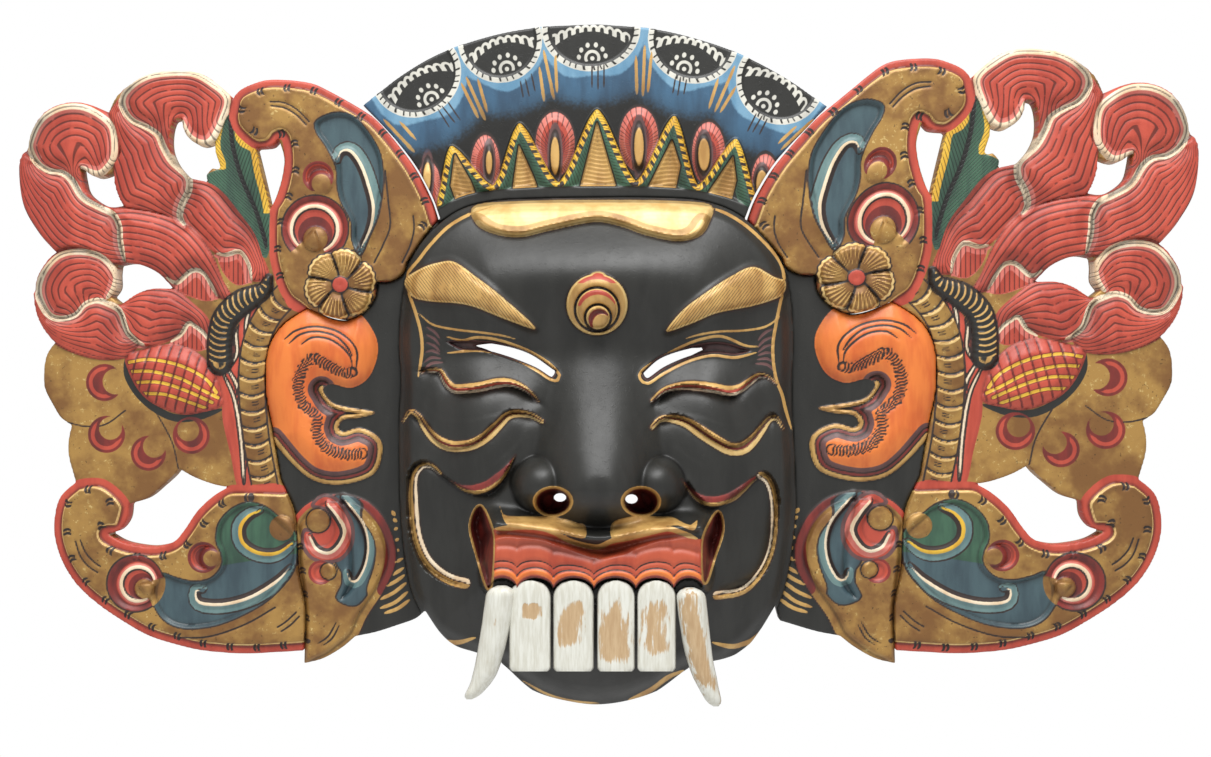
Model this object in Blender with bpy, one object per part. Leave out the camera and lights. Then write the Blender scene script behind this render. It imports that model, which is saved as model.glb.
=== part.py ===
"""Carved and painted guardian mask with two wings, made to hang on a wall.

Metres, +Z up, the front towards -Y and the flat back on the plane Y = 0.
Every outline is drawn on one front view, the drawing: x runs right, y runs down, and
DRAWING_SPAN units of it are the width of the whole carving. Heights over the wall are
real sizes. Relief that stands nearer the eye than the boards do is drawn in towards the
eye's axis, so that it keeps the place that it has in the drawing.
"""

import math
from collections import namedtuple

import bmesh
import bpy
import numpy as np
from mathutils import Vector
from mathutils.bvhtree import BVHTree
from mathutils.geometry import delaunay_2d_cdt

# Driving sizes, in metres
OVERALL_WIDTH = 1.0
WING_BOARD = 0.020
CROWN_BOARD = 0.016
EAR_BOARD = 0.014
FACE_RIM = 0.038
FACE_SWELL = 0.034
NOSE_RISE = 0.052
BROW_RISE = 0.007
GUM_RISE = 0.030
FOLD_STEP = 0.009
TOOTH_THICKNESS = 0.012
TUSK_RADIUS = 0.0115
HOLLOW_DEPTH = 0.046
SEAM_GAP = 0.0006
CROWN_SLIVER = 0.0028
PAINTED_RELIEF = 0.0035
EYE_DISTANCE = 1.30

# The drawing's own frame
DRAWING_SPAN = 1183
MIDDLE_X = 598
EYE_AXIS_Y = 378
MOUNT_Y = 120
FLOWER = (340, 284)
FOOT_Y = 663
RIGHT_FLOWER_X = 857
RIGHT_SPREAD_OUT = 1.065
RIGHT_SPREAD_IN = 1.12
RIGHT_LIFT = 7
RIGHT_STRETCH = 0.07
RIGHT_STRETCH_FROM_X = 390
RIGHT_STRETCH_RUN = 90
RIGHT_LOWER_RUN = 60
LEAF_BORDER = (7, 12)

# How finely the solids are faceted, in units of the drawing
OUTLINE_STEP = 10.0
SLIT_STEP = 8.0
CURVE_STEP = 6.0
PROBE_STEP = 4.0
ROW_STEP = 19.0
RIM_ROW_STEP = 9.0
EDGE_CLEARANCE = 3.0
POINT_CLEARANCE = 3.0
BLOCKS = (46, 34)
HOLLOW_BLOCKS = (60, 40, 30)
FACE_MISS = 0.0030
WING_MISS = 0.0016
REACH = 60.0

UNIT = OVERALL_WIDTH / DRAWING_SPAN

# The wing's edge, as arcs that meet at corners: petal 1, petal 2, the upper leaf's top
WING_TOP = (
    ((55, 251), (38, 231), (23, 203), (19, 164), (26, 147)),
    ((26, 147), (29, 132), (38, 116), (54, 105), (73, 101), (90, 104), (107, 111)),
    ((107, 111), (115, 95), (130, 82), (149, 73), (168, 70), (187, 70), (207, 76), (232, 97)),
    ((232, 97), (237, 90), (250, 83), (271, 78), (307, 81), (329, 90), (364, 110), (379, 122),
     (396, 142), (414, 167), (429, 196), (437, 219)),
)
# The joint with the middle block, from the face's corner down to the foot
SEAM = (
    ((437, 219), (423, 237), (406, 262)),
    ((406, 262), (404, 270), (399, 276), (388, 281), (376, 281)),
    ((376, 281), (374, 297), (362, 312), (346, 319), (327, 316), (306, 307)),
    ((306, 307), (280, 325), (266, 350), (264, 390), (272, 437)),
    ((272, 437), (279, 479)),
    ((279, 479), (294, 516), (297, 569), (304, 608), (303, 651)),
)
WING_FOOT = (
    ((303, 651), (269, 653), (240, 654), (202, 651), (175, 645), (147, 636), (122, 622), (97, 605),
     (76, 586), (61, 563), (53, 538), (53, 515), (59, 496), (74, 482)),
    ((74, 482), (67, 456), (67, 438), (70, 425)),
    ((70, 425), (59, 417), (52, 406), (43, 388), (42, 371), (45, 354), (53, 342)),
    ((53, 342), (42, 327), (36, 312), (33, 293), (36, 275), (46, 259), (55, 251)),
)
WING_HOLES = (
    (((78, 165), (80, 178), (84, 191), (96, 201), (109, 206), (122, 205)),
     ((122, 205), (115, 188), (112, 170)),
     ((112, 170), (103, 174), (92, 175), (78, 165))),
    (((180, 117), (172, 118), (168, 130), (168, 147), (174, 162), (184, 174), (189, 177), (207, 181)),
     ((207, 181), (205, 174), (211, 167)),
     ((211, 167), (219, 167), (214, 150), (214, 140)),
     ((214, 140), (201, 144), (190, 139), (183, 130), (180, 117))),
    (((109, 296), (115, 287), (115, 274), (116, 264)),
     ((116, 264), (130, 262), (145, 266), (159, 274), (172, 288)),
     ((172, 288), (151, 288), (138, 292), (126, 299), (119, 303), (109, 296))),
    (((254, 146), (271, 144), (277, 136)),
     ((277, 136), (283, 156), (281, 176), (275, 196), (269, 208)),
     ((269, 208), (261, 174), (254, 146))),
    (((127, 504), (145, 498), (160, 486), (172, 475), (177, 468)),
     ((177, 468), (193, 477), (212, 484), (227, 487)),
     ((227, 487), (212, 496), (196, 511), (183, 530), (172, 542), (154, 547), (137, 546), (120, 542),
      (106, 534)),
     ((106, 534), (117, 530), (125, 519), (127, 504))),
)

# Red scrolls of the wing
PETAL_1_BODY = ((26, 147), (36, 162), (48, 170), (61, 172), (71, 180), (82, 197), (99, 207), (113, 214),
                (119, 226), (120, 241), (124, 262), (107, 262), (55, 255), (30, 240), (10, 200), (12, 160))
PETAL_1_CURL = ((78, 165), (92, 176), (105, 170), (118, 157), (119, 143), (108, 112), (84, 96), (54, 98),
                (34, 110), (22, 145), (36, 162), (48, 170), (61, 172), (71, 180), (82, 197), (99, 207),
                (113, 214), (109, 206), (96, 201), (84, 191), (80, 178))
PETAL_2_BODY = ((108, 111), (121, 95), (124, 111), (132, 120), (145, 126), (157, 134), (163, 147),
                (172, 162), (187, 176), (188, 189), (181, 204), (179, 216), (180, 224), (163, 214),
                (134, 208), (122, 205), (113, 185), (113, 160), (117, 140), (106, 122))
PETAL_2_CURL = ((180, 117), (183, 130), (201, 146), (214, 141), (224, 120), (234, 96), (207, 70),
                (164, 64), (130, 78), (118, 99), (124, 111), (132, 120), (145, 126), (157, 134), (163, 147),
                (172, 162), (187, 176), (174, 162), (168, 147), (168, 128), (172, 118))
PETAL_3_BODY = ((34, 289), (41, 304), (50, 316), (63, 318), (75, 314), (84, 304), (96, 300), (107, 303),
                (119, 310), (124, 323), (128, 333), (138, 342), (124, 357), (92, 358), (55, 344), (28, 315))
PETAL_3_CURL = ((105, 299), (114, 290), (117, 272), (107, 258), (84, 247), (63, 247), (44, 258),
                (33, 274), (34, 290), (41, 304), (50, 316), (63, 318), (75, 314), (84, 304), (96, 300))
RIBBON_1 = ((113, 214), (109, 206), (134, 208), (163, 214), (184, 224), (199, 237), (212, 256), (222, 280),
            (230, 296), (216, 296), (203, 273), (191, 270), (176, 282), (172, 288), (159, 274), (145, 266),
            (126, 262), (120, 241), (119, 226))
RIBBON_2 = ((188, 177), (207, 181), (222, 191), (239, 212), (254, 233), (262, 256), (268, 276), (251, 280),
            (248, 264), (239, 251), (226, 254), (216, 253), (199, 238), (184, 224), (179, 214), (186, 196))
RIBBON_3 = ((107, 301), (119, 304), (134, 292), (151, 287), (172, 288), (191, 302), (208, 320), (212, 345),
            (203, 333), (193, 325), (187, 323), (180, 334), (163, 342), (143, 345), (128, 333), (124, 323),
            (119, 310))
SPIRAL_1 = ((80, 166), (96, 173), (106, 167), (113, 156), (114, 143), (111, 126), (100, 115), (84, 107),
            (67, 106), (52, 111), (38, 122), (31, 136), (29, 148), (36, 162), (48, 170), (61, 172), (71, 180),
            (82, 197), (99, 207), (113, 214), (119, 226), (120, 241), (124, 260))
SPIRAL_2 = ((182, 120), (188, 135), (201, 142), (211, 139), (221, 120), (227, 98), (210, 82), (191, 73),
            (164, 73), (145, 77), (127, 88), (121, 99), (124, 111), (132, 120), (145, 126), (157, 134),
            (163, 147), (172, 162), (187, 176), (188, 189), (181, 204), (179, 216), (184, 224))
SPIRAL_3 = ((106, 297), (113, 287), (115, 275), (109, 264), (98, 255), (80, 251), (63, 253), (52, 260),
            (41, 274), (37, 289), (41, 304), (50, 316), (63, 318), (75, 314), (84, 304), (96, 300),
            (107, 303), (119, 310), (124, 323), (128, 333), (138, 342), (143, 344))
FOLD_NOTCHES = (
    ((166, 277), (176, 282), (191, 270), (203, 273), (216, 295)),
    ((216, 253), (226, 254), (239, 251), (248, 264), (251, 279)),
    ((170, 341), (180, 334), (187, 323), (193, 325), (203, 333), (210, 344)),
)
# Gold, green, netted and black parts of the wing
GREEN_LEAF = ((229, 96), (220, 114), (214, 135), (214, 149), (219, 166), (205, 174), (207, 181), (222, 191),
              (239, 212), (254, 233), (262, 256), (268, 250), (268, 208), (259, 171), (254, 147), (240, 136))
GREEN_VEIN = ((229, 118), (232, 146), (241, 178), (255, 210), (266, 246))
CLOUD_EDGES = (
    ((124, 410), (104, 424), (84, 426), (66, 422)),
    ((150, 404), (170, 440), (177, 468)),
)
POD = ((124, 357), (138, 350), (164, 344), (184, 346), (201, 356), (212, 371), (219, 388), (221, 405),
       (203, 411), (184, 414), (164, 409), (145, 398), (132, 381))
STEM = ((265, 273), (270, 300), (262, 318), (254, 345), (249, 368), (247, 400), (247, 440), (250, 486),
        (237, 486), (230, 455), (222, 420), (221, 395), (212, 368), (228, 358), (234, 330), (252, 304))
HORN_RADIUS = 12
HORN = ((268, 277), (262, 290), (240, 302), (224, 318), (219, 340), (219, 362))
CHAIN_HALF_WIDTH = 13
CHAIN = ((288, 292), (270, 311), (258, 333), (252, 360), (251, 390), (253, 420), (257, 450), (264, 486))
UPPER_LEAF = ((228, 108), (234, 90), (250, 79), (290, 72), (335, 84), (370, 108), (402, 142), (425, 178),
              (445, 219), (412, 266), (399, 280), (376, 284), (370, 320), (300, 312), (282, 296), (270, 262),
              (268, 230), (270, 206), (276, 196), (282, 176), (284, 156), (280, 137), (271, 146), (254, 148),
              (236, 134), (229, 119))
LOWER_LEAF = ((306, 656), (240, 660), (175, 650), (122, 628), (76, 592), (52, 563), (46, 538), (47, 515),
              (58, 494), (74, 481), (90, 478), (104, 480), (118, 490), (128, 503), (127, 517), (120, 532),
              (106, 534), (120, 542), (137, 546), (154, 547), (172, 542), (183, 530), (196, 511),
              (212, 496), (227, 486), (250, 485), (282, 486), (298, 516), (300, 569), (308, 608))
UPPER_INLAY = ((316, 120), (334, 112), (352, 115), (367, 130), (380, 153), (383, 181), (379, 212), (370, 235),
               (360, 255), (352, 240), (351, 221), (341, 201), (337, 185), (336, 167), (326, 146), (316, 131))
LOWER_INLAY = ((246, 502), (263, 505), (277, 515), (296, 534), (296, 559), (291, 575), (269, 599), (240, 616),
               (212, 626), (183, 628), (164, 620), (153, 603), (152, 586), (162, 573), (175, 577), (193, 581),
               (210, 578), (221, 566), (221, 553), (216, 541), (218, 524), (229, 510))
UPPER_SCROLL = ((337, 158), (341, 150), (351, 151), (361, 165), (368, 185), (371, 203), (370, 221), (361, 244))
LOWER_SCROLLS = (
    ((202, 590), (195, 591), (196, 600), (204, 604), (225, 604), (250, 597), (275, 582), (290, 567)),
    ((260, 510), (248, 516), (240, 527), (242, 542), (256, 552), (275, 553), (292, 543)),
)
# Round relief: x, y, radius
WING_RINGS = ((316, 230, 30), (319, 178, 14), (133, 584, 26), (203, 557, 14), (103, 381, 16), (106, 438, 17),
              (147, 454, 16), (191, 438, 17))
WING_BALLS = ((315, 239, 14), (320, 181, 9), (143, 587, 10), (209, 558, 9), (110, 379, 9), (107, 430, 9),
              (151, 447, 9), (186, 431, 9), (281, 528, 13))
FLOWER_RADIUS = 36
FLOWER_PETALS = 6

# The middle block's edge, left half: the fan of the crown, its end beside the wing's leaf
CROWN_RIM = ((362, 104), (400, 74), (440, 51), (490, 34), (540, 25), (598, 22))
CROWN_RIM_RIGHT = ((598, 22), (655, 27), (705, 39), (745, 54), (788, 77), (828, 105))
CROWN_END = ((362, 104), (379, 122), (396, 142), (414, 167), (429, 196), (437, 219))
LEAF_FOOT = ((303, 664), (322, 659), (341, 648), (354, 637))
EAR_BOARD_FOOT = ((354, 637), (374, 633), (396, 626), (415, 619), (425, 610))
JAW_LEFT = ((425, 610), (440, 632), (455, 645), (476, 652), (500, 660))
JAW_RIGHT = ((776, 604), (760, 630), (745, 648), (725, 658), (692, 664))
CHIN = ((500, 660), (513, 678), (540, 693), (570, 701), (598, 704), (628, 700), (658, 690), (680, 676),
        (692, 664))
FACE = ((598, 197), (540, 198), (490, 201), (455, 212), (425, 238), (408, 268), (402, 300), (399, 340),
        (401, 380), (399, 430), (401, 520), (410, 585), (425, 618), (440, 637), (476, 655), (500, 662),
        (540, 694), (598, 706), (650, 694), (692, 666), (725, 660), (760, 633), (784, 590), (795, 520),
        (795, 470), (792, 400), (793, 340), (791, 300), (784, 268), (765, 238), (737, 213), (700, 200),
        (650, 197))
EYE_SLITS = (
    (((446, 341), (470, 340), (500, 343), (530, 352), (557, 370)),
     ((557, 370), (552, 378), (535, 368), (510, 358), (485, 351), (462, 349), (446, 341))),
    (((641, 372), (660, 356), (690, 346), (720, 342), (752, 350)),
     ((752, 350), (735, 354), (712, 352), (688, 358), (665, 368), (647, 380), (641, 372))),
)
NOSTRIL_HOLES = ((561, 498, 8, 6), (632, 498, 8, 6))

# Face relief. The swellings are x, y, half width, half height and rise as a share of FACE_SWELL
FACE_SWELLINGS = ((598, 262, 130, 46, 0.42), (470, 430, 46, 60, 0.22), (728, 430, 46, 60, 0.22),
                  (505, 352, 58, 22, -0.34), (694, 352, 58, 22, -0.34))
CHIN_SWELLING = (598, 668, 86, 30)
CHIN_RISE = 0.4
EDGE_SHARE = 0.72
EDGE_RUN = 14
SWELL_RUN = 120
SWELL_REACH = 90
FOREHEAD_WAVE = ((474, 205), (520, 200), (600, 199), (680, 200), (712, 205), (710, 222), (700, 236), (678, 241),
                 (646, 235), (620, 226), (594, 222), (552, 230), (521, 237), (495, 234), (476, 224))
BROWS = (
    ((404, 280), (420, 268), (437, 262), (454, 261), (476, 276), (502, 296), (536, 328), (508, 320),
     (468, 305), (429, 301), (412, 296)),
    ((666, 331), (682, 310), (704, 293), (730, 276), (753, 266), (774, 276), (786, 281), (782, 295),
     (756, 305), (717, 313), (690, 324)),
)
# Lower edge of each fold of skin, drawn from the nose outwards
FOLDS = (
    ((545, 405), (529, 392), (513, 385), (495, 384), (468, 390), (450, 388), (438, 370), (412, 368)),
    ((545, 423), (529, 413), (510, 411), (495, 423), (474, 441), (453, 447), (437, 439), (424, 421),
     (404, 412)),
    ((515, 455), (500, 483), (484, 493), (466, 490), (449, 480), (438, 470), (424, 460), (410, 470), (408, 500),
     (412, 540), (424, 566), (444, 581), (466, 588)),
    ((648, 407), (665, 392), (686, 385), (709, 388), (733, 395), (743, 388), (756, 375), (776, 376)),
    ((650, 426), (672, 415), (691, 421), (712, 436), (733, 444), (751, 436), (772, 413), (786, 428)),
    ((681, 472), (699, 498), (717, 506), (740, 491), (756, 477), (767, 472), (778, 493), (776, 525), (769, 561),
     (752, 583), (712, 599)),
)
NOSE_MIDDLE_X = 599
NOSE_ROWS = (300, 350, 400, 450, 500)
NOSE_HALF_WIDTHS = (18, 24, 36, 44, 42)
NOSE_TOP_Y = 322
NOSE_TIP_Y = 506
NOSE_FOOT_Y = 528
NOSE_FOOT_RUN = 22
NOSE_WING_SHARE = 0.75
NOSE_WINGS = ((541, 484, 30, 30), (657, 484, 30, 30))
NOSTRILS = ((553, 501, 17, 13), (641, 501, 17, 13))
NOSTRIL_SHARE = 0.55
LIP_RUN = 11
LIP_SHARE = 0.95
LIP = ((497, 524), (536, 528), (570, 534), (599, 538), (630, 534), (664, 529), (700, 528))
TOOTH_TOP = 580
GUM_SHARE = 0.8
GUM = ((488, 534), (536, 531), (583, 545), (599, 549), (620, 545), (664, 532), (706, 534), (708, TOOTH_TOP + 12),
       (650, TOOTH_TOP + 20), (598, TOOTH_TOP + 22), (540, TOOTH_TOP + 20), (484, TOOTH_TOP + 12))
MOUTH_CORNERS = (
    ((480, 506), (491, 528), (493, 550), (489, 588), (478, 556), (471, 525)),
    ((718, 512), (706, 532), (703, 550), (705, 582), (714, 556), (722, 530)),
)
CHEEK_HOLLOWS = ((452, 528, 34, 50), (745, 530, 34, 52))
JEWEL = (597, 304, 31)
HOLLOW = (597, 430, 172, 200)
HOLLOW_RUN = 0.45
TOOTH_EDGES = ((509, 551), (553, 594), (597, 635), (637, 676))
TOOTH_FOOT = 671
TOOTH_PROFILE = ((0.0, 0.62), (0.07, 0.9), (0.2, 1.0), (0.55, 1.0), (0.94, 0.98), (1.0, 0.9))
ROOT_SHARE = 0.62
ROUND_SIDES = 12
TUSK_DROP = 0.004
TUSKS = (
    (((502, TOOTH_TOP + 5), (497, 620), (490, 655), (482, 680), (469, 699)), (15, 15, 14, 12, 7)),
    (((690, TOOTH_TOP + 7), (694, 622), (699, 655), (706, 680), (716, 706)), (15, 15, 14, 12, 7)),
)

# Crown relief
DIADEM = ((438, 201), (450, 142), (494, 190), (519, 118), (559, 188), (597, 103), (636, 187), (675, 110),
          (697, 190), (737, 134), (757, 203))
LOTUS_ARCHES = ((428, 159), (485, 133), (555, 110), (639, 105), (709, 120), (766, 152))
ARCH_RADIUS = 20
ARCH_DROP = 20
ARCH_FLATNESS = 0.6
DIADEM_FOOT_Y = 222
DIADEM_FIELD_Y = 216
DIADEM_BAND = ((441, 214), (470, 200), (520, 194), (598, 192), (676, 194), (725, 203), (752, 216))

# Ears, left one
EAR = ((306, 307), (280, 325), (266, 350), (264, 390), (271, 425), (272, 440), (295, 467), (315, 481),
       (342, 484), (372, 474), (381, 452), (377, 437), (359, 428), (342, 432), (337, 427), (342, 419),
       (359, 417), (373, 412), (345, 407), (330, 402), (321, 389), (330, 383), (350, 387), (367, 377),
       (376, 355), (374, 335), (359, 314), (346, 321), (327, 318))
EAR_BOWL = ((330, 383), (321, 389), (330, 402), (345, 408), (373, 413), (342, 419), (336, 427), (330, 410),
            (316, 402), (310, 388), (318, 376))
EAR_LOBE = ((305, 345), (285, 370), (286, 410), (310, 440), (345, 455))
INNER_LEAF = ((290, 524), (298, 511), (309, 502), (326, 495), (348, 495), (367, 502), (382, 517), (391, 535),
              (395, 552), (393, 570), (383, 591), (376, 602), (365, 619), (356, 638), (341, 652), (322, 664),
              (298, 668), (298, 611), (292, 565), (292, 543))
INNER_LEAF_INLAY = ((338, 498), (352, 506), (364, 524), (370, 548), (364, 574), (350, 596), (338, 600),
                    (346, 576), (346, 548), (338, 520))
INNER_RINGS = ((317, 530, 22), (321, 573, 12))

COLOURS = {
    "centre": (0.045, 0.045, 0.042, 1.0),
    "wing_left": (0.42, 0.12, 0.07, 1.0),
    "wing_right": (0.42, 0.12, 0.07, 1.0),
}
PAINT_ROUGHNESS = 0.5

Region = namedtuple("Region", "outline level dome dips")


def spline(points, step):
    """A smooth curve through the points, sampled about every step units."""
    given = np.asarray(points, float)
    knots = np.vstack([2 * given[0] - given[1], given, 2 * given[-1] - given[-2]])
    samples = []
    for before, start, end, after in zip(knots, knots[1:], knots[2:], knots[3:]):
        count = max(1, round(float(np.linalg.norm(end - start)) / step))
        t = (np.arange(count) / count)[:, None]
        samples.append(0.5 * (2 * start + (end - before) * t
                              + (2 * before - 5 * start + 4 * end - after) * t**2
                              + (3 * start - before - 3 * end + after) * t**3))
    return np.vstack([*samples, given[-1:]])


def closed_spline(points, step):
    """A smooth closed curve through the points."""
    ring = spline(tuple(points[-2:]) + tuple(points) + tuple(points[:2]), step)
    start = np.argmin(np.linalg.norm(ring - points[0], axis=1))
    half = len(ring) // 2
    end = half + np.argmin(np.linalg.norm(ring[half:] - points[-1], axis=1))
    tail = spline((points[-2], points[-1], points[0], points[1]), step)
    first = np.argmin(np.linalg.norm(tail - points[-1], axis=1))
    last = np.argmin(np.linalg.norm(tail - points[0], axis=1))
    return np.vstack([ring[start:end], tail[first:last]])


def chain(arcs, step):
    """Arcs that meet at corners, as one open line."""
    return np.vstack([spline(arc, step)[:-1] for arc in arcs] + [np.asarray(arcs[-1][-1:], float)])


def ellipse(x, y, across, up, count):
    """A closed ring of points."""
    turn = np.arange(count) * math.tau / count
    return np.stack([x + across * np.cos(turn), y + up * np.sin(turn)], axis=1)


def distance(line, p, reach=REACH):
    """How far each point is from an open line, at most reach."""
    line = np.asarray(line, float)
    found = np.full(len(p), float(reach))
    near = ((p > line.min(0) - reach) & (p < line.max(0) + reach)).all(1)
    if not near.any():
        return found
    q = p[near]
    best = found[near]
    for start, end in zip(line, line[1:]):
        along = end - start
        share = np.clip((q - start) @ along / max(along @ along, 1e-9), 0, 1)
        best = np.minimum(best, np.linalg.norm(q - start - share[:, None] * along, axis=1))
    found[near] = best
    return found


def inside(ring, p):
    """Which points lie inside a closed ring."""
    within = np.zeros(len(p), bool)
    near = ((p > ring.min(0)) & (p < ring.max(0))).all(1)
    q = p[near]
    odd = np.zeros(len(q), bool)
    for start, end in zip(ring, np.roll(ring, -1, axis=0)):
        crosses = (start[1] > q[:, 1]) != (end[1] > q[:, 1])
        rise = end[1] - start[1]
        rise = rise if abs(rise) > 1e-9 else 1e-9
        odd ^= crosses & (q[:, 0] < start[0] + (q[:, 1] - start[1]) * (end[0] - start[0]) / rise)
    within[near] = odd
    return within


def depth_inside(ring, p, reach=REACH):
    """Distance to a closed ring, positive inside it."""
    far = distance(np.vstack([ring, ring[:1]]), p, reach)
    return np.where(inside(ring, p), far, -far)


def smooth(x):
    """0 below 0, 1 above 1, and an easy curve between."""
    x = np.clip(x, 0, 1)
    return x * x * (3 - 2 * x)


def bump(p, x, y, across, up):
    """A round swelling of height 1."""
    return np.exp(-(((p[:, 0] - x) / across) ** 2) - ((p[:, 1] - y) / up) ** 2)


def ball(p, x, y, radius):
    """The height over its own rim of a flat-based ball, as a share of its radius."""
    off = np.hypot(p[:, 0] - x, p[:, 1] - y) / radius
    return np.sqrt(np.clip(1 - off**2, 0, 1))


def wing_regions():
    """The wing's overlapping parts, the lowest first."""
    board = WING_BOARD
    step = PAINTED_RELIEF
    return (
        Region(GREEN_LEAF, board - 2.2 * step, step, ()),
        Region(STEM, board - 1.2 * step, step, ()),
        Region(RIBBON_2, board - step, step, (PETAL_2_BODY[8:13], GREEN_LEAF[7:10])),
        Region(PETAL_2_BODY, board - 0.2 * step, step, (SPIRAL_2[18:],)),
        Region(PETAL_2_CURL, board - 1.2 * step, step, (SPIRAL_2[10:17],)),
        Region(RIBBON_1, board - 0.3 * step, step, (FOLD_NOTCHES[0],)),
        Region(PETAL_1_BODY, board - 0.2 * step, step, (SPIRAL_1[19:],)),
        Region(PETAL_1_CURL, board - 1.2 * step, step, (SPIRAL_1[10:17],)),
        Region(RIBBON_3, board - 0.6 * step, step, (FOLD_NOTCHES[2],)),
        Region(PETAL_3_BODY, board - 0.4 * step, step, (SPIRAL_3[17:],)),
        Region(PETAL_3_CURL, board - 1.4 * step, step, (SPIRAL_3[8:14],)),
        Region(POD, board - 0.5 * step, 1.6 * step, ()),
    )


def leaf_height(p, outline, inlays, scrolls, floor):
    """A carved leaf: a low border, a raised gold field and sunk inlays that hold scrolls."""
    ring = closed_spline(outline, CURVE_STEP)
    depth = depth_inside(ring, p)
    height = floor + PAINTED_RELIEF * 1.3 * smooth((depth - LEAF_BORDER[0]) / (LEAF_BORDER[1] - LEAF_BORDER[0]))
    for inlay in inlays:
        hollow = smooth(depth_inside(closed_spline(inlay, CURVE_STEP), p) / 6)
        height -= 1.5 * PAINTED_RELIEF * hollow
    for scroll in scrolls:
        height += 0.9 * PAINTED_RELIEF * np.exp(-((distance(spline(scroll, CURVE_STEP), p) / 6) ** 2))
    return depth, height


def wing_height(p):
    """Height over the wall of the left wing's front, at points of the drawing."""
    height = np.full(len(p), WING_BOARD - 2.4 * PAINTED_RELIEF)
    for edge in CLOUD_EDGES:
        height -= 0.5 * PAINTED_RELIEF * np.exp(-((distance(spline(edge, CURVE_STEP), p) / 4) ** 2))
    for region in wing_regions():
        depth = depth_inside(closed_spline(region.outline, CURVE_STEP), p)
        level = region.level + region.dome * smooth(depth / 16)
        for dip in region.dips:
            level -= 1.1 * PAINTED_RELIEF * np.exp(-distance(spline(dip, CURVE_STEP), p) / 8)
        over = smooth((depth + 2) / 4)
        height = height * (1 - over) + level * over
    for line in (SPIRAL_1, SPIRAL_2, SPIRAL_3, *FOLD_NOTCHES):
        height += 0.8 * PAINTED_RELIEF * np.exp(-((distance(spline(line, CURVE_STEP), p) / 5) ** 2))
    vein = distance(spline(GREEN_VEIN, CURVE_STEP), p)
    height -= 0.8 * PAINTED_RELIEF * np.exp(-((vein / 4) ** 2))
    scales = distance(spline(CHAIN, CURVE_STEP), p)
    links = smooth((CHAIN_HALF_WIDTH - scales) / 5)
    height = np.maximum(height, (WING_BOARD - PAINTED_RELIEF) * links)
    for outline, inlays, scrolls in ((UPPER_LEAF, (UPPER_INLAY,), (UPPER_SCROLL,)),
                                     (LOWER_LEAF, (LOWER_INLAY,), LOWER_SCROLLS)):
        depth, level = leaf_height(p, outline, inlays, scrolls, WING_BOARD - 1.3 * PAINTED_RELIEF)
        over = smooth((depth + 1.5) / 3)
        height = height * (1 - over) + level * over
    horn = distance(spline(HORN, CURVE_STEP), p)
    arched = np.sqrt(np.clip(1 - (horn / HORN_RADIUS) ** 2, 0, 1))
    height = np.maximum(height, WING_BOARD + PAINTED_RELIEF * (1.6 * arched - 1))
    for x, y, radius in WING_RINGS:
        sunk = smooth((radius - np.hypot(p[:, 0] - x, p[:, 1] - y)) / 6)
        height -= 0.9 * PAINTED_RELIEF * sunk
    for x, y, radius in WING_BALLS:
        height += 1.3 * PAINTED_RELIEF * ball(p, x, y, radius)
    off = p - FLOWER
    spread = np.hypot(off[:, 0], off[:, 1])
    lobes = FLOWER_RADIUS * (0.93 + 0.07 * np.cos(FLOWER_PETALS * np.arctan2(off[:, 1], off[:, 0])))
    petals = WING_BOARD + 1.2 * PAINTED_RELIEF * smooth((lobes - spread) / 6)
    petals -= PAINTED_RELIEF * np.exp(-spread / 14)
    flower = smooth((lobes - spread + 1) / 3)
    height = height * (1 - flower) + petals * flower
    return height + 0.8 * PAINTED_RELIEF * ball(p, FLOWER[0], FLOWER[1], 9)


def nose_height(p):
    """The bridge of the nose, as a share of its full rise."""
    half = np.interp(p[:, 1], NOSE_ROWS, NOSE_HALF_WIDTHS)
    across = 1 - smooth((np.abs(p[:, 0] - NOSE_MIDDLE_X) - 0.55 * half) / (0.9 * half))
    rise = smooth(0.8 * (p[:, 1] - NOSE_TOP_Y) / (NOSE_TIP_Y - NOSE_TOP_Y)) * 1.25
    foot = smooth((NOSE_FOOT_Y - p[:, 1]) / NOSE_FOOT_RUN)
    return np.clip(rise, 0, 1) * across * foot


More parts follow.
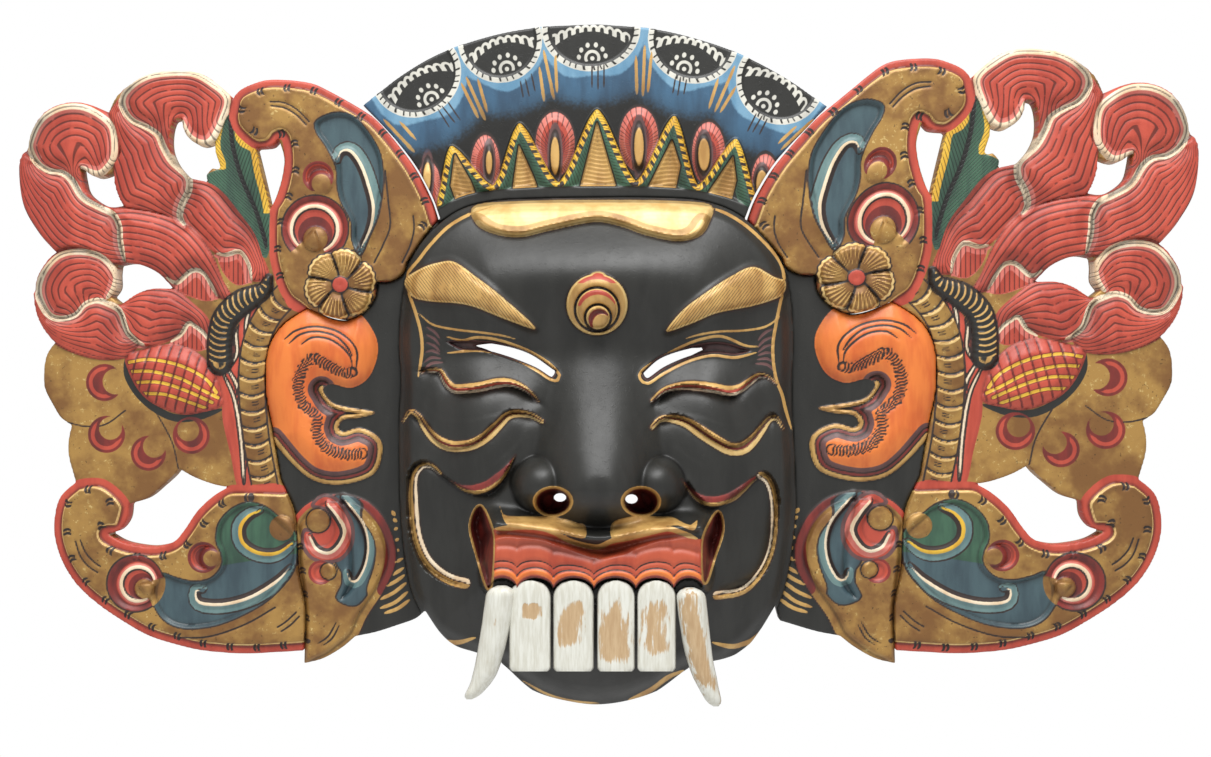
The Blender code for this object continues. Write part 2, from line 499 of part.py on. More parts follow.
def face_height(p):
    """Height over the wall of the face's front."""
    ring = closed_spline(FACE, CURVE_STEP)
    depth = depth_inside(ring, p, SWELL_REACH)
    height = FACE_RIM * (EDGE_SHARE + (1 - EDGE_SHARE) * smooth(depth / EDGE_RUN))
    height += FACE_SWELL * smooth(depth / SWELL_RUN)
    for *place, share in FACE_SWELLINGS:
        height += share * FACE_SWELL * bump(p, *place)
    for brow in BROWS:
        height += BROW_RISE * smooth((depth_inside(closed_spline(brow, CURVE_STEP), p) + 6) / 14)
    height += 1.3 * BROW_RISE * smooth(depth_inside(closed_spline(FOREHEAD_WAVE, CURVE_STEP), p) / 7)
    for fold in FOLDS:
        line = spline(fold, CURVE_STEP)
        near = distance(line, p, 30)
        below = beneath(line, p)
        height += FOLD_STEP * np.where(below, -np.exp(-near / 9), 0.35 * np.exp(-near / 9))
    for x, y, across, up in CHEEK_HOLLOWS:
        height -= 1.3 * FOLD_STEP * bump(p, x, y, across, up)
    height += NOSE_RISE * nose_height(p)
    for x, y, across, up in NOSE_WINGS:
        off = np.sqrt(((p[:, 0] - x) / across) ** 2 + ((p[:, 1] - y) / up) ** 2)
        swell = FACE_RIM + 0.6 * FACE_SWELL + NOSE_WING_SHARE * NOSE_RISE * np.sqrt(np.clip(1 - off**2, 0, 1))
        height = np.maximum(height, np.where(off < 1, swell, 0))
    lip = np.exp(-((distance(spline(LIP, CURVE_STEP), p) / LIP_RUN) ** 2))
    height += lip * np.maximum(FACE_RIM + FACE_SWELL + LIP_SHARE * GUM_RISE - height, 0)
    gum = smooth((depth_inside(closed_spline(GUM, CURVE_STEP), p) + 2) / 12)
    height = height * (1 - gum) + (FACE_RIM + FACE_SWELL + GUM_SHARE * GUM_RISE) * gum
    for x, y, across, up in NOSTRILS:
        off = np.sqrt(((p[:, 0] - x) / across) ** 2 + ((p[:, 1] - y) / up) ** 2)
        height -= NOSTRIL_SHARE * NOSE_RISE * smooth((1.15 - off) / 0.5)
    for corner in MOUTH_CORNERS:
        height -= 2.2 * FOLD_STEP * smooth((depth_inside(closed_spline(corner, CURVE_STEP), p) + 3) / 9)
    height += CHIN_RISE * FACE_SWELL * bump(p, *CHIN_SWELLING) * smooth(depth / 20)
    return height + 1.6 * BROW_RISE * ball(p, *JEWEL)


def beneath(line, p):
    """Which points lie on the lower side of a line that runs sideways, judged at its nearest stretch."""
    best = np.full(len(p), np.inf)
    side = np.zeros(len(p), bool)
    outward = line[0, 0] > line[-1, 0]
    for start, end in zip(line, line[1:]):
        along = end - start
        share = np.clip((p - start) @ along / max(along @ along, 1e-9), 0, 1)
        off = p - start - share[:, None] * along
        far = np.linalg.norm(off, axis=1)
        turn = along[0] * off[:, 1] - along[1] * off[:, 0]
        closer = far < best
        best = np.where(closer, far, best)
        side = np.where(closer, (turn < 0) if outward else (turn > 0), side)
    return side


def crown_height(p):
    """Height over the wall of the fan and its diadem."""
    height = np.full(len(p), CROWN_BOARD)
    for x, y in LOTUS_ARCHES:
        off = np.hypot(p[:, 0] - x, (p[:, 1] - y - ARCH_DROP) * ARCH_FLATNESS)
        height += PAINTED_RELIEF * smooth((ARCH_RADIUS - off) / 6)
    zigzag = np.asarray(DIADEM, float)
    fields = inside(np.vstack([zigzag, (DIADEM[-1][0], DIADEM_FIELD_Y), (DIADEM[0][0], DIADEM_FIELD_Y)]), p)
    height += 0.8 * PAINTED_RELIEF * fields
    height += 1.6 * PAINTED_RELIEF * np.exp(-((distance(zigzag, p) / 7) ** 2))
    band = smooth((9 - distance(spline(DIADEM_BAND, CURVE_STEP), p)) / 4)
    return height * (1 - band) + (CROWN_BOARD + 2 * PAINTED_RELIEF) * band


def ear_height(p):
    """Height over the wall of the left ear board, with its ear and inner leaf."""
    height = np.full(len(p), EAR_BOARD)
    depth = depth_inside(closed_spline(EAR, CURVE_STEP), p)
    ear = EAR_BOARD + 2.6 * PAINTED_RELIEF * np.sqrt(smooth((depth + 1) / 30))
    ear -= 0.5 * PAINTED_RELIEF * np.exp(-(((depth - 9) / 3) ** 2))
    ear -= PAINTED_RELIEF * smooth(depth_inside(closed_spline(EAR_BOWL, CURVE_STEP), p) / 6)
    ear += 0.7 * PAINTED_RELIEF * np.exp(-((distance(spline(EAR_LOBE, CURVE_STEP), p) / 16) ** 2))
    height = np.where(depth > 0, ear, height)
    depth, leaf = leaf_height(p, INNER_LEAF, (INNER_LEAF_INLAY,), (), EAR_BOARD + 0.4 * PAINTED_RELIEF)
    for x, y, radius in INNER_RINGS:
        leaf -= 0.8 * PAINTED_RELIEF * smooth((radius - np.hypot(p[:, 0] - x, p[:, 1] - y)) / 6)
        leaf += PAINTED_RELIEF * ball(p, x, y, 0.45 * radius)
    over = smooth((depth + 1.5) / 3)
    return height * (1 - over) + leaf * over


def right_shift(x, y):
    """How far down a point of the left half moves on its way to the right half."""
    outer = smooth((RIGHT_STRETCH_FROM_X - x) / RIGHT_STRETCH_RUN)
    upper = outer * (RIGHT_STRETCH * (y - FLOWER[1]) - RIGHT_LIFT)
    lower = -RIGHT_LIFT * (FOOT_Y - y) / (FOOT_Y - FLOWER[1])
    return upper + (lower - upper) * smooth((y - FLOWER[1]) / RIGHT_LOWER_RUN + 1)


def to_right(points):
    """Points of the left half's drawing, moved to where the wider right half has them."""
    p = np.asarray(points, float)
    out = FLOWER[0] - p[:, 0]
    x = RIGHT_FLOWER_X + out * np.where(out > 0, RIGHT_SPREAD_OUT, RIGHT_SPREAD_IN)
    return np.stack([x, p[:, 1] + right_shift(p[:, 0], p[:, 1])], axis=1)


def to_left(points):
    """The way back from to_right."""
    p = np.asarray(points, float)
    out = p[:, 0] - RIGHT_FLOWER_X
    x = FLOWER[0] - out / np.where(out > 0, RIGHT_SPREAD_OUT, RIGHT_SPREAD_IN)
    y = p[:, 1]
    for _ in range(6):
        y = p[:, 1] - right_shift(x, y)
    return np.stack([x, y], axis=1)


def centre_height(p):
    """Height over the wall of the middle block's front."""
    p = np.asarray(p, float)
    left = p[:, 0] < MIDDLE_X
    height = np.where(left, ear_height(p), ear_height(to_left(p)))
    crown = p[:, 1] < DIADEM_FOOT_Y
    height = np.where(crown, crown_height(p), height)
    depth = depth_inside(closed_spline(FACE, CURVE_STEP), p, 12)
    over = smooth((depth + 3) / 4)
    return height * (1 - over) + face_height(p) * over


def hollow_height(p):
    """How deep the back of the face is gouged out, at points of the drawing."""
    x, y, across, up = HOLLOW
    off = np.sqrt(((p[:, 0] - x) / across) ** 2 + ((p[:, 1] - y) / up) ** 2)
    return HOLLOW_DEPTH * smooth((1 - off) / HOLLOW_RUN)


def offset(line, gap):
    """The line moved sideways by gap, to its left when looking along it with y down."""
    along = np.gradient(line, axis=0)
    along /= np.linalg.norm(along, axis=1)[:, None]
    return line + np.stack([along[:, 1], -along[:, 0]], axis=1) * gap


def wing_loops():
    """The left wing's edge and its five holes."""
    seam = offset(chain(SEAM, OUTLINE_STEP), -0.5 * SEAM_GAP / UNIT)
    edge = np.vstack([chain(WING_TOP, OUTLINE_STEP)[:-1], seam, chain(WING_FOOT, OUTLINE_STEP)[1:-1]])
    return [edge, *(chain(hole, OUTLINE_STEP)[:-1] for hole in WING_HOLES)]


def centre_side():
    """The middle block's edge on the left, from the crown's end down to the jaw."""
    sliver = np.linspace(0.5 * SEAM_GAP, CROWN_SLIVER, 12) / UNIT
    end = spline(CROWN_END, OUTLINE_STEP)
    grown = np.interp(np.linspace(0, 1, len(end)), np.linspace(0, 1, len(sliver)), sliver)
    end = end + (offset(end, 1.0) - end) * grown[:, None]
    seam = offset(chain(SEAM, OUTLINE_STEP), 0.5 * SEAM_GAP / UNIT)[1:-1]
    return np.vstack([end, seam, chain((LEAF_FOOT, EAR_BOARD_FOOT), OUTLINE_STEP)[:-1]])


def centre_loops():
    """The middle block's edge, its eye slits and its nostrils."""
    left = centre_side()
    right = to_right(left)
    right = right[(right[:, 0] > JAW_RIGHT[0][0] + 3) | (right[:, 1] < EYE_AXIS_Y)]
    right = right[right[:, 1] > CROWN_RIM_RIGHT[-1][1] + 4]
    edge = np.vstack([
        spline(CROWN_RIM_RIGHT, OUTLINE_STEP), right,
        spline(JAW_RIGHT, OUTLINE_STEP)[:-1], spline(CHIN, OUTLINE_STEP)[::-1],
        spline(JAW_LEFT, OUTLINE_STEP)[::-1][1:], left[::-1],
        spline((left[0], *CROWN_RIM[1:]), OUTLINE_STEP)[1:-1],
    ])
    slits = [chain(slit, SLIT_STEP)[:-1] for slit in EYE_SLITS]
    nostrils = [ellipse(*hole, 10) for hole in NOSTRIL_HOLES]
    return [edge, *slits, *nostrils]


def within(loops, p):
    """Which points are on the material: inside the first loop and outside the others."""
    result = inside(loops[0], p)
    for hole in loops[1:]:
        result &= ~inside(hole, p)
    return result


def clear_of_edges(loops, p, least):
    """Which points keep at least this far from every loop."""
    keep = np.ones(len(p), bool)
    for loop in loops:
        keep &= distance(np.vstack([loop, loop[:1]]), p, least + 1) > least
    return keep


def triangulate(loops, extra):
    """Triangles that fill the loops through the extra points: (points, faces)."""
    points = [*np.vstack(loops), *extra]
    edges = []
    first = 0
    for loop in loops:
        count = len(loop)
        edges += [(first + i, first + (i + 1) % count) for i in range(count)]
        first += count
    made = delaunay_2d_cdt([Vector(p) for p in points], edges, [], 0, 1e-5, True)
    back = {}
    for new, olds in enumerate(made[3]):
        for old in olds:
            back[new] = min(old, back.get(new, old))
    faces = np.array([[back[i] for i in face] for face in made[2]])
    points = np.array(points)
    return points, faces[within(loops, points[faces].mean(1))]


def inset(ring, gap):
    """A closed ring moved inwards by gap, or outwards where gap is negative."""
    after = np.roll(ring, -1, axis=0)
    along = after - np.roll(ring, 1, axis=0)
    along /= np.linalg.norm(along, axis=1)[:, None]
    area = (ring[:, 0] * after[:, 1] - after[:, 0] * ring[:, 1]).sum()
    return ring + np.stack([-along[:, 1], along[:, 0]], axis=1) * gap * np.sign(area)


def spread(line, step):
    """Points at even distances along a line, about a step apart."""
    runs = np.r_[0, np.cumsum(np.linalg.norm(np.diff(line, axis=0), axis=1))]
    places = np.linspace(0, runs[-1], max(2, round(runs[-1] / step)))
    return np.stack([np.interp(places, runs, line[:, k]) for k in (0, 1)], axis=1)


def ring_rows(outline, gaps):
    """Rows of points along a closed outline, one for each distance inwards."""
    ring = closed_spline(outline, CURVE_STEP)
    return [spread(inset(ring, gap), ROW_STEP) for gap in gaps]


def line_rows(line, gap):
    """Rows of points on both sides of an open line."""
    line = spline(line, CURVE_STEP)
    return [spread(offset(line, side), ROW_STEP) for side in (gap, -gap)]


def thinned(loops, rows):
    """The rows' points that lie on the material, clear of its edge and of each other."""
    points = np.vstack(rows)
    points = points[within(loops, points)]
    points = points[clear_of_edges(loops, points, EDGE_CLEARANCE)]
    kept = points[:0]
    for point in points:
        if not len(kept) or np.min(np.sum((kept - point) ** 2, axis=1)) > POINT_CLEARANCE**2:
            kept = np.vstack([kept, point])
    return kept


def wing_rows():
    """Rows of points along the steps of a wing's carving."""
    rows = []
    for region in wing_regions():
        rows += ring_rows(region.outline, (-2, 2))
    for leaf in (UPPER_LEAF, LOWER_LEAF):
        rows += ring_rows(leaf, LEAF_BORDER)
    for inlay in (UPPER_INLAY, LOWER_INLAY):
        rows += ring_rows(inlay, (0, 6))
    for line in (HORN, CHAIN):
        rows += line_rows(line, 9)
    return rows


def centre_rows():
    """Rows of points along the steps of the middle block's carving."""
    rim = closed_spline(FACE, CURVE_STEP)
    rows = [spread(inset(rim, gap), RIM_ROW_STEP) for gap in (-3, 1.5)]
    rows += ring_rows(FACE, (EDGE_RUN,)) + ring_rows(GUM, (-3, 8)) + ring_rows(FOREHEAD_WAVE, (0, 7))
    for brow in BROWS:
        rows += ring_rows(brow, (-5, 6))
    for corner in MOUTH_CORNERS:
        rows += ring_rows(corner, (-2, 5))
    for fold in FOLDS:
        rows += line_rows(fold, 2.5)
    for x, y, across, up in NOSE_WINGS:
        rows += [ellipse(x, y, across, up, 16), ellipse(x, y, 0.8 * across, 0.8 * up, 12)]
    sides = ring_rows(EAR, (-1, 6)) + ring_rows(INNER_LEAF, LEAF_BORDER) + ring_rows(EAR_BOWL, (0, 5))
    rows += sides + [to_right(row) for row in sides]
    rows += line_rows(DIADEM, 6) + [np.asarray(DIADEM, float)] + line_rows(DIADEM_BAND, 7)
    return rows + [ellipse(*JEWEL[:2], share * JEWEL[2], share * JEWEL[2], 14) for share in (1, 0.8)]


def fitted(height, loops, rows, rounds, tolerance):
    """Points inside the loops at which a faceted surface follows the height best.

    It starts from rows of points along the steps. Each round lays the facets, finds where
    they miss the height by more than the tolerance, and adds the worst point of each block
    of the given size.
    """
    low, high = loops[0].min(0), loops[0].max(0)
    across, down = (np.arange(a, b, PROBE_STEP) for a, b in zip(low, high))
    probes = np.stack(np.meshgrid(across, down), axis=-1).reshape(-1, 2)
    probes = probes[within(loops, probes)]
    probes = probes[clear_of_edges(loops, probes, EDGE_CLEARANCE)]
    wanted = height(probes)
    chosen = thinned(loops, rows) if rows else np.zeros((0, 2))
    for block in rounds:
        points, faces = triangulate(loops, chosen)
        known = height(points)
        tree = BVHTree.FromPolygons([(*p, z) for p, z in zip(points, known)], faces.tolist())
        hits = (tree.ray_cast(Vector((*p, 1.0)), Vector((0, 0, -1)))[0] for p in probes)
        laid = np.array([z if hit is None else hit.z for hit, z in zip(hits, wanted)])
        miss = np.abs(laid - wanted) * spaced(probes, chosen)
        cell = np.floor(probes / block).astype(int) @ np.array([1, 4096])
        order = np.lexsort((-miss, cell))
        worst = order[np.r_[True, np.diff(cell[order]) != 0]]
        worst = worst[miss[worst] > tolerance]
        chosen = np.vstack([chosen, probes[worst]])
    return chosen


def spaced(probes, chosen):
    """False for each probe that is too near a chosen point."""
    if not len(chosen):
        return np.ones(len(probes), bool)
    cell = np.round(probes / PROBE_STEP).astype(int)
    taken = {tuple(c) for c in np.round(chosen / PROBE_STEP).astype(int)}
    return np.array([tuple(c) not in taken for c in cell])


def to_world(p, height):
    """Points of the drawing at these heights over the wall, as world coordinates."""
    nearer = (EYE_DISTANCE - np.maximum(height, WING_BOARD)) / (EYE_DISTANCE - WING_BOARD)
    x = MIDDLE_X + (p[:, 0] - MIDDLE_X) * nearer
    y = EYE_AXIS_Y + (p[:, 1] - EYE_AXIS_Y) * nearer
    return np.stack([(x - MIDDLE_X) * UNIT, -height, (MOUNT_Y - y) * UNIT], axis=1)


def relief_solid(name, loops, front, back, front_extra, back_extra, place):
    """A closed solid between a carved front and a back, with walls along its loops."""
    front_points, front_faces = triangulate(loops, front_extra)
    back_points, back_faces = triangulate(loops, back_extra)
    ahead = to_world(place(front_points), front(front_points))
    behind = to_world(place(back_points), back(back_points))
    count = len(ahead)
    walls = []
    first = 0
    for loop in loops:
        size = len(loop)
        for i in range(size):
            a, b = first + i, first + (i + 1) % size
            walls += [(a, b, b + count), (a, b + count, a + count)]
        first += size
    faces = [*front_faces.tolist(), *(back_faces[:, ::-1] + count).tolist(), *walls]
    mesh = bpy.data.meshes.new(name)
    mesh.from_pydata(np.vstack([ahead, behind]).tolist(), [], faces)
    return outward(name, mesh)


def outward(name, mesh):
    """The mesh as an object, its faces turned to point out."""
    work = bmesh.new()
    work.from_mesh(mesh)
    bmesh.ops.recalc_face_normals(work, faces=work.faces)
    work.to_mesh(mesh)
    work.free()
    mesh.update()
    piece = bpy.data.objects.new(name, mesh)
    bpy.context.collection.objects.link(piece)
    return piece


def paint(piece, name):
    """Gives a piece its own material."""
    material = bpy.data.materials.new(name)
    material.use_nodes = True
    shader = material.node_tree.nodes["Principled BSDF"]
    shader.inputs["Base Color"].default_value = COLOURS[name]
    shader.inputs["Roughness"].default_value = PAINT_ROUGHNESS
    piece.data.materials.clear()
    piece.data.materials.append(material)


def lofted(name, rings):
    """A closed solid through a row of rings with as many points each."""
    size = len(rings[0])
    verts = [tuple(p) for ring in rings for p in ring]
    faces = [tuple(range(size))[::-1]]
    for row in range(len(rings) - 1):
        for i in range(size):
            j = (i + 1) % size
            faces.append((row * size + i, row * size + j, (row + 1) * size + j, (row + 1) * size + i))
    faces.append(tuple(range((len(rings) - 1) * size, len(rings) * size)))
    mesh = bpy.data.meshes.new(name)
    mesh.from_pydata(verts, [], faces)
    return outward(name, mesh)


def root_height():
    """Height over the wall of the middle of the teeth and tusks, where the gum holds them."""
    return FACE_RIM + FACE_SWELL + ROOT_SHARE * GUM_RISE


def round_turn():
    """The angles of the points of one ring of a tooth or tusk."""
    return np.arange(ROUND_SIDES) * math.tau / ROUND_SIDES


def tusk(name, line, radii):
    """A curved tusk that stands out past the jaw, its root sunk in the gum."""
    path = spline(line, ROW_STEP)
    share = np.linspace(0, 1, len(path))
    wide = np.interp(share, np.linspace(0, 1, len(radii)), radii)
    turn = round_turn()
    rings = []
    for (x, y), radius, s in zip(path, wide, share):
        ring = np.stack([x + radius * np.cos(turn), np.full(ROUND_SIDES, y)], axis=1)
        height = root_height() + TUSK_RADIUS * np.sin(turn) * radius / max(radii) - TUSK_DROP * s
        rings.append(to_world(ring, height))
    return lofted(name, rings)


def squared(value, power):
    """A sine or cosine drawn out towards a square's, its sign kept."""
    return np.sign(value) * np.abs(value) ** power


def tooth(name, left, right):
    """One broad front tooth, rounded in front, its root sunk in the gum."""
    middle, half = (left + right) / 2, (right - left) / 2
    turn = round_turn()
    rings = []
    for share, narrow in TOOTH_PROFILE:
        y = TOOTH_TOP + share * (TOOTH_FOOT - TOOTH_TOP)
        x = squared(np.cos(turn), 0.6) * half * narrow
        out = squared(np.sin(turn), 0.7) * TOOTH_THICKNESS * 0.5 * (0.7 + 0.3 * narrow)
        ring = np.stack([middle + x, np.full(ROUND_SIDES, y)], axis=1)
        rings.append(to_world(ring, root_height() + out))
    return lofted(name, rings)


def join(piece, others):
    """Unites the others, which leave the render, with the piece."""
    held = bpy.data.collections.new(f"{piece.name}_joined")
    for other in others:
        held.objects.link(other)
        other.hide_render = True
        other.display_type = "WIRE"
    union = piece.modifiers.new("union", "BOOLEAN")
    union.operation = "UNION"
    union.solver = "EXACT"
    union.operand_type = "COLLECTION"
    union.collection = held


def build_wing(name, place):
    """One wing, from the left wing's drawing."""
    loops = wing_loops()
    extra = fitted(wing_height, loops, wing_rows(), BLOCKS, WING_MISS)
    wing = relief_solid(name, loops, wing_height, lambda p: np.zeros(len(p)), extra, (), place)
    paint(wing, name)


def build_centre():
    """Face, crown, ear boards and inner leaves, with the back of the face gouged out."""
    loops = centre_loops()
    front = fitted(centre_height, loops, centre_rows(), BLOCKS, FACE_MISS)
    back = fitted(hollow_height, loops, (), HOLLOW_BLOCKS, FACE_MISS)
    centre = relief_solid("centre", loops, centre_height, hollow_height, front, back, np.asarray)
    teeth = [tooth(f"tooth_{i}", *edges) for i, edges in enumerate(TOOTH_EDGES)]
    tusks = [tusk(f"tusk_{i}", *drawn) for i, drawn in enumerate(TUSKS)]
    join(centre, teeth + tusks)
    paint(centre, "centre")


def main():
    """Clears the scene and builds the three pieces."""
    for old in list(bpy.data.objects):
        bpy.data.objects.remove(old)
    build_centre()
    build_wing("wing_left", np.asarray)
    build_wing("wing_right", to_right)


main()
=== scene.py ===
"""Looks of a carved and painted guardian mask with two wings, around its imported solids.

Every outline is drawn on one front view, the drawing: x runs right, y runs down, and
DRAWING_SPAN units of it are the width of the whole carving. Each board is cut from a fine
sheet that is laid over the drawing. The sheet holds the carved height over the wall and, for
each pigment, how deep a point lies inside that pigment's strokes. The finishes read those
depths, so that a painted edge stays sharp however fine the mesh is.
"""

from __future__ import annotations

import logging
import math
from dataclasses import dataclass, field
from enum import Enum
from typing import Callable, Iterable, Sequence

import bpy
import numpy as np
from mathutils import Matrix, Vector
from mathutils.geometry import delaunay_2d_cdt

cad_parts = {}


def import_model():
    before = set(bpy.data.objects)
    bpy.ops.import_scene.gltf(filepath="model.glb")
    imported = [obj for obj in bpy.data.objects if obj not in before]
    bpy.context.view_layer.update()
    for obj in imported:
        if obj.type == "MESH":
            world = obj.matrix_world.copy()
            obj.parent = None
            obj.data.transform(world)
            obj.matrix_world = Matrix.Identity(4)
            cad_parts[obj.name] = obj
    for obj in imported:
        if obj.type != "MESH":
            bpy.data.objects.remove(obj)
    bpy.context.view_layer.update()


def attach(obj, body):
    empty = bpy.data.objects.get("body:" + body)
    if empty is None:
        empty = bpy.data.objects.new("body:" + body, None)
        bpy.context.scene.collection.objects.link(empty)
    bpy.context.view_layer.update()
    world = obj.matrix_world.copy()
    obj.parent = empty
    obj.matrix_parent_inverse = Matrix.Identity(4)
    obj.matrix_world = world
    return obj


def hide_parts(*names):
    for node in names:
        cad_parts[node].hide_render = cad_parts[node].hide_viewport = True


Array = np.ndarray
Points = Sequence[tuple[float, float]]
LOG = logging.getLogger("guardian_mask")

# The drawing's frame, as the solids have it
OVERALL_WIDTH = 1.0
DRAWING_SPAN = 1183
MIDDLE_X = 598
EYE_AXIS_Y = 378
MOUNT_Y = 120
EYE_DISTANCE = 1.30
UNIT = OVERALL_WIDTH / DRAWING_SPAN
FLOWER = (340, 284)
FOOT_Y = 663
RIGHT_FLOWER_X = 857
RIGHT_SPREAD_OUT = 1.065
RIGHT_SPREAD_IN = 1.12
RIGHT_LIFT = 7
RIGHT_STRETCH = 0.07
RIGHT_STRETCH_FROM_X = 390
RIGHT_STRETCH_RUN = 90
RIGHT_LOWER_RUN = 60

# Heights over the wall and carving depths, in metres
WING_BOARD = 0.020
CROWN_BOARD = 0.016
EAR_BOARD = 0.014
FACE_RIM = 0.038
FACE_SWELL = 0.034
NOSE_RISE = 0.052
BROW_RISE = 0.007
GUM_RISE = 0.030
FOLD_STEP = 0.009
TOOTH_THICKNESS = 0.012
TUSK_RADIUS = 0.0115
HOLLOW_DEPTH = 0.046
STEP = 0.0035
EDGE_ROUND = 0.0014
SEAM_GAP = 0.0006
CROWN_SLIVER = 0.0028

# How finely things are made, in units of the drawing
CURVE_STEP = 4.0
OUTLINE_STEP = 4.0
REACH = 40.0
FAR = 30.0


def spline(points: Points | Array, step: float = CURVE_STEP) -> Array:
    """Runs a smooth curve through some points.

    Args:
        points: the points that the curve passes.
        step: about how far apart its samples are.

    Returns:
        The samples, from the first point to the last.
    """
    given = np.asarray(points, float)
    knots = np.vstack([2 * given[0] - given[1], given, 2 * given[-1] - given[-2]])
    samples = []
    for before, start, end, after in zip(knots, knots[1:], knots[2:], knots[3:]):
        count = max(1, round(float(np.linalg.norm(end - start)) / step))
        t = (np.arange(count) / count)[:, None]
        samples.append(0.5 * (2 * start + (end - before) * t
                              + (2 * before - 5 * start + 4 * end - after) * t**2
                              + (3 * start - before - 3 * end + after) * t**3))
    return np.vstack([*samples, given[-1:]])


def closed_spline(points: Points, step: float = CURVE_STEP) -> Array:
    """Runs a smooth closed curve through some points.

    Args:
        points: the points of the ring, in order.
        step: about how far apart its samples are.

    Returns:
        The ring's samples, the first one not repeated.
    """
    given = np.asarray(points, float)
    count = len(given)
    samples = []
    for i in range(count):
        before, start, end, after = (given[(i + k) % count] for k in (-1, 0, 1, 2))
        pieces = max(1, round(float(np.linalg.norm(end - start)) / step))
        t = (np.arange(pieces) / pieces)[:, None]
        samples.append(0.5 * (2 * start + (end - before) * t
                              + (2 * before - 5 * start + 4 * end - after) * t**2
                              + (3 * start - before - 3 * end + after) * t**3))
    return np.vstack(samples)


def chain(arcs: Sequence[Points], step: float = OUTLINE_STEP) -> Array:
    """Joins arcs that meet at corners into one open line."""
    return np.vstack([spline(arc, step)[:-1] for arc in arcs] + [np.asarray(arcs[-1][-1:], float)])


def offset(line: Array, gap: float) -> Array:
    """Moves a line sideways by gap, to its left when looking along it with y down."""
    along = np.gradient(line, axis=0)
    along /= np.linalg.norm(along, axis=1)[:, None]
    return line + np.stack([along[:, 1], -along[:, 0]], axis=1) * gap


def ellipse(x: float, y: float, across: float, up: float, count: int = 40) -> Array:
    """A closed ring of points round an ellipse."""
    turn = np.arange(count) * math.tau / count
    return np.stack([x + across * np.cos(turn), y + up * np.sin(turn)], axis=1)


def smooth(x: Array) -> Array:
    """0 below 0, 1 above 1, and an easy curve between."""
    x = np.clip(x, 0, 1)
    return x * x * (3 - 2 * x)


def bell(x: Array) -> Array:
    """A smooth hump of height 1 at 0."""
    return np.exp(-(x**2))


def right_shift(x: Array, y: Array) -> Array:
    """How far down a point of the left half moves on its way to the right half."""
    outer = smooth((RIGHT_STRETCH_FROM_X - x) / RIGHT_STRETCH_RUN)
    upper = outer * (RIGHT_STRETCH * (y - FLOWER[1]) - RIGHT_LIFT)
    lower = -RIGHT_LIFT * (FOOT_Y - y) / (FOOT_Y - FLOWER[1])
    return upper + (lower - upper) * smooth((y - FLOWER[1]) / RIGHT_LOWER_RUN + 1)


def to_right(points: Points | Array) -> Array:
    """Moves points of the left half's drawing to where the wider right half has them."""
    p = np.asarray(points, float)
    out = FLOWER[0] - p[:, 0]
    x = RIGHT_FLOWER_X + out * np.where(out > 0, RIGHT_SPREAD_OUT, RIGHT_SPREAD_IN)
    return np.stack([x, p[:, 1] + right_shift(p[:, 0], p[:, 1])], axis=1)


def to_world(p: Array, height: Array) -> Array:
    """Places points of the drawing, at their heights over the wall, in the world.

    Args:
        p: points of the drawing.
        height: how far each stands out from the wall, in metres.

    Returns:
        World coordinates. What stands nearer the eye than the boards is drawn in towards
        the eye's axis, so that it keeps its place in the drawing.
    """
    nearer = (EYE_DISTANCE - np.maximum(height, WING_BOARD)) / (EYE_DISTANCE - WING_BOARD)
    x = (p[:, 0] - MIDDLE_X) * nearer
    y = EYE_AXIS_Y + (p[:, 1] - EYE_AXIS_Y) * nearer
    return np.stack([x * UNIT, -height, (MOUNT_Y - y) * UNIT], axis=1)


@dataclass(frozen=True)
class Trace:
    """What each point of a sheet knows of a line: distance, run along it, and side (below is +1)."""

    far: Array
    along: Array
    side: Array
    length: float

    @property
    def signed(self) -> Array:
        """The distance, positive below the line or to the right of its direction."""
        return self.far * self.side


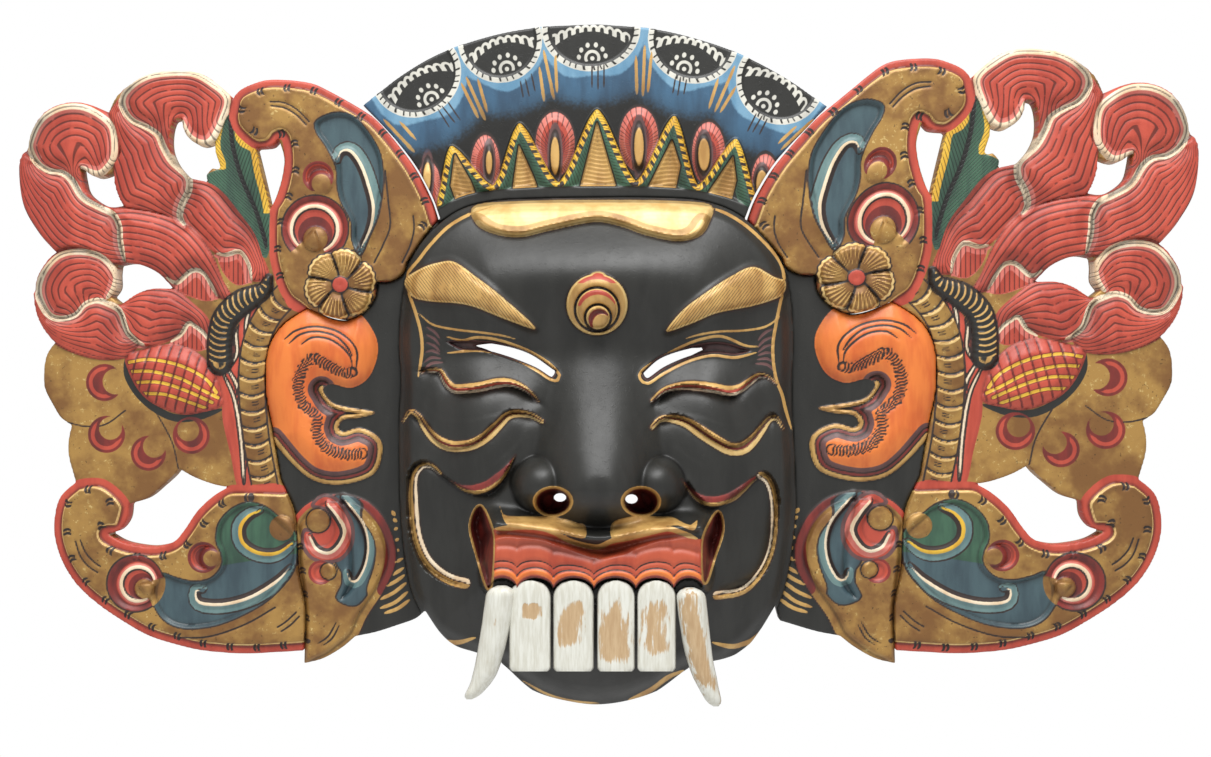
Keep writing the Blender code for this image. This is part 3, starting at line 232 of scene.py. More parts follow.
@dataclass
class Sheet:
    """A regular grid laid over the drawing, from the corner low to the corner high."""

    low: Iterable[float]
    high: Iterable[float]
    pitch: float
    xs: Array = field(init=False)
    ys: Array = field(init=False)
    x: Array = field(init=False)
    y: Array = field(init=False)

    def __post_init__(self) -> None:
        """Lays the grid."""
        (x0, y0), (x1, y1) = self.low, self.high
        self.xs = np.arange(x0 - 2 * self.pitch, x1 + 3 * self.pitch, self.pitch)
        self.ys = np.arange(y0 - 2 * self.pitch, y1 + 3 * self.pitch, self.pitch)
        self.x, self.y = np.meshgrid(self.xs, self.ys)

    def _window(self, low: Array, high: Array) -> tuple[slice, slice]:
        """The rows and columns that a box of the drawing covers."""
        rows = slice(*np.searchsorted(self.ys, (low[1], high[1])))
        return rows, slice(*np.searchsorted(self.xs, (low[0], high[0])))

    def trace(self, line: Array, reach: float = REACH) -> Trace:
        """Finds the nearest stretch of an open line for every grid point within reach."""
        far = np.full(self.x.shape, float(reach))
        along = np.zeros(self.x.shape)
        side = np.ones(self.x.shape)
        run = 0.0
        for start, end in zip(line, line[1:]):
            step = end - start
            length = float(np.hypot(*step))
            if length < 1e-6:
                continue
            window = self._window(np.minimum(start, end) - reach, np.maximum(start, end) + reach)
            qx, qy = self.x[window] - start[0], self.y[window] - start[1]
            share = np.clip((qx * step[0] + qy * step[1]) / length**2, 0, 1)
            dx, dy = qx - share * step[0], qy - share * step[1]
            found = np.hypot(dx, dy)
            closer = found < far[window]
            far[window][closer] = found[closer]
            along[window][closer] = (run + share * length)[closer]
            side[window][closer] = np.where(step[0] * dy - step[1] * dx >= 0, 1.0, -1.0)[closer]
            run += length
        return Trace(far, along, side, run)

    def inside(self, ring: Array) -> Array:
        """Tells which grid points lie inside a closed ring."""
        odd = np.zeros(self.x.shape, bool)
        for start, end in zip(ring, np.roll(ring, -1, axis=0)):
            if start[1] == end[1]:
                continue
            top, foot = sorted((start[1], end[1]))
            rows = slice(*np.searchsorted(self.ys, (top, foot)))
            level = self.ys[rows]
            crossing = start[0] + (level - start[1]) * (end[0] - start[0]) / (end[1] - start[1])
            odd[rows] ^= self.xs[None, :] < crossing[:, None]
        return odd

    def along(self, points: Points, reach: float = REACH) -> Trace:
        """Traces a smooth line through the given points."""
        return self.trace(spline(points), reach)

    def depth(self, ring: Array, reach: float = REACH) -> Array:
        """How deep each grid point lies inside a closed ring, negative outside it."""
        far = self.trace(np.vstack([ring, ring[:1]]), reach).far
        return np.where(self.inside(ring), far, -far)

    def board(self, loops: list[Array], reach: float = 12.0) -> Array:
        """How deep each grid point lies inside the first loop and outside the others."""
        rim = self.depth(loops[0], reach)
        for hole in loops[1:]:
            rim = np.minimum(rim, -self.depth(hole, reach))
        return rim

    def shape(self, outline: Points, reach: float = REACH) -> Array:
        """How deep each grid point lies inside a smooth closed outline."""
        return self.depth(closed_spline(outline), reach)

    def disc(self, x: float, y: float, radius: float) -> Array:
        """How deep each grid point lies inside a circle."""
        return radius - np.hypot(self.x - x, self.y - y)

    def stroke(self, points: Points, half: float, tail: float = 0.0) -> Array:
        """How deep each grid point lies inside a brush stroke.

        Args:
            points: the stroke's middle line.
            half: half its width at the middle.
            tail: how far from each end the brush is lifted, or 0 for blunt ends.

        Returns:
            The depth, negative outside the stroke.
        """
        seen = self.along(points, FAR)
        if tail:
            from_end = np.minimum(seen.along, seen.length - seen.along)
            half = half * np.sqrt(np.clip(from_end / tail, 0, 1)) + 0.0 * seen.far
        return half - seen.far

    def between(self, first: Points, second: Points) -> Array:
        """Shares the way from one line (0) to another (1)."""
        a = self.along(first, 120).far
        b = self.along(second, 120).far
        return a / np.maximum(a + b, 1e-6)

    def bump(self, x: float, y: float, across: float, up: float) -> Array:
        """A round swelling of height 1."""
        return np.exp(-(((self.x - x) / across) ** 2) - ((self.y - y) / up) ** 2)


class Pigment(Enum):
    """What a stroke is painted with."""

    GOLD = "gold"
    BLACK = "black"
    RED = "red"
    DEEP = "deep"
    PINK = "pink"
    CREAM = "cream"
    GREEN = "green"
    BLUE = "blue"
    PALE = "pale"
    YELLOW = "yellow"
    ORANGE = "orange"
    MAUVE = "mauve"
    TAN = "tan"
    GILT = "gilt"
    GUMS = "gums"
    WHITE = "white"
    SKY = "sky"
    GLOW = "glow"
    INK = "ink"


@dataclass
class Canvas:
    """Strokes laid on a sheet in order, each over what is there."""

    sheet: Sheet
    ground: Pigment
    fields: dict[Pigment, Array] = field(init=False)
    shade: Array = field(init=False)
    rib: Array = field(init=False)
    ribbed: Array = field(init=False)

    def __post_init__(self) -> None:
        """Covers the sheet with its ground colour."""
        shape = self.sheet.x.shape
        self.fields = {self.ground: np.full(shape, FAR)}
        self.shade, self.rib, self.ribbed = np.zeros(shape), np.zeros(shape), np.zeros(shape)

    def lay(self, pigment: Pigment, depth: Array, shade: Array | float = 0.0,
            rib: Array | None = None) -> None:
        """Lays one stroke or field over what is there.

        Args:
            pigment: its colour.
            depth: how deep each point lies inside it.
            shade: how much shadow is brushed over it, 0 to 1.
            rib: the rib that each point lies on, where it is combed into ribs.
        """
        for held in self.fields:
            self.fields[held] = np.minimum(self.fields[held], -depth)
        old = self.fields.get(pigment, np.full(depth.shape, -FAR))
        self.fields[pigment] = np.maximum(old, depth)
        cover = smooth(depth + 0.5)
        self.shade = self.shade * (1 - cover) + shade * cover
        self.ribbed = self.ribbed * (1 - cover) + cover * (rib is not None)
        if rib is not None:
            self.rib = np.where(depth > 0, rib, self.rib)

    def draw(self, pigment: Pigment, depth: Array) -> None:
        """Lays a thin stroke that leaves shadow and ribs as they are."""
        shade, rib, ribbed = self.shade, self.rib, self.ribbed
        self.lay(pigment, depth)
        self.shade, self.rib, self.ribbed = shade, rib, ribbed

    def marks(self) -> dict[str, Array]:
        """What the finishes read, by name."""
        found = {pigment.value: np.clip(held, -6, 6) for pigment, held in self.fields.items()}
        return found | {"shade": self.shade, "rib": self.rib, "ribbed": self.ribbed}


def blurred(values: Array, cells: int) -> Array:
    """Averages values over a square of 2 * cells + 1 grid points each way."""
    size = 2 * cells + 1
    for axis in (0, 1):
        padded = np.concatenate([np.repeat(np.take(values, [0], axis), cells + 1, axis), values,
                                 np.repeat(np.take(values, [-1], axis), cells, axis)], axis)
        total = np.cumsum(padded, axis)
        count = values.shape[axis]
        ahead = np.take(total, np.arange(size, size + count), axis)
        values = (ahead - np.take(total, np.arange(count), axis)) / size
    return values


@dataclass
class Board:
    """A carved board cut from a sheet along its outline and its holes."""

    name: str
    sheet: Sheet
    rim: Array
    body: str = "root"
    node: str = "centre"
    slot: str = "centre_paint"

    def rounded(self, height: Array, width: float = 2.4) -> Array:
        """Eases a front's height down over its outer edge."""
        share = 1 - np.clip(self.rim / width, 0, 1)
        return height - EDGE_ROUND * (1 - np.sqrt(1 - share**2))

    def _vertices(self) -> tuple[Array, Array, Array, Array, Array, Array]:
        """Finds the grid points on the board and the crossings of its edges with the grid."""
        rim, pitch = self.rim, self.sheet.pitch
        snap = 0.35 * pitch
        held = rim > -snap
        near = np.abs(rim) <= snap
        down, across = np.gradient(rim, pitch)
        steep = np.maximum(down**2 + across**2, 0.2)
        x = self.sheet.x - np.where(near, rim * across / steep, 0)
        y = self.sheet.y - np.where(near, rim * down / steep, 0)
        index = np.where(held, np.cumsum(held).reshape(held.shape) - 1, -1)
        return held, near, x, y, index, rim

    def cut(self, values: dict[str, Array]) -> tuple[Array, dict[str, Array], list[list[int]]]:
        """Cuts the sheet along the outline.

        Args:
            values: fields of the sheet, by name.

        Returns:
            The points, each field's values there, and the faces in the sheet's own turn.
        """
        held, near, x, y, index, rim = self._vertices()
        count = int(held.sum())
        points = [np.stack([x[held], y[held]], axis=1)]
        carried = {name: [grid[held]] for name, grid in values.items()}
        crossings = []
        for here, there in (((slice(None), slice(None, -1)), (slice(None), slice(1, None))),
                            ((slice(None, -1), slice(None)), (slice(1, None), slice(None)))):
            differ = held[here] != held[there]
            cut = differ & ~np.where(held[here], near[here], near[there])
            share = (rim[here] / np.where(differ, rim[here] - rim[there], 1))[cut]
            ends = [(grid[here][cut], grid[there][cut]) for grid in (self.sheet.x, self.sheet.y)]
            points.append(np.stack([a + (b - a) * share for a, b in ends], axis=1))
            for name, grid in values.items():
                a, b = grid[here][cut], grid[there][cut]
                carried[name].append(a + (b - a) * share)
            crossings.append(np.where(cut, count + np.cumsum(cut).reshape(cut.shape) - 1, -1))
            count += int(cut.sum())
        faces = self._faces(held, index, *crossings)
        return np.vstack(points), {name: np.concatenate(parts) for name, parts in carried.items()}, faces

    @staticmethod
    def _faces(held: Array, index: Array, level: Array, upright: Array) -> list[list[int]]:
        """Makes a face of every cell, or part of a cell, on the board."""
        corners = [index[:-1, :-1], index[:-1, 1:], index[1:, 1:], index[1:, :-1]]
        kept = [held[:-1, :-1], held[:-1, 1:], held[1:, 1:], held[1:, :-1]]
        whole = kept[0] & kept[1] & kept[2] & kept[3]
        faces = np.stack([corner[whole] for corner in corners], axis=1).tolist()
        partly = (kept[0] | kept[1] | kept[2] | kept[3]) & ~whole
        sides = [level[:-1], upright[:, 1:], level[1:], upright[:, :-1]]
        for row, column in zip(*np.nonzero(partly)):
            face = []
            for k in range(4):
                on, following = kept[k][row, column], kept[(k + 1) % 4][row, column]
                if on:
                    face.append(int(corners[k][row, column]))
                if on != following and sides[k][row, column] >= 0:
                    face.append(int(sides[k][row, column]))
            if len(face) > 2:
                faces.append(face)
        return faces

    def build(self, height: Array, marks: dict[str, Array], place: Callable[[Array], Array] = np.asarray,
              mirrored: bool = False, back: Callable[[Array], Array] | None = None,
              fill: float = 0.0) -> bpy.types.Object:
        """Makes the closed mesh.

        Args:
            height: the front's height over the wall.
            marks: what the finish reads, by name.
            place: moves points of the sheet to their place in the drawing.
            mirrored: whether place turns the sheet over.
            back: the back's height over the wall, or None where it is flat on it.
            fill: the spacing of points over a hollowed back.

        Returns:
            The new object, riding on its body.
        """
        smoothed = blurred(height, 2)
        # How far each point lies below its blurred surroundings, in mm: the finish darkens the paint there as
        # painted shade in the hollows.
        hollow_shade = (smoothed - height) * 1000
        values = {"height": self.rounded(height), "hollow_shade": hollow_shade, "rim": self.rim, **marks}
        points, carried, faces = self.cut(values)
        if not mirrored:
            faces = [face[::-1] for face in faces]
        front = carried.pop("height")
        edge = border(faces, len(points))
        corners = np.unique(edge)
        renumbered = {int(old): new for new, old in enumerate(corners)}
        loop = np.array([[renumbered[a], renumbered[b]] for a, b in edge.tolist()])
        rear_points, rear_faces = filled(points[corners], loop, fill)
        rear_height = back(rear_points) if back else np.zeros(len(rear_points))
        count = len(points)
        turn = 1 if mirrored else -1
        rear = [[count + i for i in face[::-turn]] for face in rear_faces]
        walls = [[b, a, count + renumbered[a], count + renumbered[b]] for a, b in edge.tolist()]
        world = np.vstack([to_world(place(points), front), to_world(place(rear_points), rear_height)])
        mesh = bpy.data.meshes.new(self.name)
        mesh.from_pydata(world.tolist(), [], faces + walls + rear)
        mesh.validate()
        extra = len(rear_points) - len(corners)
        for name, held in carried.items():
            store(mesh, name, np.concatenate([held, held[corners], np.zeros(extra)]))
        store(mesh, "rear", np.concatenate([np.zeros(count), np.ones(len(rear_points))]))
        mesh.shade_smooth()
        mesh.set_sharp_from_angle(angle=math.radians(52))
        return shown(self.name, mesh, self.body, self.node, self.slot)


def store(mesh: bpy.types.Mesh, name: str, values: Array) -> None:
    """Keeps one number for every point of a mesh."""
    held = mesh.attributes.new(name, "FLOAT", "POINT")
    held.data.foreach_set("value", np.asarray(values, np.float32))


def shown(name: str, mesh: bpy.types.Mesh, body: str, node: str, slot: str) -> bpy.types.Object:
    """Puts a mesh in the scene in place of a solid.

    Args:
        name: the piece's name.
        mesh: its mesh.
        body: the body that it rides on.
        node: the solid that it stands for.
        slot: the record's material slot, not used.

    Returns:
        The new object.
    """
    piece = bpy.data.objects.new(name, mesh)
    bpy.context.collection.objects.link(piece)
    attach(piece, body)
    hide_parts(node)
    return piece


def border(faces: list[list[int]], count: int) -> Array:
    """Finds the edges that only one face has, in that face's turn."""
    heads = np.concatenate([face for face in faces])
    tails = np.concatenate([face[1:] + face[:1] for face in faces])
    keys = heads.astype(np.int64) * count + tails
    back = tails.astype(np.int64) * count + heads
    alone = ~np.isin(keys, back)
    return np.stack([heads[alone], tails[alone]], axis=1)


def filled(points: Array, edges: Array, spacing: float) -> tuple[Array, list[list[int]]]:
    """Fills the loops that some edges make with triangles.

    Args:
        points: the loops' points.
        edges: pairs of their indices.
        spacing: how far apart points are set inside the loops, or 0 for none.

    Returns:
        The points, with those inside after the given ones, and the triangles.
    """
    given = len(points)
    if spacing:
        xs, ys = (np.arange(a, b, spacing) for a, b in zip(points.min(0), points.max(0)))
        extra = np.stack(np.meshgrid(xs, ys), axis=-1).reshape(-1, 2)
        extra = extra[enclosed(points, edges, extra)]
        gaps = np.array([np.min(np.abs(points - p).sum(1)) for p in extra])
        points = np.vstack([points, extra[gaps > 0.5 * spacing]])
    made = delaunay_2d_cdt([Vector(p) for p in points], edges.tolist(), [], 0, 1e-6, True)
    back = {}
    for new, olds in enumerate(made[3]):
        for old in olds:
            back[new] = min(old, back.get(new, old))
    faces = np.array([[back.get(i, -1) for i in face] for face in made[2]])
    faces = faces[(faces >= 0).all(1)]
    p = points[faces]
    faces = faces[enclosed(points[:given], edges, p.mean(1))]
    p = points[faces]
    area = np.cross(p[:, 1] - p[:, 0], p[:, 2] - p[:, 0])
    faces[area < 0] = faces[area < 0][:, ::-1]
    return points, faces.tolist()


def enclosed(points: Array, edges: Array, tested: Array) -> Array:
    """Tells which tested points the loops made by some edges enclose."""
    odd = np.zeros(len(tested), bool)
    order = np.argsort(tested[:, 1])
    levels = tested[order, 1]
    xs = tested[order, 0]
    result = odd[order]
    for a, b in edges:
        start, end = points[a], points[b]
        if start[1] == end[1]:
            continue
        top, foot = sorted((start[1], end[1]))
        rows = slice(*np.searchsorted(levels, (top, foot)))
        crossing = start[0] + (levels[rows] - start[1]) * (end[0] - start[0]) / (end[1] - start[1])
        result[rows] ^= xs[rows] < crossing
    odd[order] = result
    return odd


# The wing's edge, as arcs that meet at corners: petal 1, petal 2, the upper leaf's top
WING_TOP = (
    ((55, 251), (38, 231), (23, 203), (19, 164), (26, 147)),
    ((26, 147), (29, 132), (38, 116), (54, 105), (73, 101), (90, 104), (107, 111)),
    ((107, 111), (115, 95), (130, 82), (149, 73), (168, 70), (187, 70), (207, 76), (232, 97)),
    ((232, 97), (237, 90), (250, 83), (271, 78), (307, 81), (329, 90), (364, 110), (379, 122),
     (396, 142), (414, 167), (429, 196), (437, 219)),
)
# The joint with the middle block, from the face's corner down to the foot
SEAM = (
    ((437, 219), (423, 237), (406, 262)),
    ((406, 262), (404, 270), (399, 276), (388, 281), (376, 281)),
    ((376, 281), (374, 297), (362, 312), (346, 319), (327, 316), (306, 307)),
    ((306, 307), (280, 325), (266, 350), (264, 390), (272, 437)),
    ((272, 437), (279, 479)),
    ((279, 479), (294, 516), (297, 569), (304, 608), (303, 651)),
)
WING_FOOT = (
    ((303, 651), (269, 653), (240, 654), (202, 651), (175, 645), (147, 636), (122, 622), (97, 605),
     (76, 586), (61, 563), (53, 538), (53, 515), (59, 496), (74, 482)),
    ((74, 482), (67, 456), (67, 438), (70, 425)),
    ((70, 425), (59, 417), (52, 406), (43, 388), (42, 371), (45, 354), (53, 342)),
    ((53, 342), (42, 327), (36, 312), (33, 293), (36, 275), (46, 259), (55, 251)),
)
WING_HOLES = (
    (((78, 165), (80, 178), (84, 191), (96, 201), (109, 206), (122, 205)),
     ((122, 205), (115, 188), (112, 170)),
     ((112, 170), (103, 174), (92, 175), (78, 165))),
    (((180, 117), (172, 118), (168, 130), (168, 147), (174, 162), (184, 174), (189, 177), (207, 181)),
     ((207, 181), (205, 174), (211, 167)),
     ((211, 167), (219, 167), (214, 150), (214, 140)),
     ((214, 140), (201, 144), (190, 139), (183, 130), (180, 117))),
    (((109, 296), (115, 287), (115, 274), (116, 264)),
     ((116, 264), (130, 262), (145, 266), (159, 274), (172, 288)),
     ((172, 288), (151, 288), (138, 292), (126, 299), (119, 303), (109, 296))),
    (((254, 146), (271, 144), (277, 136)),
     ((277, 136), (283, 156), (281, 176), (275, 196), (269, 208)),
     ((269, 208), (261, 174), (254, 146))),
    (((127, 504), (145, 498), (160, 486), (172, 475), (177, 468)),
     ((177, 468), (193, 477), (212, 484), (227, 487)),
     ((227, 487), (212, 496), (196, 511), (183, 530), (172, 542), (154, 547), (137, 546), (120, 542),
      (106, 534)),
     ((106, 534), (117, 530), (125, 519), (127, 504))),
)

# Red scrolls of the wing
PETAL_1_BODY = ((26, 147), (36, 162), (48, 170), (61, 172), (71, 180), (82, 197), (99, 207), (113, 214),
                (119, 226), (120, 241), (124, 262), (107, 262), (55, 255), (30, 240), (10, 200), (12, 160))
PETAL_1_CURL = ((78, 165), (92, 176), (105, 170), (118, 157), (119, 143), (108, 112), (84, 96), (54, 98),
                (34, 110), (22, 145), (36, 162), (48, 170), (61, 172), (71, 180), (82, 197), (99, 207),
                (113, 214), (109, 206), (96, 201), (84, 191), (80, 178))
PETAL_2_BODY = ((108, 111), (121, 95), (124, 111), (132, 120), (145, 126), (157, 134), (163, 147),
                (172, 162), (187, 176), (188, 189), (181, 204), (179, 216), (180, 224), (163, 214),
                (134, 208), (122, 205), (113, 185), (113, 160), (117, 140), (106, 122))
PETAL_2_CURL = ((180, 117), (183, 130), (201, 146), (214, 141), (224, 120), (234, 96), (207, 70),
                (164, 64), (130, 78), (118, 99), (124, 111), (132, 120), (145, 126), (157, 134), (163, 147),
                (172, 162), (187, 176), (174, 162), (168, 147), (168, 128), (172, 118))
PETAL_3_BODY = ((34, 289), (41, 304), (50, 316), (63, 318), (75, 314), (84, 304), (96, 300), (107, 303),
                (119, 310), (124, 323), (128, 333), (138, 342), (124, 357), (92, 358), (55, 344), (28, 315))
PETAL_3_CURL = ((105, 299), (114, 290), (117, 272), (107, 258), (84, 247), (63, 247), (44, 258),
                (33, 274), (34, 290), (41, 304), (50, 316), (63, 318), (75, 314), (84, 304), (96, 300))
RIBBON_1 = ((113, 214), (109, 206), (134, 208), (163, 214), (184, 224), (199, 237), (212, 256), (222, 280),
            (230, 296), (216, 296), (203, 273), (191, 270), (176, 282), (172, 288), (159, 274), (145, 266),
            (126, 262), (120, 241), (119, 226))
RIBBON_2 = ((188, 177), (207, 181), (222, 191), (239, 212), (254, 233), (262, 256), (268, 276), (251, 280),
            (248, 264), (239, 251), (226, 254), (216, 253), (199, 238), (184, 224), (179, 214), (186, 196))
RIBBON_3 = ((107, 301), (119, 304), (134, 292), (151, 287), (172, 288), (191, 302), (208, 320), (212, 345),
            (203, 333), (193, 325), (187, 323), (180, 334), (163, 342), (143, 345), (128, 333), (124, 323),
            (119, 310))
SPIRAL_1 = ((80, 166), (96, 173), (106, 167), (113, 156), (114, 143), (111, 126), (100, 115), (84, 107),
            (67, 106), (52, 111), (38, 122), (31, 136), (29, 148), (36, 162), (48, 170), (61, 172),
            (71, 180),
            (82, 197), (99, 207), (113, 214), (119, 226), (120, 241), (124, 260))
SPIRAL_2 = ((182, 120), (188, 135), (201, 142), (211, 139), (221, 120), (227, 98), (210, 82), (191, 73),
            (164, 73), (145, 77), (127, 88), (121, 99), (124, 111), (132, 120), (145, 126), (157, 134),
            (163, 147), (172, 162), (187, 176), (188, 189), (181, 204), (179, 216), (184, 224))
SPIRAL_3 = ((106, 297), (113, 287), (115, 275), (109, 264), (98, 255), (80, 251), (63, 253), (52, 260),
            (41, 274), (37, 289), (41, 304), (50, 316), (63, 318), (75, 314), (84, 304), (96, 300),
            (107, 303), (119, 310), (124, 323), (128, 333), (138, 342), (143, 344))
FOLD_NOTCHES = (
    ((166, 277), (176, 282), (191, 270), (203, 273), (216, 295)),
    ((216, 253), (226, 254), (239, 251), (248, 264), (251, 279)),
    ((170, 341), (180, 334), (187, 323), (193, 325), (203, 333), (210, 344)),
)
# Gold, green, netted and black parts of the wing
GREEN_LEAF = ((229, 96), (220, 114), (214, 135), (214, 149), (219, 166), (205, 174), (207, 181), (222, 191),
              (239, 212), (254, 233), (262, 256), (268, 250), (268, 208), (259, 171), (254, 147), (240, 136))
GREEN_VEIN = ((229, 118), (232, 146), (241, 178), (255, 210), (266, 246))
CLOUD_EDGES = (
    ((124, 410), (104, 424), (84, 426), (66, 422)),
    ((150, 404), (170, 440), (177, 468)),
)
POD = ((124, 357), (138, 350), (164, 344), (184, 346), (201, 356), (212, 371), (219, 388), (221, 405),
       (203, 411), (184, 414), (164, 409), (145, 398), (132, 381))
STEM = ((265, 273), (270, 300), (262, 318), (254, 345), (249, 368), (247, 400), (247, 440), (250, 486),
        (237, 486), (230, 455), (222, 420), (221, 395), (212, 368), (228, 358), (234, 330), (252, 304))
HORN_RADIUS = 12
HORN = ((268, 277), (262, 290), (240, 302), (224, 318), (219, 340), (219, 362))
CHAIN_HALF_WIDTH = 13
CHAIN = ((288, 292), (270, 311), (258, 333), (252, 360), (251, 390), (253, 420), (257, 450), (264, 486))
UPPER_LEAF = ((228, 108), (234, 90), (250, 79), (290, 72), (335, 84), (370, 108), (402, 142), (425, 178),
              (445, 219), (412, 266), (399, 280), (376, 284), (370, 320), (300, 312), (282, 296), (270, 262),
              (268, 230), (270, 206), (276, 196), (282, 176), (284, 156), (280, 137), (271, 146), (254, 148),
              (236, 134), (229, 119))
LOWER_LEAF = ((306, 656), (240, 660), (175, 650), (122, 628), (76, 592), (52, 563), (46, 538), (47, 515),
              (58, 494), (74, 481), (90, 478), (104, 480), (118, 490), (128, 503), (127, 517), (120, 532),
              (106, 534), (120, 542), (137, 546), (154, 547), (172, 542), (183, 530), (196, 511),
              (212, 496), (227, 486), (250, 485), (282, 486), (298, 516), (300, 569), (308, 608))
UPPER_INLAY = ((316, 120), (334, 112), (352, 115), (367, 130), (380, 153), (383, 181), (379, 212),
               (370, 235),
               (360, 255), (352, 240), (351, 221), (341, 201), (337, 185), (336, 167), (326, 146),
               (316, 131))
LOWER_INLAY = ((246, 502), (263, 505), (277, 515), (296, 534), (296, 559), (291, 575), (269, 599),
               (240, 616),
               (212, 626), (183, 628), (164, 620), (153, 603), (152, 586), (162, 573), (175, 577),
               (193, 581),
               (210, 578), (221, 566), (221, 553), (216, 541), (218, 524), (229, 510))
LOWER_SCROLLS = (
    ((202, 590), (195, 591), (196, 600), (204, 604), (225, 604), (250, 597), (275, 582), (290, 567)),
    ((260, 510), (248, 516), (240, 527), (242, 542), (256, 552), (275, 553), (292, 543)),
)
# Round relief: x, y, radius
FLOWER_RADIUS = 36
FLOWER_PETALS = 6

# The middle block's edge, left half: the fan of the crown, its end beside the wing's leaf
CROWN_RIM = ((362, 104), (400, 74), (440, 51), (490, 34), (540, 25), (598, 22))
CROWN_RIM_RIGHT = ((598, 22), (655, 27), (705, 39), (745, 54), (788, 77), (828, 105))
CROWN_END = ((362, 104), (379, 122), (396, 142), (414, 167), (429, 196), (437, 219))
LEAF_FOOT = ((303, 664), (322, 659), (341, 648), (354, 637))
EAR_BOARD_FOOT = ((354, 637), (374, 633), (396, 626), (415, 619), (425, 610))
JAW_LEFT = ((425, 610), (440, 632), (455, 645), (476, 652), (500, 660))
JAW_RIGHT = ((776, 604), (760, 630), (745, 648), (725, 658), (692, 664))
CHIN = ((500, 660), (513, 678), (540, 693), (570, 701), (598, 704), (628, 700), (658, 690), (680, 676),
        (692, 664))
FACE = ((598, 197), (540, 198), (490, 201), (455, 212), (425, 238), (408, 268), (402, 300), (399, 340),
        (401, 380), (399, 430), (401, 520), (410, 585), (425, 618), (440, 637), (476, 655), (500, 662),
        (540, 694), (598, 706), (650, 694), (692, 666), (725, 660), (760, 633), (784, 590), (795, 520),
        (795, 470), (792, 400), (793, 340), (791, 300), (784, 268), (765, 238), (737, 213), (700, 200),
        (650, 197))
EYE_SLITS = (
    (((446, 341), (470, 340), (500, 343), (530, 352), (557, 370)),
     ((557, 370), (552, 378), (535, 368), (510, 358), (485, 351), (462, 349), (446, 341))),
    (((641, 372), (660, 356), (690, 346), (720, 342), (752, 350)),
     ((752, 350), (735, 354), (712, 352), (688, 358), (665, 368), (647, 380), (641, 372))),
)

# Face relief. The swellings are x, y, half width, half height and rise as a share of FACE_SWELL
FACE_SWELLINGS = ((598, 262, 130, 46, 0.42), (470, 430, 46, 60, 0.22), (728, 430, 46, 60, 0.22),
                  (505, 352, 58, 22, -0.34), (694, 352, 58, 22, -0.34))
CHIN_SWELLING = (598, 668, 86, 30)
CHIN_RISE = 0.4
EDGE_SHARE = 0.72
EDGE_RUN = 14
SWELL_RUN = 120
FOREHEAD_WAVE = ((474, 205), (520, 200), (600, 199), (680, 200), (712, 205), (710, 222), (700, 236),
                 (678, 241),
                 (646, 235), (620, 226), (594, 222), (552, 230), (521, 237), (495, 234), (476, 224))
BROWS = (
    ((404, 280), (420, 268), (437, 262), (454, 261), (476, 276), (502, 296), (536, 328), (508, 320),
     (468, 305), (429, 301), (412, 296)),
    ((666, 331), (682, 310), (704, 293), (730, 276), (753, 266), (774, 276), (786, 281), (782, 295),
     (756, 305), (717, 313), (690, 324)),
)
# Lower edge of each fold of skin, drawn from the nose outwards
FOLDS = (
    ((545, 405), (529, 392), (513, 385), (495, 384), (468, 390), (450, 388), (438, 370), (412, 368)),
    ((545, 423), (529, 413), (510, 411), (495, 423), (474, 441), (453, 447), (437, 439), (424, 421),
     (404, 412)),
    ((515, 455), (500, 483), (484, 493), (466, 490), (449, 480), (438, 470), (424, 460), (410, 470),
     (408, 500),
     (412, 540), (424, 566), (444, 581), (466, 588)),
    ((648, 407), (665, 392), (686, 385), (709, 388), (733, 395), (743, 388), (756, 375), (776, 376)),
    ((650, 426), (672, 415), (691, 421), (712, 436), (733, 444), (751, 436), (772, 413), (786, 428)),
    ((681, 472), (699, 498), (717, 506), (740, 491), (756, 477), (767, 472), (778, 493), (776, 525),
     (769, 561),
     (752, 583), (712, 599)),
)
NOSE_MIDDLE_X = 599
NOSE_ROWS = (300, 350, 400, 450, 500)
NOSE_HALF_WIDTHS = (18, 24, 36, 44, 42)
NOSE_TOP_Y = 322
NOSE_TIP_Y = 506
NOSE_FOOT_Y = 528
NOSE_WING_SHARE = 0.75
NOSE_WINGS = ((541, 484, 30, 30), (657, 484, 30, 30))
NOSTRILS = ((553, 501, 17, 13), (641, 501, 17, 13))
NOSTRIL_SHARE = 0.55
LIP_RUN = 11
LIP_SHARE = 0.95
LIP = ((497, 524), (536, 528), (570, 534), (599, 538), (630, 534), (664, 529), (700, 528))
GUM_SHARE = 0.8
GUM = ((488, 534), (536, 531), (583, 545), (599, 549), (620, 545), (664, 532), (706, 534), (708, 592),
       (650, 600), (598, 602), (540, 600), (484, 592))
MOUTH_CORNERS = (
    ((480, 506), (491, 528), (493, 550), (489, 588), (478, 556), (471, 525)),
    ((718, 512), (706, 532), (703, 550), (705, 582), (714, 556), (722, 530)),
)
CHEEK_HOLLOWS = ((452, 528, 34, 50), (745, 530, 34, 52))
JEWEL = (597, 304, 31)
HOLLOW = (597, 430, 172, 200)
HOLLOW_RUN = 0.45
TOOTH_EDGES = ((509, 551), (553, 594), (597, 635), (637, 676))
TOOTH_TOP = 580
TOOTH_FOOT = 671
ROOT_SHARE = 0.62
TUSK_DROP = 0.004
TUSKS = (
    (((502, 585), (497, 620), (490, 655), (482, 680), (469, 699)), (15, 15, 14, 12, 7)),
    (((690, 587), (694, 622), (699, 655), (706, 680), (716, 706)), (15, 15, 14, 12, 7)),
)

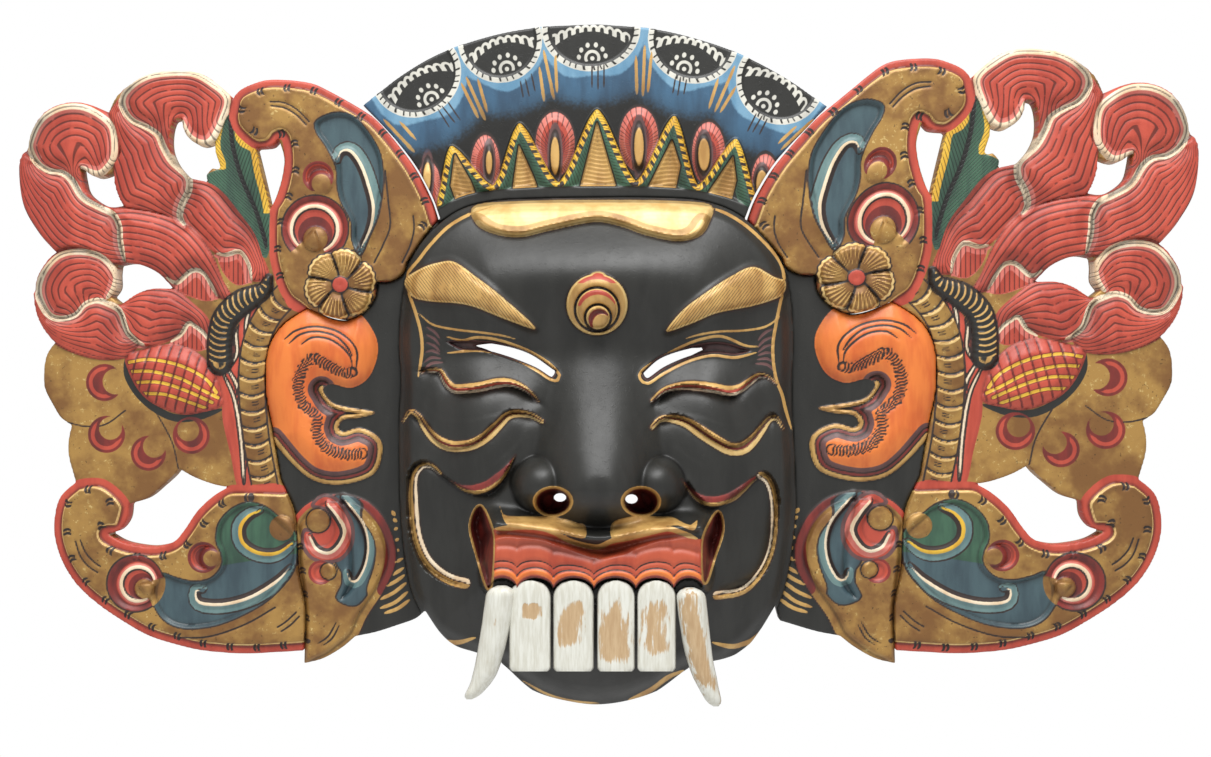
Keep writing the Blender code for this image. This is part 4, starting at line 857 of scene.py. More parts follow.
# Crown relief
DIADEM = ((438, 201), (450, 142), (494, 190), (519, 118), (559, 188), (597, 103), (636, 187), (675, 110),
          (697, 190), (737, 134), (757, 203))
LOTUS_ARCHES = ((428, 159), (485, 133), (555, 110), (639, 105), (709, 120), (766, 152))
DIADEM_FIELD_Y = 216
DIADEM_BAND = ((441, 214), (470, 200), (520, 194), (598, 192), (676, 194), (725, 203), (752, 216))

# Ears, left one
EAR = ((306, 307), (280, 325), (266, 350), (264, 390), (271, 425), (272, 440), (295, 467), (315, 481),
       (342, 484), (372, 474), (381, 452), (377, 437), (359, 428), (342, 432), (337, 427), (342, 419),
       (359, 417), (373, 412), (345, 407), (330, 402), (321, 389), (330, 383), (350, 387), (367, 377),
       (376, 355), (374, 335), (359, 314), (346, 321), (327, 318))
EAR_BOWL = ((330, 383), (321, 389), (330, 402), (345, 408), (373, 413), (342, 419), (336, 427), (330, 410),
            (316, 402), (310, 388), (318, 376))
EAR_LOBE = ((305, 345), (285, 370), (286, 410), (310, 440), (345, 455))
INNER_LEAF = ((290, 524), (298, 511), (309, 502), (326, 495), (348, 495), (367, 502), (382, 517), (391, 535),
              (395, 552), (393, 570), (383, 591), (376, 602), (365, 619), (356, 638), (341, 652), (322, 664),
              (298, 668), (298, 611), (292, 565), (292, 543))
INNER_LEAF_INLAY = ((338, 498), (352, 506), (364, 524), (370, 548), (364, 574), (350, 596), (338, 600),
                    (346, 576), (346, 548), (338, 520))
INNER_RINGS = ((317, 530, 22), (321, 573, 12))


# Guides of the petals' combed ribs: the lines run between the first guide and the second
PETAL_1_OUTER = ((22, 150), (17, 175), (23, 203), (38, 231), (55, 251), (80, 262), (124, 268))
PETAL_2_OUTER = ((108, 113), (106, 150), (111, 180), (121, 205), (150, 214), (180, 228))
PETAL_3_OUTER = ((34, 289), (36, 312), (53, 337), (90, 354), (124, 359), (140, 352))
RIBBON_1_TOP = ((113, 207), (134, 206), (163, 212), (184, 222), (199, 236), (212, 255), (230, 296))
RIBBON_1_FOOT = ((124, 264), (145, 268), (159, 276), (172, 289), (200, 302))
RIBBON_2_TOP = ((188, 176), (207, 179), (222, 189), (239, 210), (254, 231), (262, 254), (268, 276))
RIBBON_2_FOOT = ((180, 216), (184, 225), (199, 240), (216, 256), (226, 258), (239, 255), (248, 266))
RIBBON_3_TOP = ((107, 300), (119, 302), (134, 290), (151, 285), (172, 286), (191, 300), (208, 318),
                (212, 345))
RIBBON_3_FOOT = ((119, 310), (124, 323), (128, 335), (143, 347), (163, 345), (180, 337))
# Flaps that hang under the ends of the ribbons
FLAPS = (
    ((170, 287), (177, 284), (191, 272), (202, 275), (215, 296), (205, 300), (190, 296)),
    ((217, 257), (227, 256), (239, 253), (247, 266), (250, 280), (236, 284), (224, 274)),
    ((170, 343), (180, 336), (188, 325), (196, 328), (208, 344), (200, 350), (186, 348)),
)
# Crescents of the clouds and leaves: outer circle, inner circle
CRESCENTS = (
    ((103, 382, 17), (114, 381, 14.5)),
    ((105, 434, 17), (109, 428, 13)),
    ((147, 453, 16), (153, 446, 13)),
    ((190, 435, 17), (187, 430, 12.5)),
    ((203, 557, 14), (211, 558, 9.5)),
    ((318, 176, 14), (321, 183, 11)),
)
# The two great crescents: outer circle, cream hook, ground of the ball, ball, and where the hook opens
GREAT_CRESCENTS = (
    ((315, 228, 33), (314, 228.5, 25.5), (314.5, 233, 17), (315, 238, 12.5), 1.75),
    ((135, 583, 28), (137.5, 584, 19.5), (141, 587, 13.5), (143.5, 588.5, 10), 0.35),
)
STEM_LINES = (
    ((222, 372), (234, 400), (240, 440), (243, 484)),
    ((240, 300), (235, 330), (236, 352), (230, 366)),
    ((252, 292), (246, 318), (244, 336)),
    ((226, 366), (236, 384), (240, 402)),
)
POD_ROWS = (
    ((127, 362), (150, 359), (180, 365), (205, 378), (216, 392)),
    ((130, 371), (152, 371), (180, 378), (203, 390), (219, 398)),
    ((134, 382), (160, 382), (188, 391), (212, 402)),
    ((143, 393), (165, 394), (190, 402), (206, 408)),
)
FLOWER_TURN = math.radians(-95)
POD_RIM = ((124, 358), (126, 374), (136, 392), (152, 407), (172, 417), (193, 417), (221, 409))
CARVED_LINES = (
    ((270, 101), (284, 102), (297, 109), (309, 121)),
    ((271, 105), (284, 107), (296, 114), (306, 124)),
    ((385, 170), (388, 200), (390, 225), (383, 244), (374, 262)),
    ((413, 215), (414, 228), (410, 245), (402, 262)),
    ((75, 541), (80, 556), (88, 566), (97, 572)),
    ((80, 540), (85, 552), (94, 562), (100, 566)),
    ((177, 638), (210, 636), (245, 624), (275, 607)),
    ((277, 627), (285, 622), (296, 612)),
    ((281, 631), (290, 625), (299, 616)),
)
UPPER_TICK_LINE = ((287, 131), (270, 134), (253, 130), (243, 119), (242, 106), (252, 94), (272, 88),
                   (300, 87),
                   (322, 93), (350, 108), (377, 127), (397, 149), (416, 180), (428, 214), (420, 228))
INNER_TICK_LINE = ((293, 136), (296, 160), (292, 185), (284, 208), (279, 232), (277, 256), (280, 280))
LOWER_TICK_LINE = ((66, 510), (69, 498), (80, 490), (95, 490), (107, 497), (110, 512), (101, 524),
                   (103, 533),
                   (107, 548), (128, 556), (160, 556), (182, 548), (200, 527), (222, 503), (250, 497))
FOOT_TICK_LINE = ((66, 525), (70, 555), (84, 580), (108, 603), (140, 622), (170, 634), (205, 644),
                  (250, 648),
                  (290, 645))
UPPER_GLEAM = ((337, 160), (340, 151), (350, 150), (361, 165), (369, 188), (373, 208), (370, 228),
               (360, 249))


@dataclass(frozen=True)
class Comb:
    """Ribs of one red part: its two guides and how many lines lie between them."""

    first: Points
    second: Points
    count: float


@dataclass(frozen=True)
class RedPart:
    """One red part of the wing, with its level and its ribs."""

    outline: Points
    level: float
    comb: Comb
    dips: tuple[Points, ...]


@dataclass(frozen=True)
class Curl:
    """The curled end of a petal: its outline, level, the hook its ribs turn round, and its rim."""

    outline: Points
    level: float
    hook: tuple[float, float]
    rim: Points
    count: float
    dips: tuple[Points, ...]


RED_PARTS = {
    "ribbon_2": RedPart(RIBBON_2, -1.0, Comb(RIBBON_2_TOP, RIBBON_2_FOOT, 8),
                        (PETAL_2_BODY[8:13], GREEN_LEAF[7:10])),
    "body_2": RedPart(PETAL_2_BODY, -0.2, Comb(PETAL_2_OUTER, SPIRAL_2[10:20], 9), (SPIRAL_2[18:],)),
    "ribbon_1": RedPart(RIBBON_1, -0.3, Comb(RIBBON_1_TOP, RIBBON_1_FOOT, 9), (FOLD_NOTCHES[0],)),
    "body_1": RedPart(PETAL_1_BODY, -0.2, Comb(PETAL_1_OUTER, SPIRAL_1[12:21], 10), (SPIRAL_1[19:],)),
    "ribbon_3": RedPart(RIBBON_3, -0.6, Comb(RIBBON_3_TOP, RIBBON_3_FOOT, 9), (FOLD_NOTCHES[2],)),
    "body_3": RedPart(PETAL_3_BODY, -0.4, Comb(PETAL_3_OUTER, SPIRAL_3[9:20], 8), (SPIRAL_3[17:],)),
}
CURLS = {
    "curl_1": Curl(PETAL_1_CURL, -1.2, (80, 170), SPIRAL_1[3:16], 9, (SPIRAL_1[10:17],)),
    "curl_2": Curl(PETAL_2_CURL, -1.2, (178, 122), SPIRAL_2[4:15], 9, (SPIRAL_2[10:17],)),
    "curl_3": Curl(PETAL_3_CURL, -1.4, (96, 300), SPIRAL_3[2:13], 9, (SPIRAL_3[8:14],)),
}


def arched(off: Array) -> Array:
    """The height over its rim of a flat-based ball, where off is 0 in its middle and 1 at its rim."""
    return np.sqrt(np.clip(1 - off**2, 0, 1))


@dataclass
class Carving:
    """A carved and painted part: its sheet, its paint and its height over the wall."""

    sheet: Sheet = field(init=False)
    canvas: Canvas = field(init=False)
    height: Array = field(init=False)

    def prime(self, low: Iterable[float], high: Iterable[float], ground: Pigment, level: float) -> None:
        """Lays the sheet with its ground colour at one level.

        Args:
            low: the sheet's least x and y.
            high: its greatest x and y.
            ground: the first coat.
            level: the height of the uncarved board.
        """
        self.sheet = Sheet(low, high, self.pitch)
        self.canvas = Canvas(self.sheet, ground)
        self.height = np.full(self.sheet.x.shape, level)

    def lay(self, pigment: Pigment, depth: Array, shade: Array | float = 0.0,
            rib: Array | None = None) -> None:
        """Lays a stroke or field, as the canvas does."""
        self.canvas.lay(pigment, depth, shade, rib)

    def draw(self, pigment: Pigment, depth: Array) -> None:
        """Draws a thin stroke, as the canvas does."""
        self.canvas.draw(pigment, depth)

    def stroke(self, pigment: Pigment, line: Points, half: float, tail: float = 8.0,
               within: Array | float = FAR) -> None:
        """Draws a thin stroke that ends inside a field."""
        self.draw(pigment, np.minimum(self.sheet.stroke(line, half, tail), within))

    def raise_part(self, depth: Array, level: Array | float, soft: float = 2.0) -> None:
        """Puts a part at its own level over what is there."""
        over = smooth((depth + soft) / (2 * soft))
        self.height = self.height * (1 - over) + level * over


@dataclass
class Wing(Carving):
    """The carved and painted wing, drawn once as the left one."""

    pitch: float = 1.42
    board: float = WING_BOARD
    step: float = STEP
    horn_radius: float = HORN_RADIUS
    flower_radius: float = FLOWER_RADIUS
    chain_half: float = CHAIN_HALF_WIDTH
    loops: list[Array] = field(init=False)

    def __post_init__(self) -> None:
        """Lays the sheet and its gold ground."""
        seam = offset(chain(SEAM), -0.5 * SEAM_GAP / UNIT)
        edge = np.vstack([chain(WING_TOP)[:-1], seam, chain(WING_FOOT)[1:-1]])
        self.loops = [edge, *(chain(hole)[:-1] for hole in WING_HOLES)]
        self.prime(edge.min(0), edge.max(0), Pigment.GOLD, self.board - 2.4 * self.step)

    def groove(self, line: Points, half: float = 1.6, deep: float = 0.0010) -> None:
        """Cuts a fine line into the wood and lets dark paint lie in it."""
        seen = self.sheet.along(line, 12)
        self.height -= deep * bell(seen.far / half)
        self.draw(Pigment.INK, 0.55 - seen.far)

    def clouds(self) -> None:
        """The gold clouds behind the pod."""
        for edge in CLOUD_EDGES:
            far = self.sheet.along(edge).far
            self.height -= 0.5 * self.step * bell(far / 4)
            self.draw(Pigment.INK, 0.5 - far)

    def great_crescent(self, outer: Points, ring: Points, inner: Points, ball: Points,
                       opening: float) -> None:
        """A great red crescent round a gold ball, a cream hook in it.

        Args:
            outer: centre and radius of its outline.
            ring: the same of the hook's outer edge.
            inner: the same of the dark ground round the ball.
            ball: the same of the ball.
            opening: the direction in which the hook is open, radians clockwise from the right.
        """
        sheet = self.sheet
        rims = [sheet.disc(*circle) for circle in (outer, ring, inner, ball)]
        turn = np.arctan2(sheet.y - ring[1], sheet.x - ring[0]) - opening
        turn = np.abs((turn + math.pi) % math.tau - math.pi)
        far = np.hypot(sheet.x - ring[0], sheet.y - ring[1])
        taper = np.sqrt(np.clip((turn - 0.45) / 1.1, 0, 1))
        self.lay(Pigment.INK, rims[0] + 1.0)
        self.lay(Pigment.DEEP, rims[0], 0.25 * smooth((rims[0] - 3) / 5))
        self.lay(Pigment.RED, 6.5 * taper - np.abs(rims[1] - 3.5), 0.0)
        self.lay(Pigment.PINK, 2.2 * taper - np.abs(rims[1] - 1.2))
        self.lay(Pigment.RED, rims[1] - 4.0, 0.15)
        self.lay(Pigment.INK, 0.9 * taper - np.abs(rims[1] - 4.6))
        self.lay(Pigment.DEEP, rims[2], 0.35)
        self.lay(Pigment.CREAM, 1.7 * taper - np.abs(rims[1] - 2.6))
        self.lay(Pigment.GOLD, np.minimum(np.minimum((0.62 - turn) * far, far - 6), rims[0] + 1.5))
        self.lay(Pigment.GOLD, rims[3])
        closed = smooth((turn - 0.3) / 0.4)
        self.height -= 0.9 * self.step * smooth(rims[0] / 6) * closed
        self.height += 0.5 * self.step * bell((rims[1] - 2.6) / 3) * closed
        self.height += 1.3 * self.step * arched(np.hypot(sheet.x - ball[0], sheet.y - ball[1]) / ball[2])

    def crescents(self) -> None:
        """Red crescents cut beside gold balls, small ones and the two great ones."""
        for (x, y, radius), (ball_x, ball_y, ball) in CRESCENTS:
            outer, inner = self.sheet.disc(x, y, radius), self.sheet.disc(ball_x, ball_y, ball)
            depth = np.minimum(outer, -inner)
            self.lay(Pigment.DEEP, depth + 1.2, 0.25)
            self.lay(Pigment.RED, np.minimum(depth - 0.9, 3.4 - outer + 2), 0.1)
            self.height -= 0.9 * self.step * smooth(depth / 4)
            off = np.hypot(self.sheet.x - ball_x, self.sheet.y - ball_y) / ball
            self.height += 0.8 * self.step * arched(off)
        for crescent in GREAT_CRESCENTS:
            self.great_crescent(*crescent)

    def green_leaf(self) -> None:
        """The green leaf behind the second petal, its edges yellow."""
        depth = self.sheet.shape(GREEN_LEAF)
        self.raise_part(depth, self.board - 2.2 * self.step + self.step * smooth(depth / 16))
        vein = self.sheet.along(GREEN_VEIN)
        self.height -= 0.8 * self.step * bell(vein.far / 4) * (depth > -3)
        veins = (self.sheet.y + 1.6 * vein.far) / 5.2
        self.lay(Pigment.GREEN, depth, 0.55 * bell(vein.far / 7) + 0.1, veins)
        edge = np.minimum(depth, 5.4 - depth)
        outer = np.minimum(edge, 0.5 * (vein.far - 4))
        self.lay(Pigment.YELLOW, np.minimum(outer, 168 - self.sheet.y), 0.0, veins)
        right = np.minimum(np.minimum(depth, 5.5 - depth), 0.5 * (self.sheet.x - 250))
        self.lay(Pigment.YELLOW, np.minimum(right, 212 - self.sheet.y), 0.05, veins)
        self.draw(Pigment.BLACK, np.minimum(2.6 - vein.far, depth - 2))

    def stem(self) -> None:
        """The red stem between the pod and the scales."""
        depth = self.sheet.shape(STEM)
        self.raise_part(depth, self.board - 1.2 * self.step + self.step * smooth(depth / 16))
        self.lay(Pigment.RED, depth, 0.35 * bell(depth / 2.5))
        for line in STEM_LINES:
            drawn = self.sheet.stroke(line, 1.3, 14)
            self.draw(Pigment.INK, np.minimum(drawn + 1.2, depth))
            self.draw(Pigment.CREAM, np.minimum(drawn, depth - 1))
            self.height -= 0.0006 * smooth((drawn + 2.5) / 2.5)

    def ribs(self, comb: Comb) -> Array:
        """Counts the ribs across a part from its first guide."""
        return comb.count * self.sheet.between(comb.first, comb.second) + 0.5

    def red_part(self, part: RedPart) -> None:
        """A combed red part with dark shade in its dips."""
        depth = self.sheet.shape(part.outline)
        level = self.board + part.level * self.step + self.step * smooth(depth / 16)
        shade = 0.22 * bell(depth / 2.2)
        for dip in part.dips:
            near = self.sheet.along(dip)
            level -= 1.1 * self.step * np.exp(-near.far / 8)
            shade = shade + 0.85 * np.exp(-np.maximum(near.far - 3, 0) / 6)
        self.raise_part(depth, level)
        self.lay(Pigment.RED, depth, np.clip(shade, 0, 1), self.ribs(part.comb))

    def curl(self, curl: Curl) -> None:
        """The curled end of a petal, its ribs turning round its hook."""
        depth = self.sheet.shape(curl.outline)
        level = self.board + curl.level * self.step + self.step * smooth(depth / 16)
        shade = np.zeros(depth.shape)
        for dip in curl.dips:
            near = self.sheet.along(dip)
            level -= 1.1 * self.step * np.exp(-near.far / 8)
            shade = 0.9 * np.exp(-np.maximum(near.far - 2.5, 0) / 7)
        self.raise_part(depth, level)
        around = np.hypot(self.sheet.x - curl.hook[0], self.sheet.y - curl.hook[1])
        rim = self.sheet.along(curl.rim, 120).far
        self.lay(Pigment.RED, depth, np.clip(shade, 0, 1), curl.count * around / (around + rim) + 0.5)

    def cream_edge(self, line: Points, curled: int = 0, wide: float = 2.4) -> None:
        """The pale raised edge of a petal, pink on its inner side.

        Args:
            line: the edge, its curled stretch first.
            curled: how many of its points the curled stretch has.
            wide: half the width of the pale line.
        """
        seen = self.sheet.along(line)
        from_end = np.minimum(seen.along, seen.length - seen.along)
        taper = np.sqrt(np.clip((from_end + 2) / 16, 0, 1))
        first = np.asarray(line[:curled + 1], float)
        change = np.linalg.norm(np.diff(first, axis=0), axis=1).sum()
        side = np.where(seen.along < change, -1.0, 1.0)
        self.draw(Pigment.PINK, (wide + 2.2) * taper - np.abs(seen.signed * side - 2.0))
        self.draw(Pigment.CREAM, wide * taper - seen.far)
        self.height += 0.8 * self.step * bell(seen.far / 5)

    def flap(self, outline: Points, notch: Points) -> None:
        """The turned-under end of a ribbon below its cream notch."""
        depth = self.sheet.shape(outline)
        near = self.sheet.along(notch)
        self.lay(Pigment.PINK, depth, 0.0, self.sheet.x / 4.6)
        self.lay(Pigment.RED, np.minimum(depth, near.far - 7), 0.15, self.sheet.x / 4.6)
        self.height -= 0.5 * self.step * smooth(depth / 4)

    def petals(self) -> None:
        """All red parts, the rear ones first."""
        self.red_part(RED_PARTS["ribbon_2"])
        self.flap(FLAPS[1], FOLD_NOTCHES[1])
        self.red_part(RED_PARTS["body_2"])
        self.curl(CURLS["curl_2"])
        self.red_part(RED_PARTS["ribbon_1"])
        self.flap(FLAPS[0], FOLD_NOTCHES[0])
        self.red_part(RED_PARTS["body_1"])
        self.curl(CURLS["curl_1"])
        self.red_part(RED_PARTS["ribbon_3"])
        self.flap(FLAPS[2], FOLD_NOTCHES[2])
        self.red_part(RED_PARTS["body_3"])
        self.curl(CURLS["curl_3"])
        for line, curled in ((SPIRAL_1, 13), (SPIRAL_2, 12), (SPIRAL_3, 11)):
            self.cream_edge(line, curled, 2.7)
        for line in FOLD_NOTCHES:
            self.cream_edge(line, wide=1.8)

    def pod(self) -> None:
        """The netted red pod in its black cup."""
        depth = self.sheet.shape(POD)
        level = self.board - 0.5 * self.step + 1.6 * self.step * smooth(depth / 16)
        cup = self.sheet.stroke(POD_RIM, 3.4, 20)
        self.lay(Pigment.BLACK, cup)
        self.raise_part(depth, level)
        self.lay(Pigment.RED, depth, 0.3 * bell(depth / 3))
        rows = [self.sheet.along(row, 9) for row in POD_ROWS]
        tilt = self.sheet.x + 0.28 * self.sheet.y
        across = np.abs((tilt / 10.5) % 1 - 0.5) * 10.5
        self.draw(Pigment.DEEP, np.minimum(0.8 - across, depth - 2))
        self.height -= 0.0009 * smooth(1.6 - across) * (depth > 0)
        for row in rows:
            blocks = np.minimum(1.15 - row.far, depth - 3)
            self.draw(Pigment.DEEP, np.minimum(blocks + 0.9, depth - 2))
            self.draw(Pigment.YELLOW, np.minimum(blocks, across - 1.0))
            self.height -= 0.0008 * bell(row.far / 1.8) * (depth > 0)

    def scales(self) -> None:
        """The row of gold scales beside the ear."""
        seen = self.sheet.along(CHAIN)
        links = smooth((self.chain_half - seen.far) / 5)
        self.height = np.maximum(self.height, (self.board - self.step) * links)
        depth = self.chain_half - seen.far
        bow = seen.along + 4.5 * (seen.far / self.chain_half) ** 2
        place = (bow / 16.5) % 1
        # Painted shade darkens each scale towards its back, under the next one, and the pale line on its
        # raised front edge is a painted highlight.
        self.lay(Pigment.GOLD, depth, 0.75 * smooth((place - 0.62) / 0.38))
        self.draw(Pigment.INK, np.minimum(0.9 - np.abs(place * 16.5 - 15.4), depth - 0.5))
        self.draw(Pigment.GILT, np.minimum(0.8 - np.abs(place * 16.5 - 1.6), depth - 1.5))
        self.draw(Pigment.INK, np.minimum(0.6 - np.abs(depth), depth + 1))
        self.height += 0.0024 * (1 - place) * smooth(depth / 4) - 0.0010 * smooth(depth / 4)
        for start in (5.5, 8.5):
            tick = np.minimum(0.35 - np.abs(place * 16.5 - start), 3.5 - np.abs(seen.signed + 3))
            self.draw(Pigment.INK, np.minimum(tick, depth))

    def inlay(self, outline: Points, pigment: Pigment) -> Array:
        """A sunk field of colour in a gold leaf."""
        depth = self.sheet.shape(outline)
        self.height -= 1.5 * self.step * smooth(depth / 6)
        self.lay(Pigment.INK, depth + 0.8)
        self.lay(pigment, depth, 0.55 * bell(depth / 4))
        return depth

    def gleam(self, line: Points, pale: Pigment, within: Array, side: float, half: float = 1.9) -> None:
        """A bright curl on an inlay, a paler band on one side of it and a dark one on the other."""
        seen = self.sheet.along(line)
        signed = seen.signed * side
        from_end = np.minimum(seen.along, seen.length - seen.along)
        taper = np.sqrt(np.clip((from_end + 1) / 26, 0, 1))
        self.draw(Pigment.INK, np.minimum(6.6 * taper - np.abs(signed + 3.4), within))
        self.draw(Pigment.PALE, np.minimum(5.6 * taper - np.abs(signed + 3.4), within))
        self.draw(Pigment.INK, np.minimum(2.4 * taper - np.abs(signed - 3.0), within))
        self.draw(pale, np.minimum(half * taper - seen.far, within))
        self.height += 0.9 * self.step * bell(seen.far / 6)

    def leaf(self, outline: Points, edges: tuple[Points, ...]) -> None:
        """A gold leaf at its own level, with a red border along the given edges."""
        depth = self.sheet.shape(outline)
        border = np.minimum.reduce([self.sheet.along(edge, 16).far for edge in edges])
        floor = self.board - 1.3 * self.step
        self.raise_part(depth, floor + 1.3 * self.step * smooth((border - 6.5) / 4), 1.5)
        # Painted shade at the foot of the step from the red border up to the gold.
        self.lay(Pigment.RED, depth, 0.5 * bell((border - 7.2) / 1.6))
        gold = np.minimum(depth - 0.5, border - 7.6)
        self.lay(Pigment.GOLD, gold, 0.2 * bell((gold - 4) / 3))
        # A pale line on top of that step: painted highlight, and worn gold.
        self.draw(Pigment.GILT, np.minimum(0.4 - np.abs(border - 9.2), depth - 1))

    def ticks(self, line: Points, pitch: float = 27.0) -> None:
        """Pairs of short cuts along the inside of a leaf's border."""
        seen = self.sheet.along(line, 10)
        place = seen.along % pitch
        for start in (4.0, 8.0):
            bow = place - start - 0.10 * seen.signed**2
            tick = np.minimum(0.9 - np.abs(bow), 3.8 - seen.far)
            self.draw(Pigment.INK, tick)
            self.height -= 0.0010 * smooth(tick + 1.2)

    def upper_leaf(self) -> None:
        """The great upper leaf with its blue inlay."""
        self.leaf(UPPER_LEAF, (WING_TOP[3], (*UPPER_LEAF[13:], *WING_TOP[3][:2])))
        depth = self.inlay(UPPER_INLAY, Pigment.BLUE)
        self.gleam(UPPER_GLEAM, Pigment.CREAM, depth - 1, 1.0)
        for line in (UPPER_TICK_LINE, INNER_TICK_LINE):
            self.ticks(line)

    def lower_leaf(self) -> None:
        """The lower leaf with its green and blue inlay."""
        self.leaf(LOWER_LEAF, (WING_FOOT[0], (WING_FOOT[0][-1], *LOWER_LEAF[10:27])))
        depth = self.inlay(LOWER_INLAY, Pigment.BLUE)
        border = self.sheet.y - 566 + 0.16 * (self.sheet.x - 220)
        self.lay(Pigment.GREEN, np.minimum(depth, -border), 0.25 * bell(border / 7))
        self.gleam(LOWER_SCROLLS[1], Pigment.YELLOW, depth - 1, -1.0)
        self.gleam(LOWER_SCROLLS[0], Pigment.CREAM, depth - 1, -1.0)
        ball = self.sheet.disc(281, 528, 13)
        self.lay(Pigment.GOLD, ball)
        self.height += 1.3 * self.step * arched(np.hypot(self.sheet.x - 281, self.sheet.y - 528) / 13)
        for line in (LOWER_TICK_LINE, FOOT_TICK_LINE):
            self.ticks(line)

    def horn(self) -> None:
        """The black horn with pale strokes across it."""
        seen = self.sheet.along(HORN)
        radius = self.horn_radius * np.sqrt(np.clip((seen.along + 3) / 40, 0.05, 1))
        depth = radius - seen.far
        self.height = np.maximum(self.height, self.board + self.step * (1.6 * arched(seen.far / radius) - 1))
        self.lay(Pigment.INK, depth + 1)
        self.lay(Pigment.BLACK, depth)
        place = (seen.along + 0.035 * (seen.signed + 2) ** 2) % 6.2
        stroke = np.minimum(0.55 - np.abs(place - 3.1), radius - 3.8 - np.abs(seen.signed - 1.6))
        self.draw(Pigment.TAN, stroke)
        self.height -= 0.0007 * bell((place - 0.6) / 1.2) * (depth > 0)

    def flower(self) -> None:
        """The gold rosette with its red eye."""
        dx, dy = self.sheet.x - FLOWER[0], self.sheet.y - FLOWER[1]
        off = np.hypot(dx, dy)
        turn = np.arctan2(dy, dx) - FLOWER_TURN + 0.006 * off
        place = (FLOWER_PETALS * turn / math.tau) % 1
        bulge = np.sqrt(np.sin(math.pi * place))
        lobes = self.flower_radius * (0.84 + 0.14 * bulge)
        frills = lobes * (1 + 0.035 * np.abs(np.sin(5 * math.pi * place)))
        between = np.abs((place + 0.5) % 1 - 0.5) * off * math.tau / FLOWER_PETALS
        petals = self.board + 1.0 * self.step * smooth((lobes - off) / 6) - self.step * np.exp(-off / 14)
        petals += self.step * (0.75 * bulge - 0.6 * place) * smooth((off - 8) / 10)
        rays = np.cos(7 * math.tau * place) * smooth((off - 12) / 5) * smooth((34 - off) / 4)
        petals += 0.0005 * rays
        over = smooth((frills - off + 1) / 3)
        self.height = self.height * (1 - over) + petals * over + 0.8 * self.step * arched(off / 9)
        depth = frills - off
        self.lay(Pigment.INK, depth + 0.9)
        # Painted shade between the petals and in the valleys between the veins; the pale streaks on the vein
        # ridges and the pale line inside each frilled edge are painted highlights.
        self.lay(Pigment.GOLD, depth, 0.45 * bell(between / 2.2) + 0.35 * smooth(-rays))
        self.draw(Pigment.TAN, np.minimum(1.6 * rays - 0.9, np.minimum(depth - 1.5, off - 13)))
        self.draw(Pigment.INK, np.minimum(0.75 - between, np.minimum(off - 8, depth)))
        self.draw(Pigment.GILT, np.minimum(0.7 - np.abs(depth - 1.6), between - 1.5))
        self.lay(Pigment.INK, 8.6 - off)
        self.lay(Pigment.RED, 7.8 - off)

    def carve(self) -> None:
        """Carves and paints everything, the rearmost first."""
        self.clouds()
        self.green_leaf()
        self.stem()
        self.petals()
        self.pod()
        self.scales()
        self.upper_leaf()
        self.lower_leaf()
        self.crescents()
        for line in CARVED_LINES:
            self.groove(line)
        self.horn()
        self.flower()
        wave = np.cos(math.tau * self.canvas.rib) * self.canvas.ribbed
        self.height += 0.00022 * wave

    def build(self) -> list[bpy.types.Object]:
        """Makes the left wing and, from the same sheet, the wider right one."""
        self.carve()
        made = []
        rim = self.sheet.board(self.loops)
        for name, place, mirrored in (("wing_left", np.asarray, False), ("wing_right", to_right, True)):
            board = Board(name, self.sheet, rim, node=name, slot="wing_paint")
            made.append(board.build(self.height, self.canvas.marks(), place, mirrored))
            LOG.info("%s: %d faces", name, len(made[-1].data.polygons))
        return made


